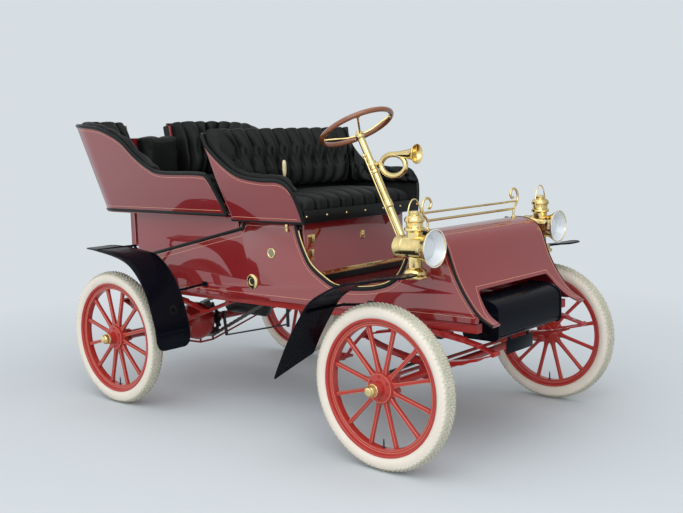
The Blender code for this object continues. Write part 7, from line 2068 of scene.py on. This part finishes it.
@dataclass
class Controls:
    """Steering column and wheel, horn, dash rail and hand lever."""

    shop: Workshop
    datum: Datum
    x: float = -0.190
    tilt: float = math.radians(27.0)
    foot: Pair = (0.0978, 0.5694)
    wheel_centre: Pair = (0.545, 1.447)
    wheel_radius: float = 0.180
    rim: float = 0.0125
    rim_steps: int = 72
    column: tuple[Pair, ...] = (
        (0.0200, 0.0), (0.0175, 0.010), (0.0175, 0.555), (0.0200, 0.558), (0.0220, 0.562),
        (0.0220, 0.590), (0.0205, 0.594), (0.0190, 0.597), (0.0190, 0.733), (0.0210, 0.736),
        (0.0230, 0.740), (0.0230, 0.750), (0.0210, 0.755), (0.0175, 0.759), (0.0175, 0.9244))
    hub: tuple[Pair, ...] = (
        (0.0180, -0.0190), (0.0200, -0.0170), (0.0220, -0.0020), (0.0210, 0.0040),
        (0.0150, 0.0150), (0.0120, 0.0180), (0.0090, 0.0190), (0.0075, 0.0240))
    hub_drop: float = 0.040
    arm: tuple[Pair, ...] = ((0.012, 1.0), (0.060, 0.90), (0.120, 0.45), (0.178, 0.05))
    clamp: tuple[Pair, ...] = (
        (0.0181, -0.010), (0.0240, -0.010), (0.0246, -0.008), (0.0246, 0.008), (0.0240, 0.010),
        (0.0181, 0.010))
    bell_start: Triple = (0.0, -0.205, -0.130)
    bell_line: tuple[Pair, ...] = (
        (0.010, 0.0), (0.0128, 0.040), (0.0190, 0.085), (0.0290, 0.132), (0.0385, 0.146),
        (0.0455, 0.152))
    bell_mouth: tuple[Pair, ...] = (
        (0.0462, 0.1535), (0.0450, 0.1548), (0.0380, 0.1500), (0.0270, 0.1370), (0.0160, 0.0900))
    coil_middle: Triple = (0.0, -0.220, -0.181)
    coil_half: Pair = (0.072, 0.050)
    stem_end: Triple = (0.0, -0.150, -0.169)
    dash_station: float = 0.008
    dash_post: float = 0.363
    dash_foot: float = 0.9889
    scroll: tuple[Pair, ...] = (
        (0.0, 0.390), (0.0, 0.430), (0.030, 0.460), (0.038, 0.495), (0.018, 0.525),
        (-0.012, 0.527), (-0.030, 0.506), (-0.020, 0.484), (-0.002, 0.488))
    lever: Pair = (-0.4345, 0.800)
    lever_foot: float = 1.0093

    def up(self) -> Vector:
        """Give the column's direction."""
        return Vector((0.0, math.sin(self.tilt), math.cos(self.tilt)))

    def ahead(self) -> Vector:
        """Give the direction square to the column that faces ahead."""
        return Vector((0.0, -math.cos(self.tilt), math.sin(self.tilt)))

    def on_column(self, reach: float, aside: float = 0.0, ahead: float = 0.0) -> Vector:
        """Find a point by its reach up the column."""
        foot = self.datum.at(self.x + aside, *self.foot)
        return foot + self.up() * reach + self.ahead() * ahead

    def build(self) -> None:
        """Build every control."""
        self.build_column()
        self.build_wheel()
        self.build_horn()
        self.build_dash_rail()
        self.build_lever()

    def build_column(self) -> None:
        """Build the brass column, its side rod and its gear box."""
        at = self.datum.at
        up = self.up()
        shapes = [spun(self.column, self.on_column(0.0), up, 32)]
        shapes.append(tube([self.on_column(0.285, -0.034), self.on_column(0.835, -0.034)], 0.0040, 10))
        shapes.append(spun([(0.0045, 0.0), (0.0075, 0.004), (0.0075, 0.012), (0.0040, 0.016)],
                           self.on_column(0.825, -0.034), up, 16))
        for reach in (0.305, 0.815):
            shapes.append(tube([self.on_column(reach, -0.034), self.on_column(reach, -0.012)], 0.0060, 10))
        shop = self.shop
        shop.add("column_brasswork", joined(shapes), shop.finish.brass, Slot.BRASS, "root",
                 ["steering_column"], 30.0)
        box = [block(at(self.x - 0.034, 0.040, 0.470), at(self.x + 0.034, 0.1214, 0.586), 0.008),
               block(at(self.x - 0.012, 0.100, 0.566), at(self.x + 0.012, 0.1497, 0.592), 0.003),
               tube([at(self.x, 0.110, 0.500), at(self.x, 0.142, 0.500)], 0.009, 14)]
        shop.add("steering_box", joined(box), shop.finish.iron, Slot.IRON)

    def build_wheel(self) -> None:
        """Build the steering wheel: a wooden rim on four brass arms."""
        centre = self.datum.at(self.x, *self.wheel_centre)
        up = self.up()
        aside = X_AXIS
        ahead = self.ahead()
        ring = []
        for i in range(self.rim_steps):
            turn = 2 * math.pi * i / self.rim_steps
            ring.append(centre + (aside * math.cos(turn) + ahead * math.sin(turn)) * self.wheel_radius)
        shop = self.shop
        rim = swept(ring, round_section(self.rim, 20), up=up, closed=True)
        shop.add("steering_wheel_rim", rim, shop.finish.wood, Slot.WOOD, "steering_wheel",
                 ["steering_wheel"], 60.0)
        shapes = [spun(self.hub, centre - up * self.hub_drop, up, 32)]
        for i in range(4):
            angle = math.radians(45.0 + 90.0 * i)
            out = aside * math.cos(angle) + ahead * math.sin(angle)
            arm = smooth_line([centre + out * reach - up * (self.hub_drop * drop)
                               for reach, drop in self.arm], 6)
            shapes.append(tube(arm, 0.0048, 10))
            foot = centre + out * 0.1675 - up * 0.0085
            shapes.append(stud(foot, -up, 0.011, 0.006))
        shop.add("steering_wheel_arms", joined(shapes), shop.finish.brass, Slot.BRASS,
                 "steering_wheel", (), 40.0)

    def build_horn(self) -> None:
        """Build the bulbless brass horn: clamp, stem, coiled tube and bell."""
        up = self.up()
        centre = self.datum.at(self.x, *self.wheel_centre)
        clamp = self.on_column(0.785)
        shapes = [spun(self.clamp, clamp, up, 32, ring=True)]
        start = centre + Vector(self.bell_start)
        stem_end = centre + Vector(self.stem_end)
        stem = smooth_line([clamp - Y_AXIS * 0.021, stem_end + Y_AXIS * 0.012, stem_end], 5)
        shapes.append(tube(stem, 0.0078, 12))
        bell = smooth_line([(radius, reach, 0.0) for radius, reach in self.bell_line], 4)
        profile = [(point.x, point.y) for point in bell] + list(self.bell_mouth)
        shapes.append(spun(profile, start, -Y_AXIS, 40))
        coil = [centre + Vector(self.coil_middle) + Vector((0.0, along, rise))
                for along, rise in self.coil_line()]
        shapes.append(tube(coil, 0.0125, 14, closed=True))
        shapes.append(tube([start + Y_AXIS * 0.012, start - Y_AXIS * 0.010], 0.0115, 14))
        self.shop.add("horn_brasswork", joined(shapes), self.shop.finish.brass, Slot.BRASS, "root",
                      ["horn"], 35.0)

    def coil_line(self) -> list[Pair]:
        """Give the oval of the horn's coil: distance along the car and height."""
        half_along, half_rise = self.coil_half
        turns = [2 * math.pi * i / 40 for i in range(40)]
        return [(half_along * math.cos(turn), half_rise * math.sin(turn)) for turn in turns]

    def build_dash_rail(self) -> None:
        """Build the two-bar brass rail on the dash, with scrolled ends."""
        at = self.datum.at
        station = self.dash_station
        shapes = []
        for side in (RIGHT, LEFT):
            scroll = [at(side * (self.dash_post + out), station, self.datum.rail_top + rise)
                      for out, rise in self.scroll]
            shapes.append(tube(smooth_line(scroll, 5), 0.0055, 12))
            shapes.append(spun([(0.0135, 0.0), (0.0135, 0.004), (0.0110, 0.006), (0.0070, 0.008),
                                (0.0060, 0.012)], at(side * self.dash_post, station, self.dash_foot),
                               Z_AXIS, 24))
        shapes.append(tube([at(-0.366, station, 1.030), at(0.366, station, 1.030)], 0.0062, 12))
        shapes.append(tube([at(-0.390, station, 1.066), at(0.390, station, 1.066)], 0.0052, 12))
        self.shop.add("dash_rail_brasswork", joined(shapes), self.shop.finish.brass, Slot.BRASS, "root",
                      ["dash_rail"], 40.0)

    def build_lever(self) -> None:
        """Build the hand lever with its ivory grip."""
        at = self.datum.at
        x, station = self.lever
        foot = self.lever_foot
        stem = [tube([at(x, station, foot), at(x, station, 1.230)], 0.0050, 12),
                block(at(x - 0.008, station - 0.015, foot), at(x + 0.008, station + 0.015, foot + 0.006),
                      0.001)]
        self.shop.add("hand_lever_stem", joined(stem), self.shop.finish.brass, Slot.BRASS, "root",
                      ["hand_lever"], 40.0)
        grip = spun([(0.0060, -0.015), (0.0085, -0.006), (0.0095, 0.010), (0.0100, 0.034), (0.0092, 0.050),
                     (0.0065, 0.057), (0.0030, 0.060)], at(x, station, 1.240), Z_AXIS, 24)
        self.shop.add("hand_lever_grip", grip, self.shop.finish.ivory)


# Stage


@dataclass
class PhotoCamera:
    """The camera that stands where the photographer stood."""

    place: Triple = (-3.7926, -3.5081, 1.4061)
    yaw: float = math.radians(49.014)
    pitch: float = math.radians(-7.089)
    roll: float = math.radians(-1.494)
    lens: float = 50.91
    sensor: float = 36.0

    def build(self) -> None:
        """Add the camera and make it the scene's own."""
        ahead = Vector((math.sin(self.yaw) * math.cos(self.pitch),
                        math.cos(self.yaw) * math.cos(self.pitch),
                        math.sin(self.pitch)))
        level = Vector((math.cos(self.yaw), -math.sin(self.yaw), 0.0))
        rise = level.cross(ahead)
        right = level * math.cos(self.roll) + rise * math.sin(self.roll)
        up = rise * math.cos(self.roll) - level * math.sin(self.roll)
        turn = Matrix((right, up, -ahead)).transposed().to_4x4()
        data = bpy.data.cameras.new("photo_camera")
        data.lens = self.lens
        data.sensor_width = self.sensor
        camera = bpy.data.objects.new("photo_camera", data)
        camera.matrix_world = Matrix.Translation(Vector(self.place)) @ turn
        bpy.context.scene.collection.objects.link(camera)
        bpy.context.scene.camera = camera


@dataclass
class Stage:
    """A pale seamless floor, a soft sky and two wide lamps."""

    floor_colour: Triple = (0.60, 0.640, 0.665)
    sky_colour: Triple = (0.95, 0.98, 1.0)
    bright_side: float = 1.25
    dim_side: float = 0.55
    sky_reach: float = 0.8
    seen: Triple = (0.680, 0.730, 0.765)
    half: float = 26.0
    melt: Pair = (1.9, 4.2)
    glow: float = 1.45
    glow_fall: float = 0.85
    glow_reach: float = 2.5
    aim: Triple = (0.0, 0.0, 0.7)
    lamps: tuple[tuple[str, Triple, float, float], ...] = (
        ("key_light", (-4.2, -3.6, 4.4), 130.0, 5.0), ("top_light", (-0.6, -0.4, 5.6), 45.0, 5.0))

    def build(self) -> None:
        """Build the floor, the sky and the lamps."""
        self.build_floor()
        self.build_sky()
        for name, place, power, size in self.lamps:
            self.build_lamp(name, Vector(place), power, size)

    def build_floor(self) -> None:
        """Build a round floor whose far part melts into the backdrop's colour and glows in reflections: a
        painted reflection.
        """
        shape = bmesh.new()
        bmesh.ops.create_circle(shape, cap_ends=True, segments=96, radius=self.half)
        data = bpy.data.meshes.new("floor")
        shape.to_mesh(data)
        shape.free()
        floor = bpy.data.objects.new("floor", data)
        bpy.context.scene.collection.objects.link(floor)
        graph = ShaderGraph("floor_paper")
        cloud = graph.noise(0.35)
        here = graph.value("ShaderNodeTexCoord", {}, {}, "Object")
        reach = graph.value("ShaderNodeVectorMath", {"operation": "LENGTH"}, {0: here}, 1)
        near = graph.blend(cloud, shade(self.floor_colour, 0.985), self.floor_colour)
        graph.surface({"Base Color": near, "Roughness": 0.85, "Specular IOR Level": 0.2})
        camera_ray = graph.value("ShaderNodeLightPath", {}, {}, "Is Camera Ray")
        glossy_ray = graph.value("ShaderNodeLightPath", {}, {}, "Is Glossy Ray")
        across = graph.value("ShaderNodeSeparateXYZ", {}, {0: here}, "X")
        # Glossy rays see the far floor glow, brighter towards -x: painted reflection, light that no lamp
        # gives.
        share = graph.band(across, -self.glow_reach, self.glow_reach)
        painted_reflection_glow = self.glow - share * self.glow_fall
        strength = camera_ray + glossy_ray * painted_reflection_glow
        glow = graph.node("ShaderNodeEmission", {}, {"Color": (*self.seen, 1.0), "Strength": strength})
        seen_rays = camera_ray + glossy_ray
        far = graph.band(reach, *self.melt)
        mix = graph.node("ShaderNodeMixShader", {}, {0: far * seen_rays})
        output = graph.tree.nodes["Material Output"]
        graph.tree.links.new(graph.shader.outputs[0], mix.inputs[1])
        graph.tree.links.new(glow.outputs[0], mix.inputs[2])
        graph.tree.links.new(mix.outputs[0], output.inputs[0])
        data.materials.append(graph.material)

    def build_sky(self) -> None:
        """Light the scene softly, and show the backdrop's colour to the camera."""
        world = bpy.data.worlds.new("studio")
        world.use_nodes = True
        bpy.context.scene.world = world
        tree = world.node_tree
        light = tree.nodes["Background"]
        light.inputs["Color"].default_value = (*self.sky_colour, 1.0)
        here = tree.nodes.new("ShaderNodeTexCoord")
        split = tree.nodes.new("ShaderNodeSeparateXYZ")
        level = tree.nodes.new("ShaderNodeMapRange")
        level.inputs["From Min"].default_value = -self.sky_reach
        level.inputs["From Max"].default_value = self.sky_reach
        level.inputs["To Min"].default_value = self.bright_side
        level.inputs["To Max"].default_value = self.dim_side
        tree.links.new(here.outputs["Generated"], split.inputs[0])
        tree.links.new(split.outputs["X"], level.inputs["Value"])
        tree.links.new(level.outputs["Result"], light.inputs["Strength"])
        shown = tree.nodes.new("ShaderNodeBackground")
        shown.inputs["Color"].default_value = (*self.seen, 1.0)
        ray = tree.nodes.new("ShaderNodeLightPath")
        mix = tree.nodes.new("ShaderNodeMixShader")
        tree.links.new(ray.outputs["Is Camera Ray"], mix.inputs[0])
        tree.links.new(light.outputs[0], mix.inputs[1])
        tree.links.new(shown.outputs[0], mix.inputs[2])
        tree.links.new(mix.outputs[0], tree.nodes["World Output"].inputs[0])

    def build_lamp(self, name: str, place: Vector, power: float, size: float) -> None:
        """Add one wide lamp that faces the car's middle."""
        data = bpy.data.lights.new(name, "AREA")
        data.energy = power
        data.size = size
        lamp = bpy.data.objects.new(name, data)
        lamp.location = place
        lamp.rotation_euler = (Vector(self.aim) - place).to_track_quat("-Z", "Y").to_euler()
        bpy.context.scene.collection.objects.link(lamp)


def main() -> None:
    """Build the car's looks, piece by piece."""
    logging.basicConfig(level=logging.INFO, format="%(message)s")
    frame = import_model()
    bpy.context.scene.view_settings.view_transform = "Standard"
    shop = Workshop(frame)
    datum = Datum.from_frame()
    upholstery = Upholstery(shop)
    LowerBody(shop, datum).build()
    Fenders(shop, datum).build()
    Chassis(shop, datum).build()
    Wheels(shop, datum).build()
    Lamp(shop, datum).build()
    Controls(shop, datum).build()
    FrontSeat(shop, datum).build(upholstery)
    Tonneau(shop, datum).build(upholstery)
    Stage().build()
    PhotoCamera().build()


if __name__ == "__main__":
    main()
